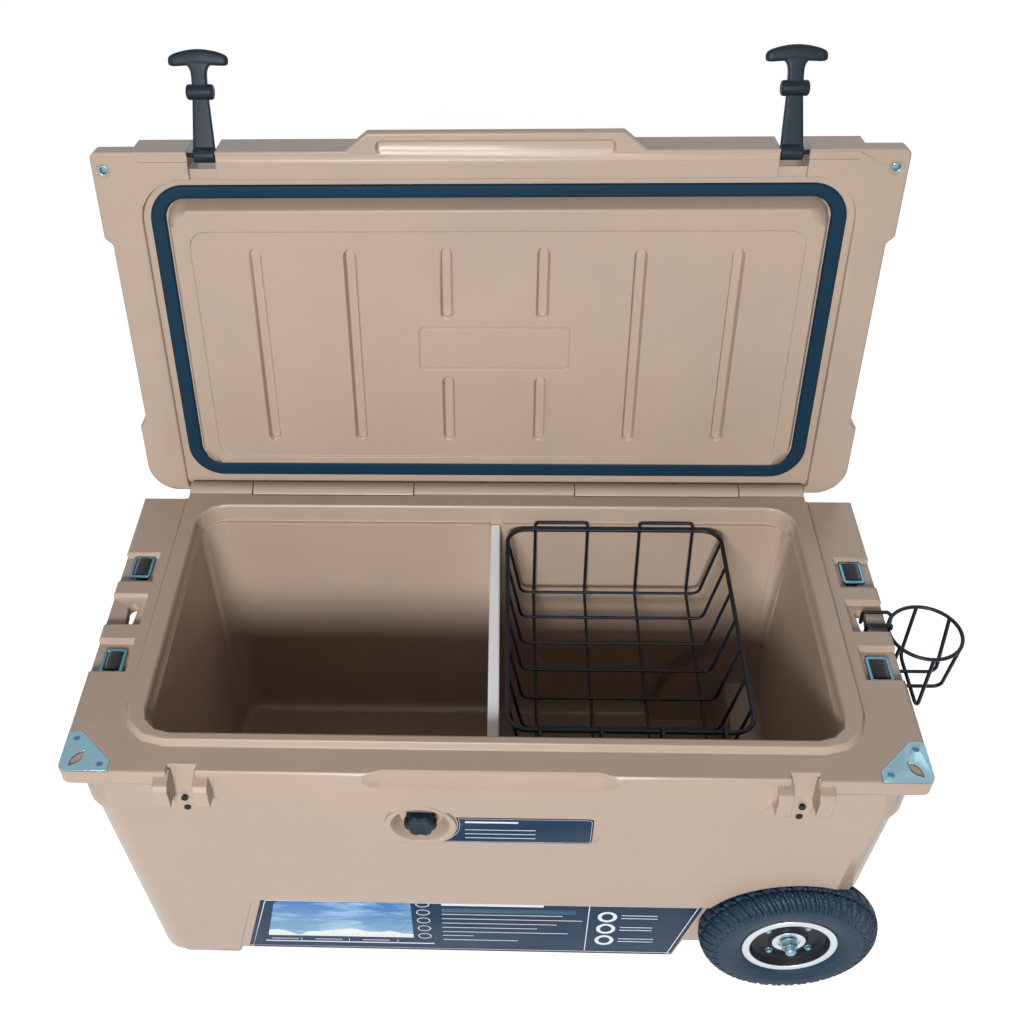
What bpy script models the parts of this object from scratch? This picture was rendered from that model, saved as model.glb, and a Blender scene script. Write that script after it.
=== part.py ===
"""Wheeled rotomoulded cooler with an open lid, modelled at real size.

The pieces are built about the middle of the tub, with +X toward the wheels,
+Y toward the hinge and +Z up, and then shifted together so that the origin
lies on the ground under the middle of the whole part. Lengths are in metres.
"""
import math

import bmesh
import bpy
from mathutils import Matrix, Vector

# Fits
SEAT_GAP = 0.0003
RUNNING_GAP = 0.0005
CUT_OVERRUN = 0.030

# Facets
FLAT_ANGLE = 0.05
CORNER_STEPS = 3
ARCH_STEPS = 12
HINGE_STEPS = 8
PIN_SIDES = 10
SCREW_SIDES = 6
WIRE_SIDES = 4
FRAME_SIDES = 6

# Tub envelope
RIM_HEIGHT = 0.4154
RIM_HALF_LENGTH = 0.425
RIM_HALF_DEPTH = 0.214

# Tub walls, which lean out as they rise
GROUND_CLEARANCE = 0.020
END_DRAFT_SHARE = 0.03
SIDE_DRAFT_SHARE = 0.07
FLANGE_DEPTH = 0.0194
FLANGE_BOTTOM = RIM_HEIGHT - FLANGE_DEPTH
SKIRT_DEPTH = 0.044
SKIRT_BOTTOM = FLANGE_BOTTOM - SKIRT_DEPTH
WALL_END_SETBACK = 0.01512
WALL_SIDE_SETBACK = 0.00128
WALL_HALF_LENGTH = RIM_HALF_LENGTH - WALL_END_SETBACK - END_DRAFT_SHARE * FLANGE_BOTTOM
WALL_HALF_DEPTH = RIM_HALF_DEPTH - WALL_SIDE_SETBACK - SIDE_DRAFT_SHARE * FLANGE_BOTTOM
WALL_CORNER_RADIUS = 0.030
BASE_EDGE_RADIUS = 0.006
FOOT_EDGE_RADIUS = 0.022
FOOT_LENGTH = 0.093
FOOT_INNER_END = FOOT_LENGTH - WALL_HALF_LENGTH
FOOT_STEP_RUN = 0.005
SKIRT_STEP = 0.003
RIM_CORNER_RADIUS = 0.010
RIM_EDGE_RADIUS = 0.0025
EAR_INSET = 0.024
EAR_BACK = RIM_HALF_DEPTH - EAR_INSET
EAR_DROP = 0.0235

# Raised land round the opening, which the gasket closes on
LAND_RISE = 0.0076
LAND_HEIGHT = RIM_HEIGHT + LAND_RISE
OPENING_END_INSET = 0.0755
OPENING_SIDE_INSET = 0.0455
OPENING_HALF_LENGTH = RIM_HALF_LENGTH - OPENING_END_INSET
OPENING_HALF_DEPTH = RIM_HALF_DEPTH - OPENING_SIDE_INSET
LAND_END_WIDTH = 0.021
LAND_HALF_LENGTH = OPENING_HALF_LENGTH + LAND_END_WIDTH
LAND_FRONT_WIDTH = 0.011
LAND_FRONT = OPENING_HALF_DEPTH + LAND_FRONT_WIDTH
LAND_CORNER_RADIUS = 0.046
LAND_FLARE = 0.003
OPENING_EDGE = 0.003
OPENING_CORNER_RADIUS = 0.030

# Cavity
FLOOR_THICKNESS = 0.052
FLOOR_HEIGHT = GROUND_CLEARANCE + FLOOR_THICKNESS
FLOOR_EDGE_RADIUS = 0.014
END_WALL_FOOT = 0.058
CAVITY_FLOOR_HALF_LENGTH = WALL_HALF_LENGTH - END_WALL_FOOT
SIDE_WALL_FOOT = 0.033
CAVITY_FLOOR_HALF_DEPTH = WALL_HALF_DEPTH - SIDE_WALL_FOOT
CAVITY_CORNER_RADIUS = 0.026
LEDGE_DROP = 0.023
LEDGE_HEIGHT = LAND_HEIGHT - LEDGE_DROP
LEDGE_WIDTH = 0.005

# Wheels and their wells
WHEEL_RADIUS = 0.100
WHEEL_WIDTH = 0.050
WHEEL_END_INSET = 0.087
WHEEL_SIDE_INSET = 0.022
WHEEL_CENTRE = (RIM_HALF_LENGTH - WHEEL_END_INSET, RIM_HALF_DEPTH - WHEEL_SIDE_INSET, WHEEL_RADIUS)
WELL_CLEARANCE = 0.0065
WELL_SIDE_CLEARANCE = 0.005
WELL_INNER_WALL = WHEEL_CENTRE[1] - WHEEL_WIDTH / 2 - WELL_SIDE_CLEARANCE
WELL_FLANK_RUN = 0.023
WELL_FLANK_FOOT = WHEEL_CENTRE[0] - WHEEL_RADIUS - WELL_FLANK_RUN
WELL_FLANK_RISE = 0.050
WELL_FLANK_HEIGHT = WHEEL_CENTRE[2] + WELL_FLANK_RISE
HUMP_WALL = 0.0155
HUMP_SIDE_WALL = 0.029
HUMP_FOOT_FLARE = 0.011
AXLE_BLOCK_REACH = 0.038
AXLE_BLOCK_START = WHEEL_CENTRE[0] - AXLE_BLOCK_REACH
AXLE_BLOCK_RISE = 0.050
AXLE_BLOCK_HEIGHT = WHEEL_CENTRE[2] + AXLE_BLOCK_RISE
AXLE_BLOCK_DRAFT = 0.004

# Hinge along the back of the rim
HINGE_INSET = 0.0117
HINGE_DROP = 0.0012
HINGE_AXIS = (RIM_HALF_DEPTH - HINGE_INSET, RIM_HEIGHT - HINGE_DROP)
BARREL_RADIUS = 0.014
BARREL_CLEARANCE = 0.0017
RAIL_END_INSET = 0.057
RAIL_HALF_LENGTH = RIM_HALF_LENGTH - RAIL_END_INSET
RAIL_DEPTH = 0.0223
RAIL_FRONT = HINGE_AXIS[0] - RAIL_DEPTH
RAIL_FOOT_DROP = 0.011
RAIL_FOOT = FLANGE_BOTTOM - RAIL_FOOT_DROP
LID_KNUCKLE_INNER = 0.097
LID_KNUCKLE_INSET = 0.077
LID_KNUCKLE_OUTER = RAIL_HALF_LENGTH - LID_KNUCKLE_INSET
KNUCKLE_GAP = 0.0012
HINGE_ROD_RADIUS = 0.003
HINGE_ROD_ENGAGE = 0.019
HINGE_ROD_INNER = LID_KNUCKLE_INNER - HINGE_ROD_ENGAGE
HINGE_ROD_INSET = 0.006
HINGE_ROD_OUTER = RAIL_HALF_LENGTH - HINGE_ROD_INSET
LID_OPEN_ANGLE = 97.28

# Grip scallop in the front edge of the rim
SCALLOP_HALF_LENGTH = 0.125
SCALLOP_END_RUN = 0.018
SCALLOP_FLAT = SCALLOP_HALF_LENGTH - SCALLOP_END_RUN
SCALLOP_TOP_DEPTH = 0.006
SCALLOP_WAIST_DEPTH = 0.008
SCALLOP_FOOT_DROP = 0.008
SCALLOP_BOTTOM = FLANGE_BOTTOM - SCALLOP_FOOT_DROP

# Latch keepers in the front of the rim
LATCH_END_INSET = 0.1225
LATCH_OFFSET = RIM_HALF_LENGTH - LATCH_END_INSET
NOTCH_WIDTH = 0.029
NOTCH_DEPTH = 0.010
NOTCH_BACK = RIM_HALF_DEPTH - NOTCH_DEPTH
NOTCH_FOOT = SKIRT_BOTTOM
HORN_INNER = 0.0123
HORN_OUTER = 0.027
HORN_FRONT_DROP = 0.0094
HORN_TOP_FRONT = RIM_HEIGHT - HORN_FRONT_DROP
HORN_BACK_DROP = 0.0044
HORN_TOP_BACK = RIM_HEIGHT - HORN_BACK_DROP
HORN_FOOT_DROP = 0.0364
HORN_BOTTOM = RIM_HEIGHT - HORN_FOOT_DROP
HORN_REACH = 0.014
HORN_FRONT = RIM_HALF_DEPTH + HORN_REACH
HORN_NOSE = 0.004
HORN_CUP_GAP = 0.0012
KEEPER_ARCH_HALF = 0.042
KEEPER_ARCH_DROP = 0.016
KEEPER_ARCH_TOP = FLANGE_BOTTOM - KEEPER_ARCH_DROP
KEEPER_ARCH_SHOULDER = 0.014
KEEPER_SCREW_DROP = 0.027
KEEPER_SCREW_HEIGHTS = (FLANGE_BOTTOM - KEEPER_SCREW_DROP, SKIRT_BOTTOM)
KEEPER_SCREW_OFFSET = 0.0035
KEEPER_SCREW_RADIUS = 0.0036
KEEPER_SCREW_HEAD = 0.0016
KEEPER_SCREW_SHANK = 0.0018
KEEPER_SCREW_LENGTH = 0.010

# Pressure vent and its badge panel in the front wall
VENT_LEFT = 0.0715
VENT_DROP = 0.0904
VENT_CENTRE = (-VENT_LEFT, RIM_HEIGHT - VENT_DROP)
VENT_BOSS_RADIUS = 0.037
VENT_BOSS_HEIGHT = 0.0035
VENT_BOWL_RADIUS = 0.029
VENT_BOWL_FLOOR_RADIUS = 0.0225
VENT_BOWL_LIP = 0.002
VENT_BOWL_DEPTH = 0.0125
VENT_SIDES = 18
VENT_SEAT_RADIUS = 0.0205
VENT_SEAT_THICKNESS = 0.0025
VENT_SOCKET_RADIUS = 0.010
VENT_SOCKET_WALL = 0.002
VENT_SOCKET_DEPTH = 0.020
KNOB_RADIUS = 0.0168
KNOB_LOBES = 6
KNOB_LOBE_SHARE = 0.09
KNOB_THICKNESS = 0.011
KNOB_EDGE = 0.0022
KNOB_STEM_LENGTH = 0.014
KNOB_TRAVEL = 0.0036
BADGE_RIGHT = 0.111
BADGE_FOOT_DROP = 0.033
BADGE_BOTTOM = VENT_CENTRE[1] - BADGE_FOOT_DROP
BADGE_RISE = 0.013
BADGE_TOP = VENT_CENTRE[1] + BADGE_RISE
BADGE_DEPTH = 0.0015
BADGE_CORNER_RADIUS = 0.006
BADGE_BOSS_GAP = 0.003

# Label panel in the front wall
LABEL_FOOT_INSET = 0.094
LABEL_LEFT_BOTTOM = LABEL_FOOT_INSET - WALL_HALF_LENGTH
LABEL_TOP_INSET = 0.126
LABEL_LEFT_TOP = LABEL_TOP_INSET - WALL_HALF_LENGTH
LABEL_TOP = 0.151
LABEL_CORNER = 0.012
LABEL_DEPTH = 0.004

# End recesses, keyholes and handle pockets
END_RECESS_WIDTH = 0.038
END_RECESS_INNER = RIM_HALF_LENGTH - END_RECESS_WIDTH
END_RECESS_DEPTH = 0.0074
END_RECESS_FLARE = 0.002
END_RECESS_CENTRES = (0.0715, 0.005, -0.0625)
END_RECESS_HALF = 0.0235
SLOT_INSET = 0.031
SLOT_INNER = RIM_HALF_LENGTH - SLOT_INSET
SLOT_WIDTH = 0.013
SLOT_OUTER = SLOT_INNER + SLOT_WIDTH
SLOT_HALF = 0.0145
KEYHOLE_INSET = 0.025
KEYHOLE_X = RIM_HALF_LENGTH - KEYHOLE_INSET
KEYHOLE_NARROW = 0.0032
KEYHOLE_WIDE = 0.0062
KEYHOLE_FRONT = -0.013
KEYHOLE_BACK = 0.014
POCKET_DEPTH = 0.043
POCKET_INNER = RIM_HALF_LENGTH - POCKET_DEPTH
POCKET_HEIGHT = 0.100
POCKET_BOTTOM = FLANGE_BOTTOM - POCKET_HEIGHT
POCKET_FRONT = -0.100
POCKET_BACK = 0.109
POCKET_SLOPE = 0.022
POCKET_CORNER_RADIUS = 0.018

# Stainless strap rings in the outer recesses
RING_HALF_LENGTH = 0.0165
RING_SIDE_PLAY = 0.0015
RING_INNER = END_RECESS_INNER + RING_SIDE_PLAY
RING_WIDTH = 0.024
RING_OUTER = RING_INNER + RING_WIDTH
RING_BAND = 0.003
RING_THICKNESS = 0.0022
RING_BAR = 0.0028
RING_CORNER_RADIUS = 0.003

# Carry handles
WEBBING_HALF_WIDTH = 0.0125
WEBBING_THICKNESS = 0.0014
HANDLE_PIVOT_DROP = 0.0239
HANDLE_PIVOT = RIM_HEIGHT - HANDLE_PIVOT_DROP
HANDLE_DROP = 0.052
GRIP_RADIUS = 0.0125
GRIP_NECK_RADIUS = 0.006
GRIP_HALF_LENGTH = 0.046
GRIP_END_LENGTH = 0.004
GRIP_RIB_DEPTH = 0.001
GRIP_RIBS = 4
GRIP_SIDES = 10

# Corner plates on the front of the rim
PLATE_THICKNESS = 0.002
PLATE_LENGTH = 0.0505
PLATE_INNER_X = RIM_HALF_LENGTH - PLATE_LENGTH
PLATE_END_WIDTH = 0.015
PLATE_SHOULDER_X = RIM_HALF_LENGTH - PLATE_END_WIDTH
PLATE_DEPTH = 0.049
PLATE_BACK = RIM_HALF_DEPTH - PLATE_DEPTH
PLATE_SIDE_WIDTH = 0.013
PLATE_SHOULDER_Y = RIM_HALF_DEPTH - PLATE_SIDE_WIDTH
PLATE_EDGE_INSET = 0.0008
PLATE_CORNER_RADIUS = 0.008
PLATE_SCREW_INSETS = ((0.011, 0.040), (0.0415, 0.009))
PLATE_SCREWS = tuple((RIM_HALF_LENGTH - along, RIM_HALF_DEPTH - back) for along, back in PLATE_SCREW_INSETS)
PLATE_SCREW_RADIUS = 0.0034
PLATE_SCREW_HEAD = 0.0012
PLATE_SCREW_SHANK = 0.0018
PLATE_SCREW_LENGTH = 0.012
LENS_END_INSET = 0.017
LENS_SIDE_INSET = 0.0155
LENS_CENTRE = (RIM_HALF_LENGTH - LENS_END_INSET, RIM_HALF_DEPTH - LENS_SIDE_INSET)
LENS_HALF_LENGTH = 0.011
LENS_HALF_WIDTH = 0.0048
LENS_ANGLE = 55
LENS_STEPS = 5

# Lid, described shut
LID_THICKNESS = 0.045
LID_GAP = 0.003
LID_END_INSET = 0.0065
LID_HALF_LENGTH = RIM_HALF_LENGTH - LID_END_INSET
LID_FRONT = RIM_HALF_DEPTH
LID_REAR_INSET = 0.013
LID_BACK = RIM_HALF_DEPTH - LID_REAR_INSET
LID_SPAN = LID_FRONT + LID_BACK
LID_REAR_RADIUS = 0.035
LID_FRONT_RADIUS = 0.008
LID_TOP_EDGE = 0.006
LID_BOTTOM_EDGE = 0.0015
LID_SIDE_RECESS = 0.008
LID_SIDE_START = 0.090
LID_SIDE_FRONT_RUN = 0.093
LID_SIDE_END = LID_SPAN - LID_SIDE_FRONT_RUN
LID_SIDE_RAMP = 0.008
LID_PAD_RUN = 0.065
LID_PAD_START = LID_SPAN - LID_PAD_RUN
LID_PAD_WIDTH = 0.0435
LID_PAD_INNER = LID_HALF_LENGTH - LID_PAD_WIDTH
LID_PAD_THICKNESS = 0.018
LIP_REACH = 0.018
LIP_BASE_OVERHANG = 0.028
LIP_BASE_HALF = SCALLOP_HALF_LENGTH + LIP_BASE_OVERHANG
LIP_TIP_OVERHANG = 0.005
LIP_TIP_HALF = SCALLOP_HALF_LENGTH + LIP_TIP_OVERHANG
LIP_THICKNESS = 0.014
LIP_POCKET_INSET = 0.003
LIP_POCKET_HALF = SCALLOP_HALF_LENGTH - LIP_POCKET_INSET
LIP_POCKET_BACK = 0.004
LIP_POCKET_START = LID_SPAN - LIP_POCKET_BACK
LIP_POCKET_REACH = 0.010
LIP_POCKET_END = LID_SPAN + LIP_POCKET_REACH
LIP_POCKET_DEPTH = 0.006
FRONT_CHANNEL_RUN = 0.011
FRONT_CHANNEL_START = LID_SPAN - FRONT_CHANNEL_RUN
FRONT_CHANNEL_DEPTH = 0.0015
FRONT_CHANNEL_RADIUS = 0.009
LID_RECESS_DEPTH = 0.0085
LID_RECESS_END_PLAY = 0.0045
LID_RECESS_HALF_LENGTH = LAND_HALF_LENGTH + LID_RECESS_END_PLAY
LID_RECESS_FRONT_PLAY = 0.005
LID_RECESS_FRONT = LAND_FRONT + LID_RECESS_FRONT_PLAY
LID_RECESS_RADIUS = 0.048
REBATE_END_PLAY = 0.0015
REBATE_HALF_LENGTH = LAND_HALF_LENGTH + REBATE_END_PLAY
PLUG_END_PLAY = 0.0065
PLUG_HALF_LENGTH = OPENING_HALF_LENGTH - PLUG_END_PLAY
PLUG_FRONT_PLAY = 0.0115
PLUG_FRONT = OPENING_HALF_DEPTH - PLUG_FRONT_PLAY
PLUG_BACK_PLAY = 0.0145
PLUG_BACK = OPENING_HALF_DEPTH - PLUG_BACK_PLAY
PLUG_DEPTH = 0.013
PLUG_SLOPE = 0.006
PLUG_RADIUS = 0.024
PLUG_RECESS_END_INSET = 0.019
PLUG_RECESS_HALF_LENGTH = PLUG_HALF_LENGTH - PLUG_RECESS_END_INSET
PLUG_RECESS_START = 0.057
PLUG_RECESS_FRONT_INSET = 0.081
PLUG_RECESS_END = LID_SPAN - PLUG_RECESS_FRONT_INSET
PLUG_RECESS_DEPTH = 0.0015
PLUG_RECESS_RADIUS = 0.018
FLUTE_WIDTH = 0.0155
FLUTE_DEPTH = 0.005
LONG_FLUTE_INSETS = (0.0865, 0.1885)
LONG_FLUTES = tuple(PLUG_HALF_LENGTH - inset for inset in LONG_FLUTE_INSETS)
FLUTE_START = 0.077
LONG_FLUTE_FRONT = 0.099
LONG_FLUTE_ENDS = (FLUTE_START, LID_SPAN - LONG_FLUTE_FRONT)
SHORT_FLUTE = 0.052
SHORT_FLUTE_FRONT = 0.098
OUTLINE_GAP = 0.008
PANEL_OUTLINE_START = 0.172
PANEL_OUTLINE_FRONT = 0.192
PANEL_OUTLINE_ENDS = (PANEL_OUTLINE_START, LID_SPAN - PANEL_OUTLINE_FRONT)
REAR_SHORT_FLUTE = (FLUTE_START, PANEL_OUTLINE_ENDS[0] - OUTLINE_GAP)
FRONT_SHORT_FLUTE = (PANEL_OUTLINE_ENDS[1] + OUTLINE_GAP, LID_SPAN - SHORT_FLUTE_FRONT)
SHORT_FLUTE_ENDS = (REAR_SHORT_FLUTE, FRONT_SHORT_FLUTE)
PANEL_OUTLINE_HALF = 0.084
PANEL_OUTLINE_DEPTH = 0.0008
PANEL_OUTLINE_RADIUS = 0.006
LID_SLOT_WIDTH = 0.0296
LID_SLOT_RUN = 0.019
LID_SLOT_START = LID_SPAN - LID_SLOT_RUN
LID_CHANNEL_RUN = 0.031
LID_CHANNEL_START = LID_SPAN - LID_CHANNEL_RUN
LID_CHANNEL_DEPTH = 0.004
LID_LOCK_END_INSET = 0.0125
LID_LOCK_X = LID_HALF_LENGTH - LID_LOCK_END_INSET
LID_LOCK_FRONT_INSET = 0.0193
LID_LOCK_S = LID_SPAN - LID_LOCK_FRONT_INSET
LOCK_HOLE_RADIUS = 0.0052
LOCK_BUSHING_WALL = 0.0012
LOCK_BUSHING_FLANGE = 0.0012
LOCK_BUSHING_FLANGE_RADIUS = 0.0075

# Gasket
GASKET_OUTER_END_INSET = 0.0035
GASKET_OUTER_HALF_LENGTH = LAND_HALF_LENGTH - GASKET_OUTER_END_INSET
GASKET_INNER_END_INSET = 0.0025
GASKET_INNER_HALF_LENGTH = OPENING_HALF_LENGTH + GASKET_INNER_END_INSET
GASKET_FRONT_INSET = 0.0029
GASKET_FRONT_OUTER = LAND_FRONT - GASKET_FRONT_INSET
GASKET_FRONT_WIDTH = 0.0136
GASKET_FRONT_INNER = GASKET_FRONT_OUTER - GASKET_FRONT_WIDTH
GASKET_BACK_REACH = 0.0135
GASKET_BACK_OUTER = OPENING_HALF_DEPTH + GASKET_BACK_REACH
GASKET_BACK_WIDTH = 0.0174
GASKET_BACK_INNER = GASKET_BACK_OUTER - GASKET_BACK_WIDTH
GASKET_RADIUS = 0.040
GASKET_EDGE = 0.0012

# Rubber latches
LATCH_PIN_INSET = 0.0065
LATCH_PIN_S = LID_SPAN - LATCH_PIN_INSET
LATCH_PIN_HEIGHT = 0.010
LATCH_PIN_RADIUS = 0.0025
LATCH_PIN_ENGAGE = 0.006
LATCH_BASE_RADIUS = 0.0078
LATCH_BASE_WIDTH = 0.0246
LATCH_STRAP_THICKNESS = 0.006
LATCH_STRAP_BASE = 0.024
LATCH_STRAP_END = 0.013
LATCH_BARREL_REACH = 0.061
LATCH_BARREL_RADIUS = 0.00725
LATCH_BARREL_WIDTH = 0.0302
LATCH_NECK_WIDTH = 0.0165
LATCH_NECK_THICKNESS = 0.009
LATCH_GRIP_REACH = 0.094
LATCH_GRIP_WIDTH = 0.062
LATCH_GRIP_HEIGHT = 0.017
LATCH_GRIP_THICKNESS = 0.012
LATCH_GRIP_SHARES = ((-1, 0.45), (-0.86, 0.85), (-0.5, 1), (0.5, 1), (0.86, 0.85), (1, 0.45))
LATCH_REST_ANGLE = 17.5
LATCH_SHUT_ANGLE = 76.5
LATCH_SIDES = 12

# Tyres and wheels
TYRE_BLOCKS = 12
TYRE_GROOVE_DEPTH = 0.0035
TYRE_BEAD_GAP = 0.0007
BLOCK_EDGE_SHARES = (0.0, 0.10, 0.62, 0.72)
SHOULDER_SHARE = 0.95
CROWN_SHARE = 0.42
RIM_LIP_SHARE = 0.53
RIM_LIP_RADIUS = WHEEL_RADIUS * RIM_LIP_SHARE
RIM_LIP_INSET = 0.0045
RIM_LIP_OFFSET = WHEEL_WIDTH / 2 - RIM_LIP_INSET
RIM_LIP_THICKNESS = 0.0022
RIM_LIP_HEIGHT = 0.0025
RIM_BARREL_RADIUS = RIM_LIP_RADIUS - RIM_LIP_HEIGHT
RIM_WALL = 0.0028
RIM_SIDES = 20
DISC_INSET = 0.0075
DISC_OFFSET = RIM_LIP_OFFSET - DISC_INSET
DISC_DISH = 0.004
DISC_THICKNESS = 0.0035
DISC_HUB_RADIUS = 0.0175
BOLT_CIRCLE = 0.029
BOLT_RADIUS = 0.004
BOLT_HEIGHT = 0.004
WHEEL_BOLTS = 4
SLEEVE_RADIUS = 0.0125
SLEEVE_SIDES = 12
SLEEVE_FLANGE_RADIUS = 0.016
SLEEVE_REACH = 0.0145
SLEEVE_OUTER_END = WHEEL_CENTRE[1] + SLEEVE_REACH
AXLE_RADIUS = 0.006
AXLE_END_LENGTH = 0.015
AXLE_HALF_LENGTH = SLEEVE_OUTER_END + AXLE_END_LENGTH
NUT_RADIUS = 0.0095
NUT_THICKNESS = 0.009
NUT_FLANGE_RADIUS = 0.0125
NUT_FLANGE_THICKNESS = 0.002

# Divider board
DIVIDER_X = (-0.004, 0.008)
DIVIDER_TOP_DROP = 0.0025
DIVIDER_TOP = LEDGE_HEIGHT - DIVIDER_TOP_DROP
DIVIDER_GROOVE_DEPTH = 0.005
DIVIDER_PLAY = 0.0008

# Wire basket
BASKET_START = 0.014
BASKET_END_ROOM = 0.0795
BASKET_X = (BASKET_START, OPENING_HALF_LENGTH - BASKET_END_ROOM)
BASKET_FRONT_ROOM = 0.0225
BASKET_BACK_ROOM = 0.009
BASKET_Y = (BASKET_FRONT_ROOM - OPENING_HALF_DEPTH, OPENING_HALF_DEPTH - BASKET_BACK_ROOM)
BASKET_FRAME_DROP = 0.0015
BASKET_FRAME_HEIGHT = LEDGE_HEIGHT - BASKET_FRAME_DROP
BASKET_DEPTH = 0.0905
BASKET_FLOOR_HEIGHT = BASKET_FRAME_HEIGHT - BASKET_DEPTH
BASKET_SIDE_INSET = 0.015
BASKET_END_INSET = 0.020
BASKET_FRAME_RADIUS = 0.0026
BASKET_WIRE_RADIUS = 0.0018
BASKET_CORNER_RADIUS = 0.022
BASKET_BEND_RADIUS = 0.010
BASKET_LONG_WIRE_SHARES = (0.138671875, 0.380859375, 0.62109375, 0.865234375)
BASKET_WIDTH = BASKET_X[1] - BASKET_X[0]
BASKET_LONG_WIRES = tuple(BASKET_START + BASKET_WIDTH * share for share in BASKET_LONG_WIRE_SHARES)
BASKET_CROSS_WIRES = 7
BASKET_FRONT_WIRE_INSET = 0.034
BASKET_BACK_WIRE_INSET = 0.0205
BASKET_CROSS_Y = (BASKET_Y[0] + BASKET_FRONT_WIRE_INSET, BASKET_Y[1] - BASKET_BACK_WIRE_INSET)
BASKET_HOOK_GAP = 0.0006

# Cup holder on the wheel end
CUP_REACH = 0.0438
CUP_CENTRE_Y = -0.010
CUP_CENTRE = (RIM_HALF_LENGTH + CUP_REACH, CUP_CENTRE_Y)
CUP_RING_RADIUS = 0.041
CUP_RING_DROP = 0.0104
CUP_RING_HEIGHT = RIM_HEIGHT - CUP_RING_DROP
CUP_WIRE_RADIUS = 0.0021
CUP_RING_STEPS = 18
CUP_DEPTH = 0.079
CUP_DEEP_FLOOR = CUP_RING_HEIGHT - CUP_DEPTH
CUP_FLOOR_STEP = 0.0035
CUP_LOOP_TOP_HALF = 0.022
CUP_LOOP_FLOOR_HALF = 0.0106
CUP_HOOK_Y = (0.0095, -0.0095)
CUP_HOOK_DROP = 0.016
CUP_HOOK_CLEARANCE = 0.0005

# Drain
DRAIN_RISE = 0.001
DRAIN_BORE_RADIUS = 0.013
DRAIN_WALL = 0.002
DRAIN_FLANGE_RADIUS = 0.021
DRAIN_FLANGE_THICKNESS = 0.003
DRAIN_PLUG_RADIUS = 0.018
DRAIN_PLUG_THICKNESS = 0.009
DRAIN_PLUG_STEM = 0.018
DRAIN_PLUG_NECK = 0.0125
DRAIN_PLUG_NECK_LENGTH = 0.0034
DRAIN_TETHER_WIDTH = 0.003
DRAIN_TETHER_THICKNESS = 0.0022
DRAIN_TETHER_LENGTH = 0.026
DRAIN_SIDES = 14


def material(name, colour, roughness, metallic):
    """Return a Principled material with one plain colour."""
    result = bpy.data.materials.new(name)
    result.use_nodes = True
    shader = result.node_tree.nodes["Principled BSDF"]
    shader.inputs["Base Color"].default_value = (*colour, 1.0)
    shader.inputs["Roughness"].default_value = roughness
    shader.inputs["Metallic"].default_value = metallic
    result.diffuse_color = (*colour, 1.0)
    return result


def solid(name, points, faces):
    """Make an object from points and faces, with the faces turned out."""
    mesh = bpy.data.meshes.new(name)
    mesh.from_pydata([tuple(point) for point in points], [], faces)
    work = bmesh.new()
    work.from_mesh(mesh)
    bmesh.ops.recalc_face_normals(work, faces=work.faces)
    work.to_mesh(mesh)
    work.free()
    result = bpy.data.objects.new(name, mesh)
    bpy.context.scene.collection.objects.link(result)
    return result


def loft(name, rings, cyclic=False):
    """Join rings of equally many points, and cap the two ends."""
    count = len(rings[0])
    points = [point for ring in rings for point in ring]
    faces = []
    spans = len(rings) if cyclic else len(rings) - 1
    for ring in range(spans):
        start = ring * count
        after = (ring + 1) % len(rings) * count
        for index in range(count):
            follow = (index + 1) % count
            faces.append((start + index, start + follow, after + follow, after + index))
    if not cyclic:
        faces.append(tuple(range(count)))
        faces.append(tuple(range(len(points) - count, len(points))))
    return solid(name, points, faces)


def place(axis, flat, along):
    """Put a point of an outline at a distance along an axis."""
    u, v = flat
    if axis == "X":
        return (along, u, v)
    if axis == "Y":
        return (u, along, v)
    return (u, v, along)


def prism(name, outline, axis, low, high):
    """Extrude a closed outline along an axis."""
    return loft(name, [[place(axis, flat, along) for flat in outline] for along in (low, high)])


def box(name, x_range, y_range, z_range):
    """Make a block from its three ranges."""
    low, high = x_range
    front, back = y_range
    return prism(name, [(low, front), (high, front), (high, back), (low, back)], "Z", *z_range)


def arc(centre, radius, start, end, steps):
    """Return points on an arc, with its angles in degrees."""
    points = []
    for step in range(steps + 1):
        angle = math.radians(start + (end - start) * step / steps)
        points.append((centre[0] + radius * math.cos(angle), centre[1] + radius * math.sin(angle)))
    return points


def circle(centre, radius, sides):
    """Return the corners of a regular outline."""
    return arc(centre, radius, 0, 360, sides)[:-1]


def rounded_rectangle(u_range, v_range, radius, steps=CORNER_STEPS):
    """Return a rectangle with round corners, counter-clockwise from its lower right."""
    low_u, high_u = u_range
    low_v, high_v = v_range
    radius = min(radius, (high_u - low_u) / 2, (high_v - low_v) / 2)
    corners = (
        ((high_u - radius, low_v + radius), -90),
        ((high_u - radius, high_v - radius), 0),
        ((low_u + radius, high_v - radius), 90),
        ((low_u + radius, low_v + radius), 180),
    )
    points = [point for centre, start in corners for point in arc(centre, radius, start, start + 90, steps)]
    outline = []
    for before, here in zip(points[-1:] + points, points):
        if (Vector(here) - Vector(before)).length > SEAT_GAP / 30:
            outline.append(here)
    return outline


def inset(outline, distance):
    """Move each side of a counter-clockwise outline inward."""
    result = []
    count = len(outline)
    for index, here in enumerate(outline):
        before = Vector(outline[index - 1])
        after = Vector(outline[(index + 1) % count])
        here = Vector(here)
        first = (here - before).normalized()
        second = (after - here).normalized()
        normal_one = Vector((-first.y, first.x))
        normal_two = Vector((-second.y, second.x))
        bisector = normal_one + normal_two
        scale = distance / (1 + normal_one.dot(normal_two)) if bisector.length else 0
        result.append(tuple(here + bisector * scale))
    return result


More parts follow.
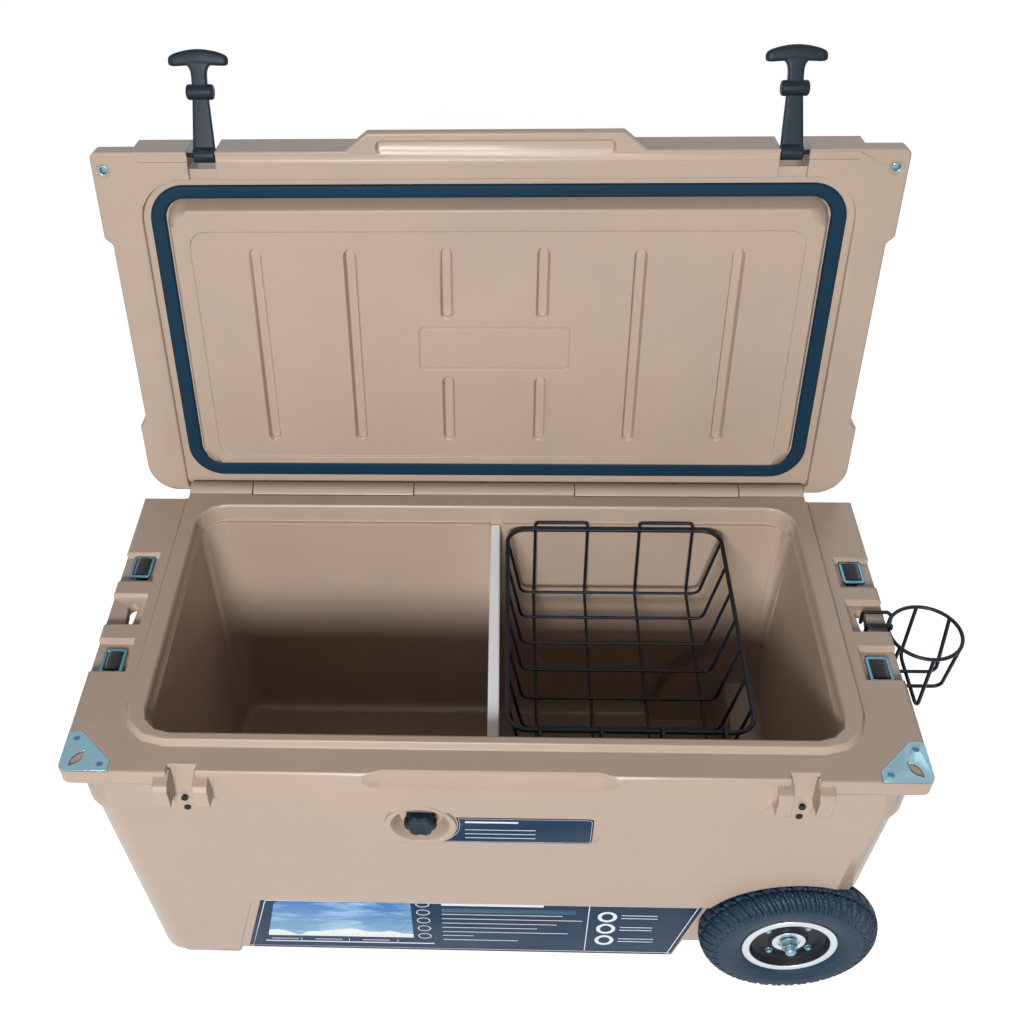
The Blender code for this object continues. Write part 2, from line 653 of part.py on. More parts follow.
def slab(name, outline, low, high, low_edge=0, high_edge=0):
    """Extrude an outline along Z with chamfered edges."""
    levels = []
    if low_edge:
        levels += [(inset(outline, low_edge), low), (outline, low + low_edge)]
    else:
        levels += [(outline, low)]
    if high_edge:
        turn = high_edge * (1 - math.cos(math.radians(45)))
        levels += [(outline, high - high_edge), (inset(outline, turn), high - turn)]
        levels += [(inset(outline, high_edge), high)]
    else:
        levels += [(outline, high)]
    return loft(name, [[(u, v, height) for u, v in ring] for ring, height in levels])


def lathe(name, profile, axis, centre, sides):
    """Turn a closed profile of (radius, along) about an axis through a centre."""
    rings = []
    for step in range(sides):
        angle = math.tau * step / sides
        ring = []
        for radius, along in profile:
            u = radius * math.cos(angle)
            v = radius * math.sin(angle)
            ring.append(tuple(Vector(place(axis, (u, v), along)) + Vector(centre)))
        rings.append(ring)
    return loft(name, rings, cyclic=True)


def drum(name, profile, axis, centre, sides):
    """Turn an open profile of (radius, along) into a solid with flat ends."""
    rings = []
    for radius, along in profile:
        ring = []
        for u, v in circle((0, 0), radius, sides):
            ring.append(tuple(Vector(place(axis, (u, v), along)) + Vector(centre)))
        rings.append(ring)
    return loft(name, rings)


def tube(name, path, radius, sides=WIRE_SIDES, cyclic=False):
    """Sweep a round wire along a path, with mitred bends."""
    path = [Vector(point) for point in path]
    count = len(path)
    tangents = []
    for index, here in enumerate(path):
        before = path[index - 1] if cyclic or index else None
        after = path[(index + 1) % count] if cyclic or index < count - 1 else None
        incoming = (here - before).normalized() if before is not None else None
        outgoing = (after - here).normalized() if after is not None else None
        if incoming is None:
            incoming = outgoing
        if outgoing is None:
            outgoing = incoming
        tangents.append((incoming + outgoing).normalized())
    side = tangents[0].orthogonal().normalized()
    rings = []
    for index, here in enumerate(path):
        side = (side - tangents[index] * side.dot(tangents[index])).normalized()
        across = tangents[index].cross(side)
        ring = []
        for step in range(sides):
            angle = math.tau * (step + 0.5) / sides
            ring.append(tuple(here + (side * math.cos(angle) + across * math.sin(angle)) * radius))
        rings.append(ring)
    return loft(name, rings, cyclic=cyclic)


def bent(corners, radius, steps=1):
    """Round the inner corners of an open path."""
    corners = [Vector(point) for point in corners]
    path = [corners[0]]
    for before, here, after in zip(corners, corners[1:], corners[2:]):
        incoming = (before - here).normalized()
        outgoing = (after - here).normalized()
        angle = incoming.angle(outgoing)
        reach = min(radius / math.tan(angle / 2), (before - here).length / 2, (after - here).length / 2)
        first = here + incoming * reach
        last = here + outgoing * reach
        for step in range(steps + 1):
            share = step / steps
            path.append(first * (1 - share) ** 2 + here * 2 * share * (1 - share) + last * share ** 2)
    path.append(corners[-1])
    return path


def combine(target, tool, operation):
    """Join, cut or keep the overlap of two solids, and drop the tool."""
    change = target.modifiers.new("combine", "BOOLEAN")
    change.operation = operation
    change.solver = "EXACT"
    change.object = tool
    bpy.context.view_layer.update()
    graph = bpy.context.evaluated_depsgraph_get()
    mesh = bpy.data.meshes.new_from_object(target.evaluated_get(graph))
    target.modifiers.clear()
    target.data = mesh
    bpy.data.objects.remove(tool)
    return target


def cut(target, *tools):
    """Cut each tool out of a solid."""
    for tool in tools:
        combine(target, tool, "DIFFERENCE")
    return target


def join(target, *tools):
    """Join each tool to a solid."""
    for tool in tools:
        combine(target, tool, "UNION")
    return target


def clean(target):
    """Weld the points that cuts leave together, and drop slivers."""
    work = bmesh.new()
    work.from_mesh(target.data)
    bmesh.ops.remove_doubles(work, verts=work.verts, dist=SEAT_GAP / 30)
    bmesh.ops.dissolve_degenerate(work, edges=work.edges, dist=SEAT_GAP / 30)
    bmesh.ops.dissolve_limit(work, angle_limit=math.radians(FLAT_ANGLE), verts=work.verts, edges=work.edges)
    work.to_mesh(target.data)
    work.free()
    return target


def finish(target, look, smooth_angle=30, parent=None, origin=None):
    """Give a piece its material, shading, origin and parent."""
    clean(target)
    target.data.materials.clear()
    target.data.materials.append(look)
    target.data.shade_smooth()
    target.data.set_sharp_from_angle(angle=math.radians(smooth_angle))
    if origin is not None:
        target.data.transform(Matrix.Translation(-Vector(origin)))
        target.location = origin
    if parent is not None:
        target.parent = parent
    return target


def empty(name, location, turn=0, parent=None):
    """Place an empty on a joint's axis, turned about X in degrees."""
    result = bpy.data.objects.new(name, None)
    bpy.context.scene.collection.objects.link(result)
    result.location = location
    result.rotation_euler = (math.radians(turn), 0, 0)
    result.parent = parent
    return result


def wall_half_length(height):
    """Half length of the tub's outside at a height."""
    return WALL_HALF_LENGTH + END_DRAFT_SHARE * height


def wall_half_depth(height):
    """Half depth of the tub's outside at a height."""
    return WALL_HALF_DEPTH + SIDE_DRAFT_SHARE * height


def ring_at(half_length, half_depth, radius, height):
    """A rounded rectangle about the tub's axis."""
    outline = rounded_rectangle((-half_length, half_length), (-half_depth, half_depth), radius)
    return [(u, v, height) for u, v in outline]


def wall_ring(height, inward=0, radius=WALL_CORNER_RADIUS):
    """The tub's outer outline at a height, moved inward."""
    return ring_at(wall_half_length(height) - inward, wall_half_depth(height) - inward, radius, height)


def rounded_base(bottom, radius, steps=3):
    """Outer rings that roll from the underside up into the wall."""
    rings = []
    for step in range(steps + 1):
        angle = math.radians(90 * step / steps)
        rings.append(wall_ring(bottom + radius * (1 - math.cos(angle)), radius * (1 - math.sin(angle))))
    return rings


def front_panel(name, outline, depth, proud=CUT_OVERRUN):
    """A block that follows the front wall's draft, from a depth to a reach outside."""
    inner = [(u, depth - wall_half_depth(v), v) for u, v in outline]
    outer = [(u, -proud - wall_half_depth(v), v) for u, v in outline]
    return loft(name, (inner, outer))


def cavity_half_length(height):
    """Half length of the cavity at a height."""
    share = (height - FLOOR_HEIGHT) / (LAND_HEIGHT - FLOOR_HEIGHT)
    return CAVITY_FLOOR_HALF_LENGTH + (OPENING_HALF_LENGTH - CAVITY_FLOOR_HALF_LENGTH) * share


def cavity_half_depth(height):
    """Half depth of the cavity below its ledge."""
    share = (height - FLOOR_HEIGHT) / (LEDGE_HEIGHT - FLOOR_HEIGHT)
    top = OPENING_HALF_DEPTH - LEDGE_WIDTH
    return CAVITY_FLOOR_HALF_DEPTH + (top - CAVITY_FLOOR_HALF_DEPTH) * share


def make_shell():
    """The tub's outside, from the foot's edge to the rim."""
    top = RIM_HEIGHT
    skirt_half_length = wall_half_length(SKIRT_BOTTOM) + SKIRT_STEP
    skirt_half_depth = wall_half_depth(SKIRT_BOTTOM) + SKIRT_STEP
    rim_edge = RIM_EDGE_RADIUS
    rings = rounded_base(0, FOOT_EDGE_RADIUS)
    rings.append(wall_ring(SKIRT_BOTTOM - SKIRT_STEP))
    rings.append(ring_at(skirt_half_length, skirt_half_depth, WALL_CORNER_RADIUS, SKIRT_BOTTOM))
    rings.append(ring_at(skirt_half_length, skirt_half_depth, WALL_CORNER_RADIUS, FLANGE_BOTTOM - SKIRT_STEP))
    rings.append(ring_at(RIM_HALF_LENGTH, RIM_HALF_DEPTH, RIM_CORNER_RADIUS, FLANGE_BOTTOM))
    rings.append(ring_at(RIM_HALF_LENGTH, RIM_HALF_DEPTH, RIM_CORNER_RADIUS, top - rim_edge))
    rings.append(
        ring_at(RIM_HALF_LENGTH - rim_edge, RIM_HALF_DEPTH - rim_edge, RIM_CORNER_RADIUS - rim_edge, top)
    )
    return loft("tub", rings)


def underside_ring(x, height):
    """Section of the space under the tub, which chamfers the two long edges."""
    narrow = wall_half_depth(height) - BASE_EDGE_RADIUS
    wide = narrow + BASE_EDGE_RADIUS + CUT_OVERRUN
    top = height + BASE_EDGE_RADIUS + CUT_OVERRUN
    below = -CUT_OVERRUN
    outline = [(narrow, height), (wide, top), (wide, below), (-wide, below), (-wide, top), (-narrow, height)]
    return [(x, u, v) for u, v in outline]


def make_underside():
    """The space under the tub, from the foot to the end with the wheels."""
    rings = (
        underside_ring(FOOT_INNER_END, FOOT_STEP_RUN),
        underside_ring(FOOT_INNER_END + FOOT_STEP_RUN, GROUND_CLEARANCE),
        underside_ring(RIM_HALF_LENGTH + CUT_OVERRUN, GROUND_CLEARANCE),
    )
    return loft("underside", rings)


def make_cavity():
    """The space inside the tub, with its floor edge and its ledge."""
    rings = []
    for step in range(3):
        angle = math.radians(90 * step / 2)
        height = FLOOR_HEIGHT + FLOOR_EDGE_RADIUS * (1 - math.cos(angle))
        inward = FLOOR_EDGE_RADIUS * (1 - math.sin(angle))
        half_length = cavity_half_length(height) - inward
        rings.append(ring_at(half_length, cavity_half_depth(height) - inward, CAVITY_CORNER_RADIUS, height))
    ledge_length = cavity_half_length(LEDGE_HEIGHT)
    rings.append(ring_at(ledge_length, cavity_half_depth(LEDGE_HEIGHT), CAVITY_CORNER_RADIUS, LEDGE_HEIGHT))
    upper_length = ledge_length + SEAT_GAP
    rings.append(ring_at(upper_length, OPENING_HALF_DEPTH - SEAT_GAP, OPENING_CORNER_RADIUS, LEDGE_HEIGHT))
    edge = LAND_HEIGHT - OPENING_EDGE
    rings.append(ring_at(OPENING_HALF_LENGTH, OPENING_HALF_DEPTH, OPENING_CORNER_RADIUS, edge))
    grown = OPENING_EDGE * 2
    rings.append(
        ring_at(
            OPENING_HALF_LENGTH + grown,
            OPENING_HALF_DEPTH + grown,
            OPENING_CORNER_RADIUS + grown,
            edge + grown,
        )
    )
    return loft("cavity", rings)


def make_hump(side):
    """The inside of one wheel well, standing in the cavity."""
    centre_x, centre_y, centre_z = WHEEL_CENTRE
    radius = WHEEL_RADIUS + WELL_CLEARANCE + HUMP_WALL
    floor = FLOOR_HEIGHT - FLOOR_EDGE_RADIUS
    far = OPENING_HALF_LENGTH + FLOOR_EDGE_RADIUS
    over = math.degrees(math.acos((far - centre_x) / radius))
    outline = [(centre_x - radius - HUMP_FOOT_FLARE, floor)]
    outline += arc((centre_x, centre_z), radius, 175, over, ARCH_STEPS)
    outline.append((far, floor))
    inner = WELL_INNER_WALL - HUMP_SIDE_WALL
    outer = CAVITY_FLOOR_HALF_DEPTH + HUMP_SIDE_WALL
    return prism("hump", outline, "Y", side * inner, side * outer)


def make_axle_block():
    """The raised block over the axle, between the two wheel wells."""
    floor = FLOOR_HEIGHT - FLOOR_EDGE_RADIUS
    far = OPENING_HALF_LENGTH + FLOOR_EDGE_RADIUS
    outline = [
        (AXLE_BLOCK_START - AXLE_BLOCK_DRAFT, floor),
        (far, floor),
        (far, AXLE_BLOCK_HEIGHT),
        (AXLE_BLOCK_START + AXLE_BLOCK_DRAFT, AXLE_BLOCK_HEIGHT),
        (AXLE_BLOCK_START, AXLE_BLOCK_HEIGHT - AXLE_BLOCK_DRAFT),
    ]
    reach = WELL_INNER_WALL - HUMP_SIDE_WALL / 2
    return prism("axle_block", outline, "Y", -reach, reach)


def make_wheel_well(side):
    """The outside of one wheel well, open below and at the end."""
    centre_x, _, centre_z = WHEEL_CENTRE
    radius = WHEEL_RADIUS + WELL_CLEARANCE
    start = 180 - math.degrees(math.asin((WELL_FLANK_HEIGHT - centre_z) / radius))
    arch = arc((centre_x, centre_z), radius, start, 25, ARCH_STEPS)
    run = (arch[0][0] - WELL_FLANK_FOOT) / (WELL_FLANK_HEIGHT - GROUND_CLEARANCE)
    below = -CUT_OVERRUN
    foot = WELL_FLANK_FOOT + run * (below - GROUND_CLEARANCE)
    far = RIM_HALF_LENGTH + CUT_OVERRUN
    outline = [(foot, below)] + arch + [(far, arch[-1][1]), (far, below)]
    return prism("wheel_well", outline, "Y", side * WELL_INNER_WALL, side * (RIM_HALF_DEPTH + CUT_OVERRUN))


def make_land():
    """The raised land round the opening."""
    radius = LAND_CORNER_RADIUS
    middle_x = LAND_HALF_LENGTH - radius
    middle_y = radius - LAND_FRONT
    back = HINGE_AXIS[0] - BARREL_RADIUS / 2
    outline = arc((middle_x, middle_y), radius, -90, 0, CORNER_STEPS)
    outline += [(LAND_HALF_LENGTH, back), (-LAND_HALF_LENGTH, back)]
    outline += arc((-middle_x, middle_y), radius, 180, 270, CORNER_STEPS)
    flare = LAND_HEIGHT - RIM_HEIGHT
    low = inset(outline, -LAND_FLARE)
    top = inset(outline, OPENING_EDGE / 3)
    rings = (
        [(u, v, RIM_HEIGHT - flare) for u, v in low],
        [(u, v, RIM_HEIGHT) for u, v in low],
        [(u, v, LAND_HEIGHT - OPENING_EDGE / 3) for u, v in outline],
        [(u, v, LAND_HEIGHT) for u, v in top],
    )
    return loft("land", rings)


def make_rail():
    """The hinge rail along the back of the rim."""
    axis_y, axis_z = HINGE_AXIS
    outline = [(RAIL_FRONT, RAIL_FOOT), (RAIL_FRONT, axis_z - LAND_FLARE)]
    outline += arc(HINGE_AXIS, BARREL_RADIUS, 180, 0, HINGE_STEPS)
    outline += [(axis_y + BARREL_RADIUS, FLANGE_BOTTOM), (RIM_HALF_DEPTH - SKIRT_STEP, RAIL_FOOT)]
    return prism("rail", outline, "X", -RAIL_HALF_LENGTH, RAIL_HALF_LENGTH)


def make_knuckle_gap(side):
    """The gap in the rail that a lid knuckle turns in."""
    axis_y, _ = HINGE_AXIS
    radius = BARREL_RADIUS + BARREL_CLEARANCE
    outline = arc(HINGE_AXIS, radius, 90, 270, HINGE_STEPS)
    behind = RIM_HALF_DEPTH + CUT_OVERRUN
    above = LAND_HEIGHT + CUT_OVERRUN
    outline += [(behind, outline[-1][1]), (behind, above), (axis_y, above)]
    inner = side * (LID_KNUCKLE_INNER - KNUCKLE_GAP)
    outer = side * (LID_KNUCKLE_OUTER + KNUCKLE_GAP)
    return prism("knuckle_gap", outline, "X", inner, outer)


def rod(name, centre, radius, ends, sides=PIN_SIDES):
    """A plain rod along X through a centre in Y and Z."""
    return prism(name, circle(centre, radius, sides), "X", *ends)


def make_ear_chamfer(side):
    """The slope behind one ear of the rim."""
    run = RIM_HALF_DEPTH - EAR_BACK
    share = CUT_OVERRUN / run
    foot = (EAR_BACK + run * (1 + share), RIM_HEIGHT - EAR_DROP * (1 + share))
    outline = [
        (EAR_BACK - run * share, RIM_HEIGHT + EAR_DROP * share),
        foot,
        (foot[0], RIM_HEIGHT + EAR_DROP * share),
    ]
    far = RIM_HALF_LENGTH + CUT_OVERRUN
    return prism("ear_chamfer", outline, "X", side * RAIL_HALF_LENGTH, side * far)


def make_scallop():
    """The grip scallop in the front edge of the rim."""
    front = RIM_HALF_DEPTH
    above = RIM_HEIGHT + CUT_OVERRUN
    outside = -front - CUT_OVERRUN
    middle = (RIM_HEIGHT + SCALLOP_BOTTOM) / 2
    rings = []
    tip = SEAT_GAP
    ends = ((-SCALLOP_HALF_LENGTH, 0), (-SCALLOP_FLAT, 1), (SCALLOP_FLAT, 1), (SCALLOP_HALF_LENGTH, 0))
    for x, share in ends:
        top = tip - front + (SCALLOP_TOP_DEPTH - tip) * share
        waist = tip - front + (SCALLOP_WAIST_DEPTH - tip) * share
        low = middle - (middle - SCALLOP_BOTTOM) * share
        edge = RIM_HEIGHT - RIM_EDGE_RADIUS * (1 - share)
        rings.append(
            [
                (x, top, above),
                (x, top, edge),
                (x, waist, middle),
                (x, -front, low),
                (x, outside, low),
                (x, outside, above),
            ]
        )
    return loft("scallop", rings)


def make_notch(side):
    """The notch in the rim that a latch strap lies in."""
    centre = side * LATCH_OFFSET
    half = NOTCH_WIDTH / 2
    foot = wall_half_depth(NOTCH_FOOT)
    slope = (foot - NOTCH_BACK) / (RIM_HEIGHT - NOTCH_FOOT)
    outline = [
        (-NOTCH_BACK + slope * CUT_OVERRUN, RIM_HEIGHT + CUT_OVERRUN),
        (-foot, NOTCH_FOOT),
        (-foot - CUT_OVERRUN, NOTCH_FOOT),
        (-foot - CUT_OVERRUN, RIM_HEIGHT + CUT_OVERRUN),
    ]
    return prism("notch", outline, "X", centre - half, centre + half)


def make_keeper_arch(side):
    """The arched step in the skirt round a keeper."""
    centre = side * LATCH_OFFSET
    half = KEEPER_ARCH_HALF
    shoulder = KEEPER_ARCH_SHOULDER
    outline = [
        (centre - half, SKIRT_BOTTOM - SKIRT_STEP * 2),
        (centre + half, SKIRT_BOTTOM - SKIRT_STEP * 2),
        (centre + half, SKIRT_BOTTOM),
        (centre + half - shoulder, KEEPER_ARCH_TOP - shoulder / 2),
        (centre + half - shoulder * 2, KEEPER_ARCH_TOP),
        (centre - half + shoulder * 2, KEEPER_ARCH_TOP),
        (centre - half + shoulder, KEEPER_ARCH_TOP - shoulder / 2),
        (centre - half, SKIRT_BOTTOM),
    ]
    return front_panel("keeper_arch", outline, 0)


def latched_barrel():
    """Centre of the latch's cross barrel with the lid shut and latched."""
    pin_y = LATCH_PIN_S - LID_BACK
    pin_z = RIM_HEIGHT + LID_GAP + LATCH_PIN_HEIGHT
    drop = math.radians(LATCH_SHUT_ANGLE)
    return (-(pin_y + LATCH_BARREL_REACH * math.cos(drop)), pin_z - LATCH_BARREL_REACH * math.sin(drop))


def make_horn(side, hand):
    """One horn of a keeper, with a cup under it for the latch's barrel."""
    centre = side * LATCH_OFFSET
    barrel_y, barrel_z = latched_barrel()
    cup = LATCH_BARREL_RADIUS + HORN_CUP_GAP
    root = -(wall_half_depth(NOTCH_FOOT) - SKIRT_STEP)
    reach = math.sqrt(max(cup ** 2 - (HORN_BOTTOM - HORN_CUP_GAP * 2 - barrel_z) ** 2, 0))
    low = HORN_BOTTOM - HORN_CUP_GAP * 2
    outline = [
        (root, HORN_TOP_BACK),
        (root, low),
        (barrel_y + reach, low),
        (barrel_y + reach / 2, barrel_z + math.sqrt(cup ** 2 - reach ** 2 / 4)),
        (barrel_y, barrel_z + cup),
        (-HORN_FRONT, barrel_z + cup),
        (-HORN_FRONT, HORN_TOP_FRONT - HORN_NOSE),
        (-HORN_FRONT + HORN_NOSE, HORN_TOP_FRONT),
    ]
    return prism("horn", outline, "X", centre + hand * HORN_INNER, centre + hand * HORN_OUTER)


def make_vent_bowl():
    """The bowl that the vent knob sits in."""
    x, z = VENT_CENTRE
    wall = -wall_half_depth(z) - VENT_BOSS_HEIGHT
    profile = (
        (VENT_BOWL_RADIUS + VENT_BOWL_LIP * 2, wall - VENT_BOWL_LIP),
        (VENT_BOWL_RADIUS, wall + VENT_BOWL_LIP),
        (VENT_BOWL_FLOOR_RADIUS, vent_floor()),
    )
    return drum("vent_bowl", profile, "Y", (x, 0, z), VENT_SIDES)


def vent_floor():
    """Y of the flat bottom of the vent bowl."""
    return VENT_BOWL_DEPTH - wall_half_depth(VENT_CENTRE[1])


def make_badge_panel():
    """The shallow badge panel, hollowed round the vent boss."""
    x, z = VENT_CENTRE
    radius = VENT_BOSS_RADIUS + BADGE_BOSS_GAP
    low = math.degrees(math.asin((BADGE_BOTTOM - z) / radius))
    high = math.degrees(math.asin((BADGE_TOP - z) / radius))
    corner = BADGE_CORNER_RADIUS
    outline = arc((BADGE_RIGHT - corner, BADGE_BOTTOM + corner), corner, -90, 0, 3)
    outline += arc((BADGE_RIGHT - corner, BADGE_TOP - corner), corner, 0, 90, 3)
    outline += arc((x, z), radius, high, low, 8)
    return front_panel("badge_panel", outline, BADGE_DEPTH)


def make_label_panel():
    """The sunk panel low in the front wall, from its slanted end to the wheel well."""
    rise = (LABEL_LEFT_TOP - LABEL_LEFT_BOTTOM) / (LABEL_TOP - GROUND_CLEARANCE)
    below = GROUND_CLEARANCE - CUT_OVERRUN
    foot = LABEL_LEFT_BOTTOM - rise * CUT_OVERRUN
    outline = [
        (foot, below),
        (WHEEL_CENTRE[0], below),
        (WHEEL_CENTRE[0], LABEL_TOP),
        (LABEL_LEFT_TOP + LABEL_CORNER, LABEL_TOP),
        (LABEL_LEFT_TOP, LABEL_TOP - LABEL_CORNER / 2),
    ]
    return front_panel("label_panel", outline, LABEL_DEPTH)


def make_end_recess(side, centre):
    """One drafted recess across the rim's end flange."""
    low = RIM_HEIGHT - END_RECESS_DEPTH
    high = RIM_HEIGHT + CUT_OVERRUN
    flare = END_RECESS_FLARE * (high - low) / END_RECESS_DEPTH
    half = END_RECESS_HALF - END_RECESS_FLARE
    outline = []
    for height, grow in ((low, 0), (high, flare)):
        outline.append(
            [
                (side * (END_RECESS_INNER - grow), centre - half - grow, height),
                (side * (RIM_HALF_LENGTH + CUT_OVERRUN), centre - half - grow, height),
                (side * (RIM_HALF_LENGTH + CUT_OVERRUN), centre + half + grow, height),
                (side * (END_RECESS_INNER - grow), centre + half + grow, height),
            ]
        )
    return loft("end_recess", outline)


def make_strap_slot(side, centre):
    """The slot that a handle strap passes down through."""
    ends = (side * SLOT_INNER, side * SLOT_OUTER)
    heights = (POCKET_BOTTOM + POCKET_SLOPE, RIM_HEIGHT)
    return box("strap_slot", ends, (centre - SLOT_HALF, centre + SLOT_HALF), heights)


def make_keyhole(side):
    """The keyhole slot in the middle recess, wide at its back end."""
    centre = END_RECESS_CENTRES[1]
    x = side * KEYHOLE_X
    front = centre + KEYHOLE_FRONT
    back = centre + KEYHOLE_BACK
    outline = arc((x, front + KEYHOLE_NARROW), KEYHOLE_NARROW, 180, 360, 4)
    outline += arc((x, back - KEYHOLE_WIDE), KEYHOLE_WIDE, -30, 210, 8)
    return prism("keyhole", outline, "Z", POCKET_BOTTOM + POCKET_SLOPE, RIM_HEIGHT)


def pocket_ring(x, shrink):
    """Outline of a handle pocket at one depth, with its roof held level."""
    widths = (POCKET_FRONT + shrink, POCKET_BACK - shrink)
    heights = (POCKET_BOTTOM + shrink, FLANGE_BOTTOM + SEAT_GAP)
    return [(x, u, v) for u, v in rounded_rectangle(widths, heights, POCKET_CORNER_RADIUS)]


def make_handle_pocket(side):
    """The finger pocket in an end wall, under the rim's flange."""
    wall = wall_half_length(POCKET_BOTTOM)
    far = RIM_HALF_LENGTH + CUT_OVERRUN
    slope = POCKET_SLOPE / 3
    flare = slope * (far - wall) / (wall - POCKET_INNER)
    return loft("handle_pocket", (pocket_ring(side * POCKET_INNER, slope), pocket_ring(side * far, -flare)))


def handed(outline, side):
    """Turn a counter-clockwise outline into its left-hand or right-hand form."""
    if side > 0:
        return outline
    return [(-u, v) for u, v in reversed(outline)]


def plate_outline(side):
    """A corner plate seen from above."""
    edge_x = RIM_HALF_LENGTH - PLATE_EDGE_INSET
    edge_y = RIM_HALF_DEPTH - PLATE_EDGE_INSET
    corner = PLATE_CORNER_RADIUS
    outline = [(PLATE_INNER_X, -edge_y)]
    outline += arc((edge_x - corner, corner - edge_y), corner, -90, 0, 3)
    outline += [(edge_x, -PLATE_BACK), (PLATE_SHOULDER_X, -PLATE_BACK), (PLATE_INNER_X, -PLATE_SHOULDER_Y)]
    return handed(outline, side)


def make_plate_seat(side):
    """The sunk seat for a corner plate, run out past the rim's corner."""
    far_x = RIM_HALF_LENGTH + CUT_OVERRUN
    far_y = RIM_HALF_DEPTH + CUT_OVERRUN
    outline = [
        (PLATE_INNER_X, -far_y),
        (far_x, -far_y),
        (far_x, -PLATE_BACK),
        (PLATE_SHOULDER_X, -PLATE_BACK),
        (PLATE_INNER_X, -PLATE_SHOULDER_Y),
    ]
    outline = handed(inset(outline, -SEAT_GAP), side)
    return prism("plate_seat", outline, "Z", RIM_HEIGHT - PLATE_THICKNESS, RIM_HEIGHT + CUT_OVERRUN)


def lens(side, low, high):
    """The lens-shaped lock hole through a corner plate."""
    angle = math.radians(LENS_ANGLE)
    points = []
    for hand in (1, -1):
        for step in range(LENS_STEPS):
            share = step / LENS_STEPS
            along = LENS_HALF_LENGTH * (1 - 2 * share) * hand
            across = LENS_HALF_WIDTH * 4 * share * (1 - share) * hand
            u = along * math.cos(angle) - across * math.sin(angle)
            v = along * math.sin(angle) + across * math.cos(angle)
            points.append((side * (LENS_CENTRE[0] - u), v - LENS_CENTRE[1]))
    return prism("lens", points, "Z", low, high)


def make_tub(look):
    """The rotomoulded tub in one piece."""
    tub = make_shell()
    join(tub, make_land(), make_rail())
    cut(tub, make_underside(), make_cavity())
    join(tub, make_hump(-1), make_hump(1), make_axle_block())
    cut(tub, make_wheel_well(-1), make_wheel_well(1), make_divider_grooves(), make_drain_bore())
    axle_bore = circle((WHEEL_CENTRE[0], WHEEL_CENTRE[2]), AXLE_RADIUS + SEAT_GAP, PIN_SIDES)
    cut(tub, prism("axle_bore", axle_bore, "Y", -RIM_HALF_DEPTH, RIM_HALF_DEPTH))
    boss = circle(VENT_CENTRE, VENT_BOSS_RADIUS, VENT_SIDES)
    join(tub, front_panel("boss", boss, VENT_BOSS_HEIGHT, VENT_BOSS_HEIGHT))
    socket = circle(VENT_CENTRE, VENT_SOCKET_RADIUS + SEAT_GAP, VENT_SIDES)
    floor = vent_floor()
    cut(tub, make_vent_bowl(), prism("socket", socket, "Y", floor - SEAT_GAP, floor + VENT_SOCKET_DEPTH))
    cut(tub, make_badge_panel(), make_label_panel(), make_scallop())
    for side in (-1, 1):
        cut(tub, make_ear_chamfer(side), make_knuckle_gap(side), make_keeper_arch(side), make_notch(side))
        join(tub, make_horn(side, -1), make_horn(side, 1))
        cut(tub, make_handle_pocket(side))
        for centre in END_RECESS_CENTRES:
            cut(tub, make_end_recess(side, centre))
        cut(tub, make_strap_slot(side, END_RECESS_CENTRES[0]), make_strap_slot(side, END_RECESS_CENTRES[2]))
        cut(tub, make_keyhole(side), make_plate_seat(side))
        rod_ends = (side * (HINGE_ROD_INNER - SEAT_GAP), side * (RAIL_HALF_LENGTH + CUT_OVERRUN))
        cut(tub, rod("rod_bore", HINGE_AXIS, HINGE_ROD_RADIUS + SEAT_GAP, rod_ends))
        for x, y in PLATE_SCREWS:
            low = RIM_HEIGHT - PLATE_THICKNESS - PLATE_SCREW_LENGTH
            hole = circle((side * x, -y), PLATE_SCREW_SHANK + SEAT_GAP, SCREW_SIDES)
            cut(tub, prism("screw_hole", hole, "Z", low, RIM_HEIGHT))
        for height in KEEPER_SCREW_HEIGHTS:
            centre = (side * (LATCH_OFFSET + KEEPER_SCREW_OFFSET), height)
            deep = KEEPER_SCREW_LENGTH - wall_half_depth(height)
            hole = circle(centre, KEEPER_SCREW_SHANK + SEAT_GAP, SCREW_SIDES)
            cut(tub, prism("screw_hole", hole, "Y", -RIM_HALF_DEPTH - CUT_OVERRUN, deep))
    return finish(tub, look)


def lid_y(s):
    """Y of a place on the shut lid, measured forward from its back edge."""
    return LID_BACK - s


def lid_base():
    """Height of the shut lid's underside."""
    return RIM_HEIGHT + LID_GAP


def lid_outline():
    """The lid seen from above, without its lip."""
    half = LID_HALF_LENGTH
    narrow = half - LID_SIDE_RECESS
    rear = LID_REAR_RADIUS
    front = LID_FRONT_RADIUS
    right = arc((half - front, front - LID_FRONT), front, -90, 0, 3)
    right += [(half, lid_y(LID_SIDE_END)), (narrow, lid_y(LID_SIDE_END - LID_SIDE_RAMP))]
    right += [(narrow, lid_y(LID_SIDE_START + LID_SIDE_RAMP)), (half, lid_y(LID_SIDE_START))]
    right += arc((half - rear, LID_BACK - rear), rear, 0, 90, CORNER_STEPS)
    left = [(-u, v) for u, v in reversed(right)]
    return right + left


def make_lid_recess():
    """The hollow under the lid that the gasket lies in, open to the hinge rebate."""
    radius = LID_RECESS_RADIUS
    half = LID_RECESS_HALF_LENGTH
    back = HINGE_AXIS[0]
    outline = arc((half - radius, radius - LID_RECESS_FRONT), radius, -90, 0, CORNER_STEPS)
    outline += [(half, back - BARREL_RADIUS), (REBATE_HALF_LENGTH, back - BARREL_RADIUS / 2)]
    outline += [(-REBATE_HALF_LENGTH, back - BARREL_RADIUS / 2), (-half, back - BARREL_RADIUS)]
    outline += arc((radius - half, radius - LID_RECESS_FRONT), radius, 180, 270, CORNER_STEPS)
    low = lid_base() - CUT_OVERRUN
    return prism("lid_recess", outline, "Z", low, lid_base() + LID_RECESS_DEPTH)


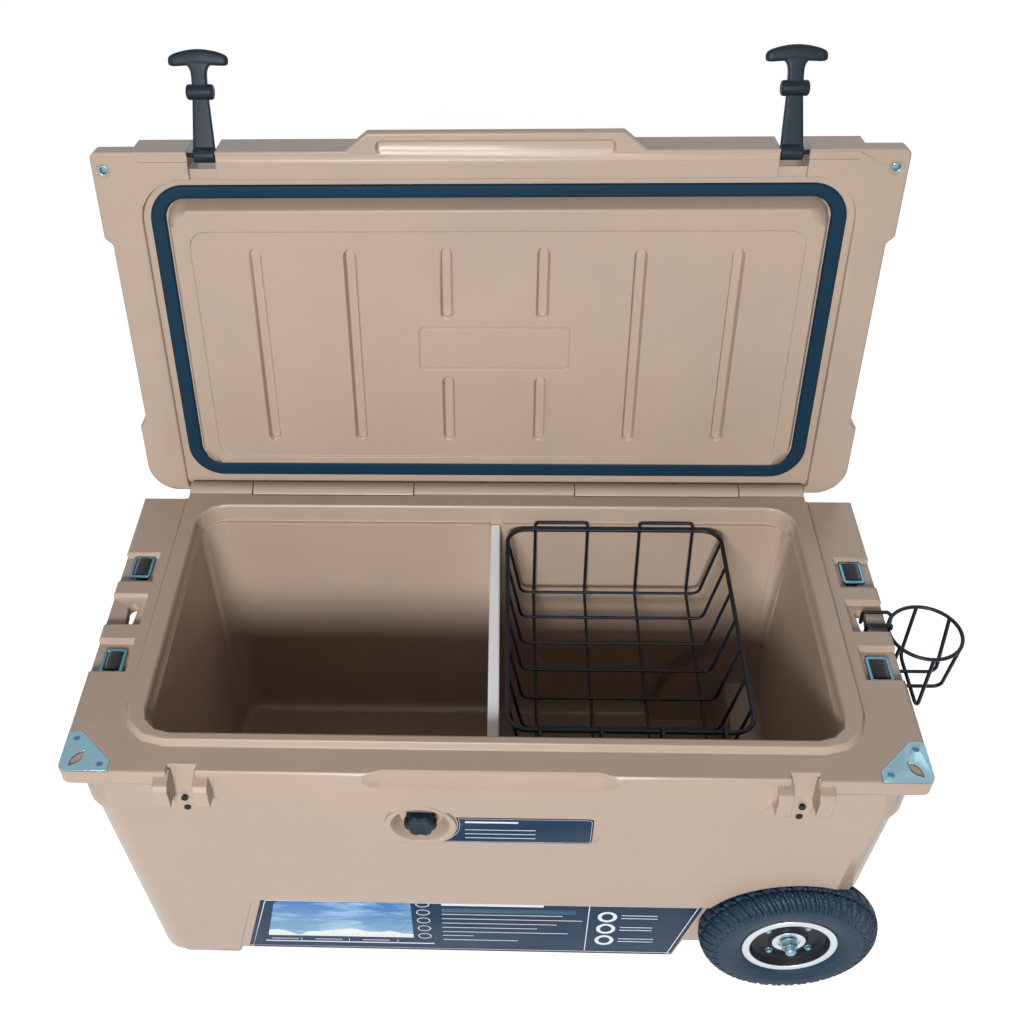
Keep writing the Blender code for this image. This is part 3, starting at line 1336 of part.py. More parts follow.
def make_plug():
    """The raised panel under the lid that fills the opening."""
    top = lid_base() + LID_RECESS_DEPTH * 2
    ramp = lid_base() + LID_RECESS_DEPTH
    low = lid_base() - PLUG_DEPTH
    edge = PLUG_SLOPE / 3
    outline = rounded_rectangle((-PLUG_HALF_LENGTH, PLUG_HALF_LENGTH), (-PLUG_FRONT, PLUG_BACK), PLUG_RADIUS)
    sloped = inset(outline, PLUG_SLOPE)
    rings = (
        [(u, v, low) for u, v in inset(sloped, edge)],
        [(u, v, low + edge) for u, v in sloped],
        [(u, v, ramp) for u, v in outline],
        [(u, v, top) for u, v in outline],
    )
    return loft("plug", rings)


def flute(centre_x, s_range, depth):
    """A round-ended groove in the lid's panel."""
    half = FLUTE_WIDTH / 2
    y_range = (lid_y(s_range[1]), lid_y(s_range[0]))
    low = lid_base() - PLUG_DEPTH
    outline = rounded_rectangle((centre_x - half, centre_x + half), y_range, half, 2)
    deep = inset(outline, depth / 2)
    wide = inset(outline, -depth / 4)
    rings = (
        [(u, v, low - depth / 2) for u, v in wide],
        [(u, v, low) for u, v in outline],
        [(u, v, low + depth) for u, v in deep],
    )
    return loft("flute", rings)


def make_panel_outline():
    """The fine rectangular groove in the middle of the lid's panel."""
    low = lid_base() - PLUG_DEPTH
    y_range = (lid_y(PANEL_OUTLINE_ENDS[1]), lid_y(PANEL_OUTLINE_ENDS[0]))
    x_range = (-PANEL_OUTLINE_HALF, PANEL_OUTLINE_HALF)
    outline = rounded_rectangle(x_range, y_range, PANEL_OUTLINE_RADIUS, 2)
    inner = inset(outline, PANEL_OUTLINE_DEPTH * 2)
    floor = low + PLUG_RECESS_DEPTH + PANEL_OUTLINE_DEPTH
    groove = prism("panel_outline", outline, "Z", low - PANEL_OUTLINE_DEPTH, floor)
    return cut(groove, prism("panel_middle", inner, "Z", low - CUT_OVERRUN, floor + CUT_OVERRUN))


def make_lip():
    """The tapered grip lip on the lid's front edge, hollowed underneath."""
    root = lid_y(LATCH_PIN_S)
    tip = -(LID_FRONT + LIP_REACH)
    base = -LID_FRONT
    outline = [
        (-LIP_BASE_HALF, root),
        (-LIP_BASE_HALF, base),
        (-LIP_TIP_HALF, tip),
        (LIP_TIP_HALF, tip),
        (LIP_BASE_HALF, base),
        (LIP_BASE_HALF, root),
    ]
    top = lid_base() + LIP_THICKNESS
    return slab("lip", outline, lid_base(), top, LID_BOTTOM_EDGE, LID_BOTTOM_EDGE * 2)


def make_lip_pocket():
    """The finger groove under the lip."""
    half = LIP_POCKET_HALF
    y_range = (lid_y(LIP_POCKET_END), lid_y(LIP_POCKET_START))
    radius = (LIP_POCKET_END - LIP_POCKET_START) / 3
    outline = rounded_rectangle((-half, half), y_range, radius, 2)
    base = lid_base()
    rings = (
        [(u, v, base - LIP_POCKET_DEPTH) for u, v in outline],
        [(u, v, base) for u, v in outline],
        [(u, v, base + LIP_POCKET_DEPTH) for u, v in inset(outline, radius / 2)],
    )
    return loft("lip_pocket", rings)


def make_rebate(x_range):
    """Room in the lid's back edge for the hinge rail."""
    radius = BARREL_RADIUS + BARREL_CLEARANCE
    axis_y, axis_z = HINGE_AXIS
    below = axis_z - CUT_OVERRUN
    outline = arc(HINGE_AXIS, radius, 180, 90, HINGE_STEPS)
    outline += [(axis_y + radius, axis_z + radius), (axis_y + radius, below), (axis_y - radius, below)]
    return prism("rebate", outline, "X", *x_range)


def make_lid_slot(side):
    """The slot through the lid that a latch hangs in, with its shallow lead-in."""
    centre = side * LATCH_OFFSET
    half = LID_SLOT_WIDTH / 2
    front = -LID_FRONT - CUT_OVERRUN
    low = lid_base() - CUT_OVERRUN
    high = lid_base() + LID_THICKNESS + CUT_OVERRUN
    slot = box("slot", (centre - half, centre + half), (front, lid_y(LID_SLOT_START)), (low, high))
    lead = (lid_y(LID_SLOT_START) - LATCH_BASE_RADIUS, lid_y(LID_CHANNEL_START))
    channel = box("channel", (centre - half, centre + half), lead, (low, lid_base() + LID_CHANNEL_DEPTH))
    return (slot, channel)


def lid_local(target):
    """Move a shut lid's piece so that the hinge axis is its origin."""
    target.data.transform(Matrix.Translation((0, -HINGE_AXIS[0], -HINGE_AXIS[1])))
    return target


def make_lid(look, frame):
    """The lid in one piece, with its hinge knuckles."""
    base = lid_base()
    lid = slab("lid", lid_outline(), base, base + LID_THICKNESS, LID_BOTTOM_EDGE, LID_TOP_EDGE)
    join(lid, make_lip())
    cut(lid, make_lid_recess())
    join(lid, make_plug())
    half = PLUG_RECESS_HALF_LENGTH
    y_range = (lid_y(PLUG_RECESS_END), lid_y(PLUG_RECESS_START))
    panel = rounded_rectangle((-half, half), y_range, PLUG_RECESS_RADIUS)
    low = base - PLUG_DEPTH
    cut(lid, prism("panel", panel, "Z", low - CUT_OVERRUN, low + PLUG_RECESS_DEPTH), make_panel_outline())
    depth = FLUTE_DEPTH + PLUG_RECESS_DEPTH
    for side in (-1, 1):
        for x in LONG_FLUTES:
            cut(lid, flute(side * x, LONG_FLUTE_ENDS, depth))
        for ends in SHORT_FLUTE_ENDS:
            cut(lid, flute(side * SHORT_FLUTE, ends, depth))
    y_range = (-LID_FRONT + LID_BOTTOM_EDGE * 2, lid_y(FRONT_CHANNEL_START))
    channel = rounded_rectangle((-LAND_HALF_LENGTH, LAND_HALF_LENGTH), y_range, FRONT_CHANNEL_RADIUS, 2)
    cut(lid, prism("front_channel", channel, "Z", base - CUT_OVERRUN, base + FRONT_CHANNEL_DEPTH))
    cut(lid, make_lip_pocket())
    knuckle_in = LID_KNUCKLE_INNER
    knuckle_out = LID_KNUCKLE_OUTER
    cut(lid, make_rebate((-knuckle_in, knuckle_in)))
    for side in (-1, 1):
        cut(lid, make_rebate((side * knuckle_out, side * REBATE_HALF_LENGTH)))
        knuckle = (side * knuckle_in, side * knuckle_out)
        join(lid, rod("barrel", HINGE_AXIS, BARREL_RADIUS, knuckle, HINGE_STEPS * 2))
        bore_ends = (side * (knuckle_in - CUT_OVERRUN), side * (knuckle_out + CUT_OVERRUN))
        cut(lid, rod("rod_bore", HINGE_AXIS, HINGE_ROD_RADIUS + RUNNING_GAP, bore_ends))
        cut(lid, *make_lid_slot(side))
        centre = side * LATCH_OFFSET
        reach = LID_SLOT_WIDTH / 2 + LATCH_PIN_ENGAGE + SEAT_GAP
        pin_centre = (lid_y(LATCH_PIN_S), base + LATCH_PIN_HEIGHT)
        cut(lid, rod("pin_bore", pin_centre, LATCH_PIN_RADIUS + SEAT_GAP, (centre - reach, centre + reach)))
        pad_x = (side * LID_PAD_INNER, side * (LID_HALF_LENGTH + CUT_OVERRUN))
        pad_y = (-LID_FRONT - CUT_OVERRUN, lid_y(LID_PAD_START))
        pad_z = (base + LID_PAD_THICKNESS, base + LID_THICKNESS + CUT_OVERRUN)
        cut(lid, box("pad_step", pad_x, pad_y, pad_z))
        lock_centre = (side * LID_LOCK_X, lid_y(LID_LOCK_S))
        lock = circle(lock_centre, LOCK_HOLE_RADIUS, PIN_SIDES)
        flange = circle(lock_centre, LOCK_BUSHING_FLANGE_RADIUS + SEAT_GAP, PIN_SIDES)
        cut(lid, prism("lock_hole", lock, "Z", base - CUT_OVERRUN, base + LID_THICKNESS))
        cut(lid, prism("lock_seat", flange, "Z", base - CUT_OVERRUN, base + LOCK_BUSHING_FLANGE))
    return finish(lid_local(lid), look, parent=frame)


def make_gasket(look, frame):
    """The flexible seal under the lid."""
    low = LAND_HEIGHT + SEAT_GAP
    high = lid_base() + LID_RECESS_DEPTH - SEAT_GAP
    outer_half = GASKET_OUTER_HALF_LENGTH
    inner_half = GASKET_INNER_HALF_LENGTH
    outer_y = (-GASKET_FRONT_OUTER, GASKET_BACK_OUTER)
    outer = rounded_rectangle((-outer_half, outer_half), outer_y, GASKET_RADIUS)
    width = outer_half - inner_half
    inner_y = (-GASKET_FRONT_INNER, GASKET_BACK_INNER)
    inner = rounded_rectangle((-inner_half, inner_half), inner_y, GASKET_RADIUS - width)
    rings = []
    for outline, height in (
        (outer, high),
        (outer, low + GASKET_EDGE),
        (inset(outer, GASKET_EDGE), low),
        (inset(inner, -GASKET_EDGE), low),
        (inner, low + GASKET_EDGE),
        (inner, high),
    ):
        rings.append([(u, v, height) for u, v in outline])
    return finish(lid_local(loft("gasket", rings, cyclic=True)), look, parent=frame)


def make_lock_bushing(name, side, look, frame):
    """The stainless bushing in one of the lid's lock holes."""
    base = lid_base()
    outer = LOCK_HOLE_RADIUS - SEAT_GAP
    inner = outer - LOCK_BUSHING_WALL
    flange = LOCK_BUSHING_FLANGE
    wide = LOCK_BUSHING_FLANGE_RADIUS
    top = base + LID_PAD_THICKNESS
    profile = (
        (inner, base),
        (wide, base),
        (wide, base + flange - SEAT_GAP),
        (outer, base + flange - SEAT_GAP),
        (outer, top),
        (inner, top),
    )
    centre = (side * LID_LOCK_X, lid_y(LID_LOCK_S), 0)
    bushing = lathe(name, profile, "Z", centre, PIN_SIDES)
    return finish(lid_local(bushing), look, parent=frame)


def pin_place():
    """Y and Z of the latch pins from the hinge axis, with the lid shut."""
    return (lid_y(LATCH_PIN_S) - HINGE_AXIS[0], lid_base() + LATCH_PIN_HEIGHT - HINGE_AXIS[1])


def make_latch_pin(name, side, look, frame):
    """The steel pin that a latch turns on."""
    reach = LID_SLOT_WIDTH / 2 + LATCH_PIN_ENGAGE
    centre = side * LATCH_OFFSET
    pin = rod(name, pin_place(), LATCH_PIN_RADIUS, (centre - reach, centre + reach))
    return finish(pin, look, parent=frame)


def make_latch(name, side, look, frame):
    """A one-piece rubber latch, lying forward along -Y from its pin."""
    base = LATCH_BASE_RADIUS
    strap = LATCH_STRAP_THICKNESS / 2
    latch = rod(name, (0, 0), base, (-LATCH_BASE_WIDTH / 2, LATCH_BASE_WIDTH / 2), LATCH_SIDES)
    barrel_y = -LATCH_BARREL_REACH
    strap_outline = [
        (-LATCH_STRAP_BASE / 2, 0),
        (-LATCH_STRAP_END / 2, barrel_y),
        (LATCH_STRAP_END / 2, barrel_y),
        (LATCH_STRAP_BASE / 2, 0),
    ]
    join(latch, prism("strap", strap_outline, "Z", -strap, strap))
    half = LATCH_BARREL_WIDTH / 2
    join(latch, rod("barrel", (barrel_y, 0), LATCH_BARREL_RADIUS, (-half, half), LATCH_SIDES))
    neck = LATCH_NECK_THICKNESS / 2
    neck_half = LATCH_NECK_WIDTH / 2
    grip_y = -LATCH_GRIP_REACH
    join(latch, box("neck", (-neck_half, neck_half), (grip_y, barrel_y), (-neck, neck)))
    height = LATCH_GRIP_HEIGHT / 2
    thick = LATCH_GRIP_THICKNESS / 2
    rings = []
    for share, shrink in LATCH_GRIP_SHARES:
        x = LATCH_GRIP_WIDTH / 2 * share
        lean = height * (1 - shrink)
        y_range = (grip_y + lean - height * shrink, grip_y + lean + height * shrink)
        outline = rounded_rectangle(y_range, (-thick * shrink, thick * shrink), thick * shrink, 3)
        rings.append([(x, u, v) for u, v in outline])
    join(latch, loft("grip", rings))
    cut(latch, rod("pin_bore", (0, 0), LATCH_PIN_RADIUS + RUNNING_GAP, (-LATCH_BASE_WIDTH, LATCH_BASE_WIDTH)))
    return finish(latch, look, parent=frame)


def make_hinge_rod(name, side, look):
    """One of the two rods on the hinge axis."""
    ends = (side * HINGE_ROD_INNER, side * HINGE_ROD_OUTER)
    return finish(rod(name, HINGE_AXIS, HINGE_ROD_RADIUS, ends), look)


def make_corner_plate(name, side, look):
    """A stainless corner plate with its lock hole and two countersinks."""
    low = RIM_HEIGHT - PLATE_THICKNESS + SEAT_GAP
    plate = prism(name, plate_outline(side), "Z", low, RIM_HEIGHT)
    cut(plate, lens(side, low - CUT_OVERRUN, RIM_HEIGHT + CUT_OVERRUN))
    for x, y in PLATE_SCREWS:
        shank = PLATE_SCREW_SHANK + SEAT_GAP
        head = PLATE_SCREW_RADIUS + SEAT_GAP
        seat = RIM_HEIGHT - PLATE_SCREW_HEAD / 2
        profile = ((shank, low - CUT_OVERRUN), (shank, seat), (head, seat + SEAT_GAP))
        profile += ((head, RIM_HEIGHT + CUT_OVERRUN),)
        cut(plate, drum("countersink", profile, "Z", (side * x, -y, 0), SCREW_SIDES))
    return finish(plate, look)


def make_plate_screw(name, side, place_xy, look):
    """A domed screw through a corner plate."""
    x, y = place_xy
    seat = RIM_HEIGHT - PLATE_SCREW_HEAD / 2 + SEAT_GAP * 2
    end = RIM_HEIGHT - PLATE_THICKNESS - PLATE_SCREW_LENGTH + SEAT_GAP
    top = seat + PLATE_SCREW_HEAD
    profile = (
        (PLATE_SCREW_SHANK / 2, end),
        (PLATE_SCREW_SHANK, end + PLATE_SCREW_SHANK / 2),
        (PLATE_SCREW_SHANK, seat),
        (PLATE_SCREW_RADIUS, seat),
        (PLATE_SCREW_RADIUS, seat + PLATE_SCREW_HEAD / 3),
        (PLATE_SCREW_RADIUS * 2 / 3, top),
    )
    return finish(drum(name, profile, "Z", (side * x, -y, 0), SCREW_SIDES), look)


def make_keeper_screw(name, side, height, look):
    """A black screw on the wall under a keeper."""
    wall = -wall_half_depth(height)
    draft = SIDE_DRAFT_SHARE * KEEPER_SCREW_RADIUS
    back = wall - SEAT_GAP - draft
    profile = (
        (KEEPER_SCREW_RADIUS * 2 / 3, back - KEEPER_SCREW_HEAD),
        (KEEPER_SCREW_RADIUS, back - KEEPER_SCREW_HEAD / 2),
        (KEEPER_SCREW_RADIUS, back),
        (KEEPER_SCREW_SHANK, back),
        (KEEPER_SCREW_SHANK, wall + KEEPER_SCREW_LENGTH - SEAT_GAP),
    )
    centre = (side * (LATCH_OFFSET + KEEPER_SCREW_OFFSET), 0, height)
    return finish(drum(name, profile, "Y", centre, SCREW_SIDES), look)


def ring_bottom():
    """Height of the underside of a strap ring."""
    return RIM_HEIGHT - END_RECESS_DEPTH + SEAT_GAP


def make_strap_ring(name, side, centre, look):
    """A stainless frame with a cross bar that a strap loops over."""
    low = ring_bottom()
    high = low + RING_THICKNESS
    x_range = (side * RING_INNER, side * RING_OUTER)
    x_range = (min(x_range), max(x_range))
    y_range = (centre - RING_HALF_LENGTH, centre + RING_HALF_LENGTH)
    ring = prism(name, rounded_rectangle(x_range, y_range, RING_CORNER_RADIUS, 3), "Z", low, high)
    middle = (RING_INNER + RING_OUTER) / 2
    bar = RING_BAR / 2
    reach = RING_HALF_LENGTH - RING_BAND
    heights = (low - CUT_OVERRUN, high + CUT_OVERRUN)
    for inner, outer in ((RING_INNER + RING_BAND, middle - bar), (middle + bar, RING_OUTER - RING_BAND)):
        cut(ring, box("window", (side * inner, side * outer), (centre - reach, centre + reach), heights))
    return finish(ring, look)


def make_strap_anchor(name, side, centre, look):
    """Webbing sewn in a loop round a ring's cross bar, ending in the rim's slot."""
    middle = (RING_INNER + RING_OUTER) / 2
    bar = RING_BAR / 2 + SEAT_GAP
    thick = WEBBING_THICKNESS
    over = ring_bottom() + RING_THICKNESS + SEAT_GAP
    low = HANDLE_PIVOT + thick + SEAT_GAP
    outer = bar + thick
    outline = [
        (middle - outer, low),
        (middle + outer, low),
        (middle + outer, over + thick / 2),
        (middle + bar, over + thick),
        (middle - bar, over + thick),
        (middle - outer, over + thick / 2),
    ]
    y_range = (centre - WEBBING_HALF_WIDTH, centre + WEBBING_HALF_WIDTH)
    anchor = prism(name, handed(outline, side), "Y", *y_range)
    hole_y = (y_range[0] - CUT_OVERRUN, y_range[1] + CUT_OVERRUN)
    cut(anchor, box("hole", (side * (middle - bar), side * (middle + bar)), hole_y, (low + thick, over)))
    return finish(anchor, look)


def make_strap_loop(name, side, centre, look, frame):
    """Webbing from the pocket's roof down round the grip's neck."""
    thick = WEBBING_THICKNESS
    neck = GRIP_NECK_RADIUS + SEAT_GAP
    outline = arc((0, 0), thick, 180, 0, 4)
    bottom = -HANDLE_DROP
    outline += [(thick, bottom + neck + thick * 3)]
    outline += arc((0, bottom), neck + thick, 60, -240, GRIP_SIDES)
    outline += [(-thick, bottom + neck + thick * 3)]
    half = WEBBING_HALF_WIDTH
    loop = prism(name, outline[::-1], "Y", centre - half, centre + half)
    cut(loop, prism("neck", circle((0, bottom), neck, GRIP_SIDES), "Y", centre - half * 2, centre + half * 2))
    return finish(loop, look, parent=frame)


def make_grip(name, look, frame):
    """The round ribbed grip between the two straps."""
    front = END_RECESS_CENTRES[2]
    back = END_RECESS_CENTRES[0]
    middle = (front + back) / 2
    half = GRIP_HALF_LENGTH
    neck_end = (back - front) / 2 + WEBBING_HALF_WIDTH + GRIP_END_LENGTH
    neck = GRIP_NECK_RADIUS
    flange = -neck_end + GRIP_END_LENGTH - SEAT_GAP
    profile = [(neck + neck / 2, -neck_end), (neck + neck / 2, flange), (neck, flange), (neck, -half)]
    profile += [(GRIP_RADIUS - GRIP_END_LENGTH / 2, -half), (GRIP_RADIUS, -half + GRIP_END_LENGTH)]
    span = (half - GRIP_END_LENGTH) * 2
    pitch = span / GRIP_RIBS
    for rib in range(1, GRIP_RIBS):
        here = -half + GRIP_END_LENGTH + pitch * rib
        profile += [(GRIP_RADIUS, here - pitch / 4), (GRIP_RADIUS - GRIP_RIB_DEPTH, here)]
        profile += [(GRIP_RADIUS, here + pitch / 4)]
    profile += [(radius, -along) for radius, along in profile[5::-1]]
    grip = drum(name, profile, "Y", (0, middle, -HANDLE_DROP), GRIP_SIDES)
    return finish(grip, look, parent=frame)


def make_vent_seat(look):
    """The black seat in the bottom of the vent bowl."""
    x, z = VENT_CENTRE
    floor = vent_floor()
    face = floor - SEAT_GAP - VENT_SEAT_THICKNESS
    outer = VENT_SOCKET_RADIUS
    inner = outer - VENT_SOCKET_WALL
    deep = floor + VENT_SOCKET_DEPTH - SEAT_GAP
    profile = (
        (inner, face),
        (VENT_SEAT_RADIUS - VENT_SEAT_THICKNESS / 2, face),
        (VENT_SEAT_RADIUS, face + VENT_SEAT_THICKNESS / 2),
        (VENT_SEAT_RADIUS, floor - SEAT_GAP),
        (outer, floor - SEAT_GAP),
        (outer, deep),
        (inner, deep),
    )
    return finish(lathe("vent_seat", profile, "Y", (x, 0, z), VENT_SIDES), look)


def make_vent_button(look):
    """The lobed knob that is pressed to let air in."""
    x, z = VENT_CENTRE
    back = vent_floor() - SEAT_GAP - VENT_SEAT_THICKNESS - KNOB_TRAVEL - SEAT_GAP
    front = back - KNOB_THICKNESS
    rings = []
    edge = KNOB_EDGE
    for along, shrink in ((front, edge * 2), (front + edge / 2, edge), (front + edge * 2, 0), (back, 0)):
        ring = []
        for step in range(VENT_SIDES):
            angle = math.tau * step / VENT_SIDES
            waist = KNOB_LOBE_SHARE * math.sin(KNOB_LOBES * angle / 2) ** 2
            radius = KNOB_RADIUS * (1 - waist) - shrink
            ring.append((radius * math.cos(angle), along - back, radius * math.sin(angle)))
        rings.append(ring)
    knob = loft("vent_button", rings)
    stem = circle((0, 0), VENT_SOCKET_RADIUS - VENT_SOCKET_WALL - SEAT_GAP, VENT_SIDES)
    join(knob, prism("stem", stem, "Y", -KNOB_EDGE, KNOB_STEM_LENGTH))
    knob.location = (x, back, z)
    return finish(knob, look)


def wheel_profile_tyre():
    """Radius, offset and groove share round the tyre's section."""
    half = WHEEL_WIDTH / 2
    bead = RIM_LIP_OFFSET - RIM_LIP_THICKNESS - SEAT_GAP
    outer = WHEEL_RADIUS
    inner = RIM_BARREL_RADIUS + TYRE_BEAD_GAP
    wall = (outer + inner) / 2
    shoulder = outer - half / 3
    half_profile = [
        (inner, bead, 0),
        (RIM_LIP_RADIUS + TYRE_BEAD_GAP, bead, 0),
        (wall, half, 0),
        (shoulder, half * SHOULDER_SHARE, 1),
        (outer, half * CROWN_SHARE, 1),
    ]
    return half_profile + [(radius, -offset, share) for radius, offset, share in reversed(half_profile)]


def make_tyre(name, look, frame):
    """A tyre whose tread blocks point along its turn in the middle."""
    profile = wheel_profile_tyre()
    rings = []
    for block in range(TYRE_BLOCKS):
        for number, share in enumerate(BLOCK_EDGE_SHARES):
            raised = number in (1, 2)
            angle = math.tau * (block + share) / TYRE_BLOCKS
            stagger = math.tau * 0.5 / TYRE_BLOCKS
            ring = []
            for radius, offset, groove in profile:
                turn = angle + stagger * groove * math.sin(math.pi * abs(offset) / WHEEL_WIDTH)
                depth = 0 if raised else TYRE_GROOVE_DEPTH * groove
                ring.append(((radius - depth) * math.cos(turn), offset, (radius - depth) * math.sin(turn)))
            rings.append(ring)
    return finish(loft(name, rings, cyclic=True), look, 24, parent=frame)


def make_rim_half(name, side, look, frame):
    """One silver half of a split rim; side is +1 on the wheel's outer face."""
    lip = RIM_LIP_OFFSET
    profile = (
        (RIM_BARREL_RADIUS - RIM_WALL, side * SEAT_GAP),
        (RIM_BARREL_RADIUS, side * SEAT_GAP),
        (RIM_BARREL_RADIUS, side * (lip - RIM_LIP_THICKNESS)),
        (RIM_LIP_RADIUS, side * (lip - RIM_LIP_THICKNESS)),
        (RIM_LIP_RADIUS - RIM_LIP_THICKNESS / 3, side * lip),
        (RIM_BARREL_RADIUS - RIM_WALL, side * (lip - RIM_LIP_THICKNESS / 2)),
    )
    return finish(lathe(name, profile, "Y", (0, 0, 0), RIM_SIDES), look, parent=frame)


def make_hub_disc(name, side, look, frame):
    """The dished disc that carries the rim, with its bolts."""
    outer = RIM_BARREL_RADIUS - RIM_WALL - SEAT_GAP
    bore = SLEEVE_RADIUS + SEAT_GAP
    thick = DISC_THICKNESS
    face = DISC_OFFSET
    dish = DISC_DISH
    profile = (
        (bore, side * (face - thick)),
        (DISC_HUB_RADIUS, side * (face - thick)),
        (BOLT_CIRCLE - BOLT_RADIUS * 2, side * (face - dish - thick)),
        (outer, side * (face - dish - thick)),
        (outer, side * (face - dish / 2)),
        (BOLT_CIRCLE + BOLT_RADIUS * 2, side * (face - dish)),
        (BOLT_CIRCLE - BOLT_RADIUS * 2, side * (face - dish)),
        (DISC_HUB_RADIUS, side * face),
        (bore, side * face),
    )
    disc = lathe(name, profile, "Y", (0, 0, 0), RIM_SIDES)
    low = face - dish - thick / 2
    for bolt in range(WHEEL_BOLTS):
        angle = math.tau * (bolt + 0.5) / WHEEL_BOLTS
        centre = (BOLT_CIRCLE * math.cos(angle), BOLT_CIRCLE * math.sin(angle))
        head = circle(centre, BOLT_RADIUS, 6)
        join(disc, prism("bolt", head, "Y", side * low, side * (low + thick / 2 + BOLT_HEIGHT)))
    return finish(disc, look, parent=frame)


def make_hub_sleeve(name, side, look, frame):
    """The bearing sleeve that turns on the axle."""
    inner_end = WHEEL_CENTRE[1] - WELL_INNER_WALL - SEAT_GAP * 2
    outer_end = SLEEVE_OUTER_END - WHEEL_CENTRE[1]
    bore = AXLE_RADIUS + RUNNING_GAP
    flange = SLEEVE_FLANGE_RADIUS
    step = DISC_OFFSET + SEAT_GAP
    profile = (
        (bore, -side * inner_end),
        (SLEEVE_RADIUS, -side * inner_end),
        (SLEEVE_RADIUS, side * step),
        (flange, side * step),
        (flange, side * outer_end),
        (bore, side * outer_end),
    )
    return finish(lathe(name, profile, "Y", (0, 0, 0), SLEEVE_SIDES), look, parent=frame)


def make_axle(look):
    """The fixed axle across the tub."""
    x, _, z = WHEEL_CENTRE
    edge = AXLE_RADIUS / 4
    reach = AXLE_HALF_LENGTH
    narrow = AXLE_RADIUS - edge
    profile = ((narrow, -reach), (AXLE_RADIUS, edge - reach), (AXLE_RADIUS, reach - edge), (narrow, reach))
    return finish(drum("axle", profile, "Y", (x, 0, z), PIN_SIDES), look)


def make_axle_nut(name, side, look):
    """A flanged hexagon nut on an end of the axle."""
    x, _, z = WHEEL_CENTRE
    start = SLEEVE_OUTER_END + SEAT_GAP
    step = start + NUT_FLANGE_THICKNESS
    flange = circle((x, z), NUT_FLANGE_RADIUS, SLEEVE_SIDES)
    flange = prism(name, flange, "Y", side * start, side * step)
    hexagon = circle((x, z), NUT_RADIUS, 6)
    join(flange, prism("hexagon", hexagon, "Y", side * (start + step) / 2, side * (start + NUT_THICKNESS)))
    bore = circle((x, z), AXLE_RADIUS + SEAT_GAP, PIN_SIDES)
    cut(flange, prism("bore", bore, "Y", side * (start - CUT_OVERRUN), side * (start + CUT_OVERRUN)))
    return finish(flange, look)


def groove_half_depth(height, play=0):
    """Half depth of the divider's groove at a height."""
    return cavity_half_depth(height) + DIVIDER_GROOVE_DEPTH - play


def make_divider_grooves():
    """The slot across the tub that the divider slides down."""
    low = FLOOR_HEIGHT + FLOOR_EDGE_RADIUS
    high = LEDGE_HEIGHT
    x_range = (DIVIDER_X[0] - DIVIDER_PLAY, DIVIDER_X[1] + DIVIDER_PLAY)
    outline = [
        (-groove_half_depth(low), low),
        (groove_half_depth(low), low),
        (groove_half_depth(high), high),
        (groove_half_depth(high), high + LEDGE_WIDTH),
        (-groove_half_depth(high), high + LEDGE_WIDTH),
        (-groove_half_depth(high), high),
    ]
    return prism("divider_groove", outline, "X", *x_range)


def make_divider(look):
    """The white board that stands in the grooves."""
    low = FLOOR_HEIGHT + FLOOR_EDGE_RADIUS + SEAT_GAP
    floor = FLOOR_HEIGHT + SEAT_GAP
    inner = CAVITY_FLOOR_HALF_DEPTH - FLOOR_EDGE_RADIUS
    high = DIVIDER_TOP
    play = DIVIDER_PLAY
    outline = [
        (-inner, floor),
        (inner, floor),
        (groove_half_depth(low, play) - FLOOR_EDGE_RADIUS / 2, low),
        (groove_half_depth(low, play), low + FLOOR_EDGE_RADIUS / 2),
        (groove_half_depth(high, play), high),
        (-groove_half_depth(high, play), high),
        (-groove_half_depth(low, play), low + FLOOR_EDGE_RADIUS / 2),
        (FLOOR_EDGE_RADIUS / 2 - groove_half_depth(low, play), low),
    ]
    return finish(prism("divider", outline, "X", *DIVIDER_X), look)


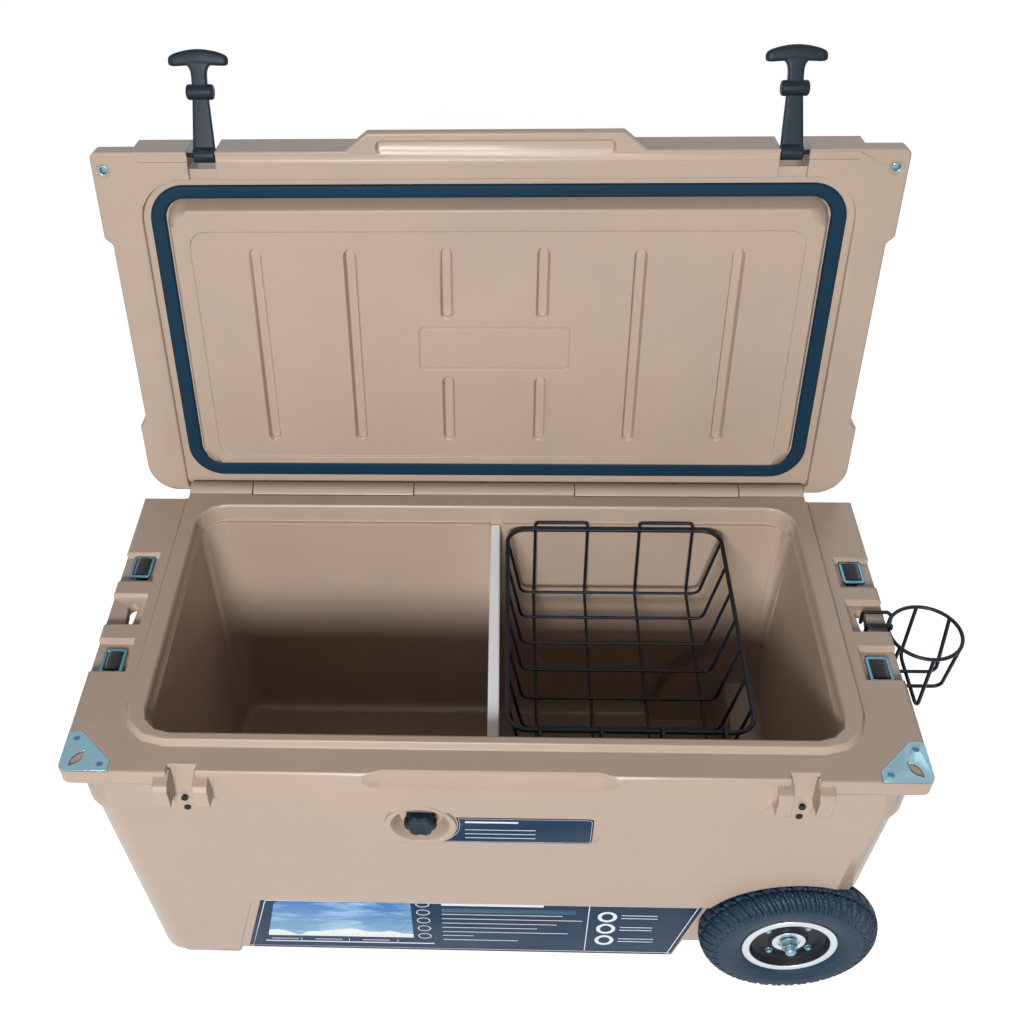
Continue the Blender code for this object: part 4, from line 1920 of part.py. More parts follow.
def make_basket(look):
    """The wire basket, as one welded piece."""
    left, right = BASKET_X
    front, back = BASKET_Y
    top = BASKET_FRAME_HEIGHT
    floor = BASKET_FLOOR_HEIGHT
    wire = BASKET_WIRE_RADIUS
    frame_outline = rounded_rectangle(
        (left + BASKET_FRAME_RADIUS, right - BASKET_FRAME_RADIUS),
        (front + BASKET_FRAME_RADIUS, back - BASKET_FRAME_RADIUS),
        BASKET_CORNER_RADIUS,
        3,
    )
    frame_path = [(u, v, top) for u, v in frame_outline]
    basket = tube("basket", frame_path, BASKET_FRAME_RADIUS, FRAME_SIDES, cyclic=True)
    top_front = front + BASKET_FRAME_RADIUS
    top_back = back - BASKET_FRAME_RADIUS
    for x in BASKET_LONG_WIRES:
        path = [
            (x, top_front, top),
            (x, top_front + BASKET_SIDE_INSET, floor),
            (x, top_back - BASKET_SIDE_INSET, floor),
            (x, top_back, top),
        ]
        join(basket, tube("long_wire", bent(path, BASKET_BEND_RADIUS), wire))
    low_y, high_y = BASKET_CROSS_Y
    top_left = left + BASKET_FRAME_RADIUS
    top_right = right - BASKET_FRAME_RADIUS
    over = floor + wire * 3 / 2
    for number in range(BASKET_CROSS_WIRES):
        y = low_y + (high_y - low_y) * number / (BASKET_CROSS_WIRES - 1)
        path = [
            (top_left, y, top),
            (left + BASKET_END_INSET, y, over),
            (right - BASKET_END_INSET, y, over),
            (top_right, y, top),
        ]
        join(basket, tube("cross_wire", bent(path, BASKET_BEND_RADIUS), wire))
    rest = LEDGE_HEIGHT + BASKET_HOOK_GAP + wire
    for hand, inner, outer in ((1, top_back, OPENING_HALF_DEPTH), (-1, -top_front, OPENING_HALF_DEPTH)):
        reach = outer - wire * 3 / 2 - RUNNING_GAP
        for x_one, x_two in zip(BASKET_LONG_WIRES[::2], BASKET_LONG_WIRES[1::2]):
            path = [
                (x_one, hand * (inner - BASKET_FRAME_RADIUS), rest),
                (x_one, hand * reach, rest),
                (x_two, hand * reach, rest),
                (x_two, hand * (inner - BASKET_FRAME_RADIUS), rest),
            ]
            join(basket, tube("hook", bent(path, wire * 2), wire))
    return finish(basket, look, 60)


def make_cup_holder(look):
    """The wire cup holder that hooks into the keyhole slot."""
    x, y = CUP_CENTRE
    top = CUP_RING_HEIGHT
    wire = CUP_WIRE_RADIUS
    radius = CUP_RING_RADIUS
    ring = [(u, v, top) for u, v in circle((x, y), radius, CUP_RING_STEPS)]
    holder = tube("cup_holder", ring, wire, cyclic=True)
    floor = CUP_DEEP_FLOOR
    path = [(x, y - radius, top), (x, y - radius, floor), (x, y + radius, floor), (x, y + radius, top)]
    join(holder, tube("deep_loop", bent(path, wire * 2), wire))
    over = floor + CUP_FLOOR_STEP
    for hand in (-1, 1):
        wide = math.sqrt(radius ** 2 - CUP_LOOP_TOP_HALF ** 2)
        path = [
            (x - wide, y + hand * CUP_LOOP_TOP_HALF, top),
            (x - wide, y + hand * CUP_LOOP_FLOOR_HALF, over),
            (x + wide, y + hand * CUP_LOOP_FLOOR_HALF, over),
            (x + wide, y + hand * CUP_LOOP_TOP_HALF, top),
        ]
        join(holder, tube("cross_loop", bent(path, wire * 2), wire))
    rest = RIM_HEIGHT - END_RECESS_DEPTH + wire + CUP_HOOK_CLEARANCE
    outside = RIM_HALF_LENGTH + wire + CUP_HOOK_CLEARANCE
    for offset in CUP_HOOK_Y:
        hook_y = END_RECESS_CENTRES[1] + offset
        meet = x - math.sqrt(radius ** 2 - (hook_y - y) ** 2)
        path = [
            (KEYHOLE_X, hook_y, rest - CUP_HOOK_DROP),
            (KEYHOLE_X, hook_y, rest),
            (outside + wire, hook_y, rest),
            (meet, hook_y, top),
        ]
        join(holder, tube("hook", bent(path, wire), wire))
    return finish(holder, look, 60)


def drain_centre():
    """Height of the drain's axis, whose bore ends just over the cavity's floor."""
    return FLOOR_HEIGHT + DRAIN_RISE + DRAIN_BORE_RADIUS


def drain_face():
    """X of the back of the drain's flange, clear of the leaning end wall."""
    return -wall_half_length(drain_centre() + DRAIN_FLANGE_RADIUS) - SEAT_GAP


def make_drain_bore():
    """The round bore through the end wall for the drain."""
    ends = (-RIM_HALF_LENGTH - CUT_OVERRUN, -CAVITY_FLOOR_HALF_LENGTH + CUT_OVERRUN)
    return rod("drain_bore", (0, drain_centre()), DRAIN_BORE_RADIUS + SEAT_GAP, ends, DRAIN_SIDES)


def make_drain_fitting(look):
    """The black drain tube with its flange."""
    face = drain_face()
    out = face - DRAIN_FLANGE_THICKNESS
    inner = -CAVITY_FLOOR_HALF_LENGTH - SEAT_GAP
    bore = DRAIN_BORE_RADIUS - DRAIN_WALL
    profile = (
        (bore, inner),
        (DRAIN_BORE_RADIUS, inner),
        (DRAIN_BORE_RADIUS, face),
        (DRAIN_FLANGE_RADIUS, face),
        (DRAIN_FLANGE_RADIUS, out + DRAIN_FLANGE_THICKNESS / 3),
        (DRAIN_FLANGE_RADIUS - DRAIN_FLANGE_THICKNESS / 3, out),
        (bore, out),
    )
    return finish(lathe("drain_fitting", profile, "X", (0, 0, drain_centre()), DRAIN_SIDES), look)


def make_drain_plug(look):
    """The screw plug in the drain, with a waist for its tether."""
    face = drain_face() - DRAIN_FLANGE_THICKNESS - SEAT_GAP
    stem = DRAIN_BORE_RADIUS - DRAIN_WALL - SEAT_GAP
    waist = face - DRAIN_PLUG_NECK_LENGTH
    out = waist - DRAIN_PLUG_THICKNESS
    profile = (
        (stem - DRAIN_WALL / 2, face + DRAIN_PLUG_STEM),
        (stem, face + DRAIN_PLUG_STEM - DRAIN_WALL),
        (stem, face),
        (DRAIN_PLUG_NECK, face),
        (DRAIN_PLUG_NECK, waist),
        (DRAIN_PLUG_RADIUS, waist),
        (DRAIN_PLUG_RADIUS, out + DRAIN_WALL),
        (DRAIN_PLUG_RADIUS - DRAIN_WALL, out),
    )
    centre = (0, 0, drain_centre())
    plug = drum("drain_plug", profile, "X", centre, DRAIN_SIDES)
    bar_y = (-DRAIN_WALL * 2, DRAIN_WALL * 2)
    bar_z = (centre[2] - DRAIN_PLUG_RADIUS + DRAIN_WALL, centre[2] + DRAIN_PLUG_RADIUS - DRAIN_WALL)
    join(plug, box("bar", (out - DRAIN_PLUG_THICKNESS / 2, out + DRAIN_WALL), bar_y, bar_z))
    return finish(plug, look, origin=(face, 0, centre[2]))


def make_drain_tether(look):
    """The flat strap that keeps the plug with the tub."""
    face = drain_face() - DRAIN_FLANGE_THICKNESS - SEAT_GAP
    middle = face - DRAIN_PLUG_NECK_LENGTH / 2
    thick = DRAIN_TETHER_THICKNESS / 2
    centre_z = drain_centre()
    hole = DRAIN_PLUG_NECK + RUNNING_GAP
    eye = circle((0, centre_z), hole + DRAIN_TETHER_WIDTH, DRAIN_SIDES)
    tether = prism("drain_tether", eye, "X", middle - thick, middle + thick)
    far = centre_z + DRAIN_FLANGE_RADIUS + DRAIN_TETHER_LENGTH
    wall = -wall_half_length(far) - SEAT_GAP
    half = DRAIN_TETHER_WIDTH
    start = centre_z + hole + DRAIN_TETHER_WIDTH / 2
    rise = centre_z + DRAIN_FLANGE_RADIUS
    path = [
        (middle - thick, start),
        (middle - thick, rise),
        (wall - thick * 2, rise + DRAIN_TETHER_LENGTH / 2),
        (wall - thick * 2, far),
        (wall, far),
        (wall, rise + DRAIN_TETHER_LENGTH / 2),
        (middle + thick, rise),
        (middle + thick, start),
    ]
    join(tether, prism("strap", path, "Y", -half, half))
    opening = circle((0, centre_z), hole, DRAIN_SIDES)
    cut(tether, prism("opening", opening, "X", middle - CUT_OVERRUN, middle + CUT_OVERRUN))
    return finish(tether, look)


def centre_on_ground():
    """Shift the whole part until its middle lies over the origin."""
    bpy.context.view_layer.update()
    places = [
        item.matrix_world @ vertex.co
        for item in bpy.data.objects
        if item.type == "MESH"
        for vertex in item.data.vertices
    ]
    across = [place.x for place in places]
    along = [place.y for place in places]
    middle = Vector(((min(across) + max(across)) / 2, (min(along) + max(along)) / 2, 0))
    for item in bpy.data.objects:
        if item.parent is None:
            item.location -= middle
    bpy.context.view_layer.update()



def build():
    """Model every piece of the cooler."""
    for item in list(bpy.data.objects):
        bpy.data.objects.remove(item)
    tan = material("tan_plastic", (0.47, 0.30, 0.195), 0.5, 0)
    rubber = material("black_rubber", (0.010, 0.018, 0.028), 0.5, 0)
    seal = material("gasket_rubber", (0.012, 0.03, 0.05), 0.55, 0)
    steel = material("stainless_steel", (0.45, 0.56, 0.60), 0.25, 1)
    webbing = material("black_webbing", (0.008, 0.010, 0.014), 0.85, 0)
    coated = material("black_wire", (0.008, 0.012, 0.018), 0.3, 0)
    white = material("white_board", (0.82, 0.85, 0.88), 0.5, 0)
    tread = material("tyre_rubber", (0.018, 0.022, 0.028), 0.8, 0)
    silver = material("rim_silver", (0.62, 0.65, 0.68), 0.3, 1)
    enamel = material("black_enamel", (0.01, 0.011, 0.014), 0.25, 0)

    tub = make_tub(tan)
    make_axle(steel)
    make_divider(white)
    make_basket(coated)
    make_cup_holder(coated)
    make_vent_seat(rubber)
    make_vent_button(rubber)
    make_drain_fitting(rubber)
    make_drain_plug(rubber)
    make_drain_tether(rubber)

    lid_frame = empty("lid_hinge_axis", (0, *HINGE_AXIS), -LID_OPEN_ANGLE)
    make_lid(tan, lid_frame)
    make_gasket(seal, lid_frame)
    for hand, side in (("left", -1), ("right", 1)):
        make_hinge_rod(f"hinge_rod_{hand}", side, steel)
        make_lock_bushing(f"lock_bushing_{hand}", side, steel, lid_frame)
        make_latch_pin(f"latch_pin_{hand}", side, steel, lid_frame)
        pin_centre = (side * LATCH_OFFSET, *pin_place())
        latch_frame = empty(f"latch_axis_{hand}", pin_centre, -LATCH_REST_ANGLE, lid_frame)
        make_latch(f"latch_{hand}", side, rubber, latch_frame)
        make_corner_plate(f"corner_plate_{hand}", side, steel)
        for number, place_xy in enumerate(PLATE_SCREWS, 1):
            make_plate_screw(f"plate_screw_{hand}_{number}", side, place_xy, steel)
        for number, height in enumerate(KEEPER_SCREW_HEIGHTS, 1):
            make_keeper_screw(f"keeper_screw_{hand}_{number}", side, height, rubber)
        handle_x = side * (RING_INNER + RING_OUTER) / 2
        handle_frame = empty(f"handle_axis_{hand}", (handle_x, 0, HANDLE_PIVOT))
        make_grip(f"carry_grip_{hand}", rubber, handle_frame)
        for end, centre in (("rear", END_RECESS_CENTRES[0]), ("front", END_RECESS_CENTRES[2])):
            make_strap_ring(f"strap_ring_{hand}_{end}", side, centre, steel)
            make_strap_anchor(f"strap_anchor_{hand}_{end}", side, centre, webbing)
            make_strap_loop(f"strap_loop_{hand}_{end}", side, centre, webbing, handle_frame)
    for hand, side in (("front", -1), ("rear", 1)):
        x, y, z = WHEEL_CENTRE
        wheel_frame = empty(f"wheel_axis_{hand}", (x, side * y, z))
        make_tyre(f"tyre_{hand}", tread, wheel_frame)
        make_rim_half(f"rim_outer_{hand}", side, silver, wheel_frame)
        make_rim_half(f"rim_inner_{hand}", -side, silver, wheel_frame)
        make_hub_disc(f"hub_disc_{hand}", side, enamel, wheel_frame)
        make_hub_sleeve(f"hub_sleeve_{hand}", side, steel, wheel_frame)
        make_axle_nut(f"axle_nut_{hand}", side, steel)
    centre_on_ground()
    return tub


if __name__ == "__main__":
    build()
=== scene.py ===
"""Looks of a wheeled cooler with its lid open: finishes, soft pieces and fine shapes.

Sizes are in metres. Pieces are worked out about the middle of the tub, with +X
toward the wheels, +Y toward the hinge and +Z up, and then moved by the workshop's
home into the frame that the solids stand in.
"""

import logging
import math
from dataclasses import dataclass, field
from enum import Enum
from typing import Callable, Iterable, Optional, Sequence, Union

import bmesh
import bpy
import numpy as np
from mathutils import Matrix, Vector

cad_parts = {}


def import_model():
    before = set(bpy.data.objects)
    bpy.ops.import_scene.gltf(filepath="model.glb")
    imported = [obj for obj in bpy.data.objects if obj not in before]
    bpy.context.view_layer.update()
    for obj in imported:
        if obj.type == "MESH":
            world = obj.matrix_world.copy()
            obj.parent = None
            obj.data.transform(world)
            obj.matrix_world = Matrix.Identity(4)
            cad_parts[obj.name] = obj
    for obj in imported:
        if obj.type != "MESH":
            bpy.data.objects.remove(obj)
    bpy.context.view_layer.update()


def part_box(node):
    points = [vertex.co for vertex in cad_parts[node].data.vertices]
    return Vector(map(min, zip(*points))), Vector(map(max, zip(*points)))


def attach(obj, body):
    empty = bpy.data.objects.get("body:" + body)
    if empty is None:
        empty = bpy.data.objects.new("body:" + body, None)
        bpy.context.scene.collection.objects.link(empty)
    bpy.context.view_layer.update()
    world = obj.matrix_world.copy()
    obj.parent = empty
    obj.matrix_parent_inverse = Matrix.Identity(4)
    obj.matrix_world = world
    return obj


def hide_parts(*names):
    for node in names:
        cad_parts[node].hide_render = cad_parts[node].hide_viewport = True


LOG = logging.getLogger("cooler")

Colour = tuple[float, float, float]
Points = np.ndarray
Setting = Union[float, tuple, bpy.types.NodeSocket]

# Measures that more than one piece uses: how far the tub's box reaches in front of
# its middle, where the strap rings sit off their solids, and the vent's centre.
TUB_FRONT = 0.228
RING_OUT = 0.0030
RING_SHIFTS = {"front": -0.0046, "rear": 0.0055}
VENT_CENTRE = (-0.0715, 0.325)


# ---------------------------------------------------------------- shapes


@dataclass
class Shell:
    """A surface as arrays: points, four-sided faces, flat caps and face-corner UVs."""

    points: Points
    quads: np.ndarray
    caps: list[list[int]] = field(default_factory=list)
    uv: Optional[np.ndarray] = None


def unit(vectors: Points) -> Points:
    """Each vector divided by its length."""
    length = np.linalg.norm(vectors, axis=-1, keepdims=True)
    return vectors / np.maximum(length, 1e-12)


def smooth_step(low: float, high: float, values: Points) -> Points:
    """0 under low, 1 over high, and 3t^2 - 2t^3 between them."""
    share = np.clip((values - low) / (high - low), 0, 1)
    return share * share * (3 - 2 * share)


def fillet(corners: Sequence, radius: Union[float, Sequence[float]], steps: int = 6,
           closed: bool = False) -> Points:
    """Round the corners of a line.

    Each corner becomes an arc that touches both sides at radius / tan(half the
    corner's angle); the arc's points turn evenly between the two touching points.

    Args:
        corners: the corner points, in the plane or in space.
        radius: one radius, or one for each corner.
        steps: parts of each arc.
        closed: whether the last corner joins the first.

    Returns:
        The rounded line's points.
    """
    place = np.asarray(corners, float)
    back = np.roll(place, 1, 0) - place
    ahead = np.roll(place, -1, 0) - place
    shorter = np.minimum(np.linalg.norm(back, axis=1), np.linalg.norm(ahead, axis=1))
    back, ahead = unit(back), unit(ahead)
    half = np.arccos(np.clip((back * ahead).sum(1), -1, 1)) / 2
    half = np.clip(half, 1e-3, math.pi / 2 - 1e-4)
    wanted = np.broadcast_to(np.asarray(radius, float), half.shape)
    touch = np.minimum(wanted / np.tan(half), shorter * 0.49)
    fitted = touch * np.tan(half)
    centre = place + unit(back + ahead) * (fitted / np.sin(half))[:, None]
    start = place + back * touch[:, None] - centre
    end = place + ahead * touch[:, None] - centre
    sweep = (math.pi - 2 * half)[:, None]
    share = np.linspace(0, 1, steps + 1)[None, :]
    first = np.sin((1 - share) * sweep) / np.sin(sweep)
    last = np.sin(share * sweep) / np.sin(sweep)
    arcs = centre[:, None] + first[..., None] * start[:, None] + last[..., None] * end[:, None]
    if closed:
        return arcs.reshape(-1, place.shape[1])
    middle = arcs[1:-1].reshape(-1, place.shape[1])
    return np.concatenate([place[:1], middle, place[-1:]])


def resample(line: Points, count: int, closed: bool = False) -> Points:
    """Points at even distances along a line, by its running length.

    Args:
        line: the line's points, in order.
        count: how many points to give.
        closed: whether the line runs on from its last point to its first.

    Returns:
        The new points.
    """
    points = np.concatenate([line, line[:1]]) if closed else line
    run = np.concatenate([[0], np.cumsum(np.linalg.norm(np.diff(points, axis=0), axis=1))])
    at = np.linspace(0, run[-1], count, endpoint=not closed)
    return np.stack([np.interp(at, run, points[:, axis]) for axis in range(points.shape[1])], axis=1)


def rounded_box(low: Sequence[float], high: Sequence[float], radius: float, steps: int = 6) -> Points:
    """The outline of a rectangle with round corners, anticlockwise from the low corner."""
    corners = [(low[0], low[1]), (high[0], low[1]), (high[0], high[1]), (low[0], high[1])]
    return fillet(corners, radius, steps, closed=True)


def offset_outline(outline: Points, distance: Union[float, Points]) -> Points:
    """A closed outline moved inward: each point goes along the mean of its two edges' normals,
    by the distance over the cosine of half the turn between them.

    Args:
        outline: the outline's points, anticlockwise.
        distance: how far the points go inward: one number, or a column with one for each.

    Returns:
        The moved points.
    """
    edge = unit(np.roll(outline, -1, 0) - outline)
    normal = np.stack([-edge[:, 1], edge[:, 0]], axis=1)
    both = normal + np.roll(normal, 1, 0)
    mean = unit(both)
    stretch = 1 / np.clip((mean * normal).sum(1, keepdims=True), 0.3, 1)
    return outline + mean * stretch * distance


def grid_shell(points: Points, wrap_rows: bool, wrap_columns: bool, capped: bool = False,
               lengths: Optional[tuple[Points, Points]] = None) -> Shell:
    """Faces over a grid of points.

    A face joins the point in row r and column c to its neighbours in the next
    row and column; a wrapped side joins the last to the first.

    Args:
        points: an array of rows, columns and three coordinates.
        wrap_rows: whether the last row joins the first.
        wrap_columns: whether each row is a closed ring.
        capped: whether flat caps close the first and the last row.
        lengths: running lengths of the rows and of the columns, for UVs.

    Returns:
        The surface.
    """
    rows, columns = points.shape[:2]
    row = np.arange(rows if wrap_rows else rows - 1)
    column = np.arange(columns if wrap_columns else columns - 1)
    r, c = np.meshgrid(row, column, indexing="ij")
    above, beside = (r + 1) % rows, (c + 1) % columns
    quads = np.stack([r * columns + c, r * columns + beside, above * columns + beside, above * columns + c],
                     -1)
    uv = None
    if lengths is not None:
        along, across = lengths
        low_v, high_v, low_u, high_u = along[r], along[r + 1], across[c], across[c + 1]
        uv = np.stack([np.stack([low_u, low_v], -1), np.stack([high_u, low_v], -1),
                       np.stack([high_u, high_v], -1), np.stack([low_u, high_v], -1)], -2).reshape(-1, 4, 2)
    caps = []
    if capped:
        caps = [list(range(columns))[::-1], list(range((rows - 1) * columns, rows * columns))]
    return Shell(points.reshape(-1, 3), quads.reshape(-1, 4), caps, uv)


def joined(shells: Iterable[Shell]) -> Shell:
    """Several surfaces as one.

    Args:
        shells: the surfaces.

    Returns:
        Their surface, with UVs where all of them have some.
    """
    parts = list(shells)
    starts = np.cumsum([0] + [len(part.points) for part in parts])
    caps = [[corner + int(start) for corner in cap] for part, start in zip(parts, starts)
            for cap in part.caps]
    quads = np.concatenate([part.quads + start for part, start in zip(parts, starts)])
    uv = np.concatenate([part.uv for part in parts]) if all(part.uv is not None for part in parts) else None
    return Shell(np.concatenate([part.points for part in parts]), quads, caps, uv)


def sweep(path: Points, section: Points, side: Sequence[float], closed: bool = False) -> Shell:
    """Carry a section along a path that lies in one plane.

    At each path point the section's first coordinate runs along side, which is
    square to the plane, and its second along the cross product of the path's
    direction and side. The direction is the difference of the neighbours.

    Args:
        path: the path's points.
        section: the section's closed outline, as (across, out) pairs.
        side: the direction square to the path's plane.
        closed: whether the path is a ring.

    Returns:
        The surface, with UVs in metres.
    """
    if closed:
        ahead = np.roll(path, -1, 0) - np.roll(path, 1, 0)
    else:
        ahead = np.gradient(path, axis=0)
    ahead = unit(ahead)
    across = unit(np.broadcast_to(np.asarray(side, float), path.shape))
    out = unit(np.cross(ahead, across))
    points = path[:, None] + section[None, :, :1] * across[:, None] + section[None, :, 1:] * out[:, None]
    loop = np.concatenate([path, path[:1]])
    run = np.concatenate([[0], np.cumsum(np.linalg.norm(np.diff(loop, axis=0), axis=1))])
    ring = np.concatenate([section, section[:1]])
    round_it = np.concatenate([[0], np.cumsum(np.linalg.norm(np.diff(ring, axis=0), axis=1))])
    return grid_shell(points, closed, True, not closed, (run, round_it))


def circle(radius: float, sides: int) -> Points:
    """Points evenly round a circle."""
    angle = np.arange(sides) * math.tau / sides
    return radius * np.stack([np.cos(angle), np.sin(angle)], axis=1)


def wire(path: Points, radius: float, side: Sequence[float], closed: bool = False, sides: int = 10) -> Shell:
    """A round wire along a path, with its ends drawn in over one radius when it is open.

    Args:
        path: the wire's middle line.
        radius: the wire's radius.
        side: a direction square to the path's plane.
        closed: whether the path runs on from its last point to its first.
        sides: how many sides the round section has.

    Returns:
        The wire's surface.
    """
    shell = sweep(path, circle(radius, sides), side, closed)
    if closed:
        return shell
    rows = shell.points.reshape(len(path), sides, 3)
    first, last = unit(path[0] - path[1]), unit(path[-1] - path[-2])
    bend = np.array([0.98, 0.8, 0.45])
    rise = np.sqrt(1 - bend ** 2) * radius
    tip = path[-1] + (rows[-1] - path[-1])[None] * bend[:, None, None] + last * rise[:, None, None]
    root = path[0] + (rows[0] - path[0])[None] * bend[::-1, None, None] + first * rise[::-1, None, None]
    return grid_shell(np.concatenate([root, rows, tip]), False, True, True)


class Axis(Enum):
    """The axis that a turned piece turns about, with its two other directions."""

    X = ((1, 0, 0), (0, 1, 0), (0, 0, 1))
    Y = ((0, 1, 0), (1, 0, 0), (0, 0, 1))
    Z = ((0, 0, 1), (1, 0, 0), (0, 1, 0))


def turned(profile: Points, axis: Axis, centre: Sequence[float], sides: int = 64,
           open_ends: bool = False) -> Shell:
    """Turn a profile about an axis.

    A profile point (radius, along) goes to centre + along * axis + radius * (cos a, sin a)
    for each angle a round the axis.

    Args:
        profile: (radius, along) pairs; a closed section unless open_ends is set.
        axis: what it turns about.
        centre: where along is 0 on the axis.
        sides: how many angles.
        open_ends: whether the profile runs from cap to cap instead.

    Returns:
        The surface.
    """
    along, first, second = (np.asarray(direction, float) for direction in axis.value)
    angle = np.arange(sides) * math.tau / sides
    spoke = np.cos(angle)[:, None] * first + np.sin(angle)[:, None] * second
    points = (np.asarray(centre, float) + profile[:, None, 1:] * along + profile[:, None, :1] * spoke[None])
    return grid_shell(points, not open_ends, True, open_ends)


def slab(outline: Points, low: float, high: float, edge: float, steps: int = 3) -> Shell:
    """A plate with round edges: the outline is drawn in by edge * (1 - sin a) while its height
    rises by edge * (1 - cos a), at the top and the bottom.

    Args:
        outline: the plate's outline.
        low: height of its underside.
        high: height of its top.
        edge: radius of its round edges.
        steps: steps round each edge.

    Returns:
        The plate's surface.
    """
    turn = np.linspace(0, math.pi / 2, steps + 1)
    draw_in = edge * (1 - np.sin(turn))
    rise = edge * (1 - np.cos(turn))
    heights = np.concatenate([low + rise, high - rise[::-1]])
    inward = np.concatenate([draw_in, draw_in[::-1]])
    rings = [offset_outline(outline, distance) for distance in inward]
    points = np.stack([np.column_stack([ring, np.full(len(ring), height)]) for ring,
                       height in zip(rings, heights)])
    return grid_shell(points, False, True, True)


def swapped(shell: Shell, order: Sequence[int], signs: Sequence[float] = (1, 1, 1)) -> Shell:
    """The same surface with its coordinates taken in another order and sign."""
    return Shell(shell.points[:, list(order)] * np.asarray(signs, float), shell.quads, shell.caps, shell.uv)


def moved(shell: Shell, by: Sequence[float]) -> Shell:
    """The same surface moved."""
    return Shell(shell.points + np.asarray(by, float), shell.quads, shell.caps, shell.uv)


def turned_about_x(points: Points, degrees: float) -> Points:
    """Points turned about the X axis.

    Args:
        points: the points to turn.
        degrees: the angle, from +Y toward +Z.

    Returns:
        The turned points.
    """
    angle = math.radians(degrees)
    cosine, sine = math.cos(angle), math.sin(angle)
    y, z = points[:, 1], points[:, 2]
    return np.stack([points[:, 0], y * cosine - z * sine, y * sine + z * cosine], axis=1)


@dataclass
class ArcFacet:
    """One flat facet of a coarse arc: its two chords, its width and the angle that it spans."""

    face: bmesh.types.BMFace
    chords: list[tuple[bmesh.types.BMEdge, bmesh.types.BMVert, bmesh.types.BMVert]]
    outward: Vector
    width: float
    span: float

    def rise(self, share: float) -> Vector:
        """How far the true arc lies off the chord: r * (cos(span * (share - 1/2)) - cos(span / 2))."""
        radius = self.width / 2 / math.sin(self.span / 2)
        return self.outward * radius * (math.cos(self.span * (share - 0.5)) - math.cos(self.span / 2))

    def along(self, share: float) -> float:
        """How far along the chord an even step of the arc lies, as a share of the chord."""
        return 0.5 + math.sin(self.span * (share - 0.5)) / 2 / math.sin(self.span / 2)


@dataclass
class ArcFiner:
    """Splits the flat facets of coarse arcs in a mesh and sets the new points on the arcs."""

    work: bmesh.types.BMesh
    longest: float
    low: float = math.radians(8.5)
    high: float = math.radians(47)
    lone: float = math.radians(33)
    step: float = math.radians(6)

    def facet(self, face: bmesh.types.BMFace) -> Optional[ArcFacet]:
        """Read a face as a facet of an arc.

        Its sides meet their neighbours at angles of the same sign that are equal,
        or one half of the other at an arc's end, and every corner lies on a side.

        Args:
            face: the face.

        Returns:
            The facet, or None for any other face.
        """
        sides = [edge for edge in face.edges if edge.is_manifold
                 and self.low < abs(edge.calc_face_angle_signed()) < self.high]
        if len(sides) < 2:
            return None
        first = max(sides, key=lambda edge: edge.calc_length())
        start = first.verts[0].co
        across = face.normal.cross(first.verts[1].co - start).normalized()
        reach = {corner: (corner.co - start).dot(across) for corner in face.verts}
        low, high = min(reach.values()), max(reach.values())
        width = high - low
        slack = max(1e-5, width * 0.01)
        if not 1e-4 < width < self.longest or any(min(value - low, high - value) > slack
                                                  for value in reach.values()):
            return None
        chords = [(edge, *sorted(edge.verts, key=reach.get)) for edge in face.edges
                  if abs(reach[edge.verts[0]] - reach[edge.verts[1]]) > width / 2]
        ends = [[edge for edge in face.edges if edge.is_manifold
                 and all(abs(reach[v] - end) <= slack for v in edge.verts)]
                for end in (low, high)]
        if len(chords) != 2 or not all(ends):
            return None
        turns = [max(group, key=lambda edge: edge.calc_length()).calc_face_angle_signed() for group in ends]
        small, big = sorted(abs(turn) for turn in turns)
        even = small > big * 0.85
        if turns[0] * turns[1] <= 0 or not self.low < big < self.high or (even and big > self.lone):
            return None
        if not even and not 0.42 < small / big < 0.58:
            return None
        return ArcFacet(face, chords, face.normal * math.copysign(1, turns[0]), width, big)

    def split_chord(self, facets: list[ArcFacet], chord: tuple, parts: int) -> list[bmesh.types.BMVert]:
        """Split a chord and set its new points on the mean of its facets' arcs.

        Args:
            facets: the facets that the chord belongs to.
            chord: the edge, with its start and its end point.
            parts: how many pieces the chord is split into.

        Returns:
            The new points, from the start to the end.
        """
        edge, start, end = chord
        low, high = start.co.copy(), end.co.copy()
        made = []
        for number in range(1, parts):
            share = number / parts
            rise = sum((facet.rise(share) for facet in facets), Vector()) / len(facets)
            _, point = bmesh.utils.edge_split(edge, start, 0.5)
            point.co = low + (high - low) * facets[0].along(share) + rise
            edge = next(link for link in point.link_edges if link.other_vert(point) is end)
            start = point
            made.append(point)
        return made

    def run(self) -> int:
        """Make every arc finer.

        Returns:
            How many facets were split.
        """
        facets = [facet for facet in map(self.facet, self.work.faces) if facet]
        users: dict = {}
        parts: dict = {}
        for facet in facets:
            for edge, _, _ in facet.chords:
                users.setdefault(edge, []).append(facet)
                parts[edge] = max(parts.get(edge, 2), math.ceil(facet.span / self.step))
        for _ in facets:
            uneven = [facet for facet in facets if parts[facet.chords[0][0]] != parts[facet.chords[1][0]]]
            if not uneven:
                break
            for facet in uneven:
                most = max(parts[chord[0]] for chord in facet.chords)
                parts.update({chord[0]: most for chord in facet.chords})
        made = {}
        for facet in facets:
            for chord in facet.chords:
                key = frozenset(chord[1:])
                if key not in made:
                    made[key] = (chord[1], self.split_chord(users[chord[0]], chord, parts[chord[0]]))
        for facet in facets:
            rows = [made[frozenset(chord[1:])] for chord in facet.chords]
            lines = [row if start is chord[1] else row[::-1] for (start, row),
                     chord in zip(rows, facet.chords)]
            for one, other in zip(*lines):
                shared = set(one.link_faces) & set(other.link_faces)
                if shared:
                    bmesh.utils.face_split(shared.pop(), one, other)
        self.work.normal_update()
        return len(facets)


# ---------------------------------------------------------------- finishes


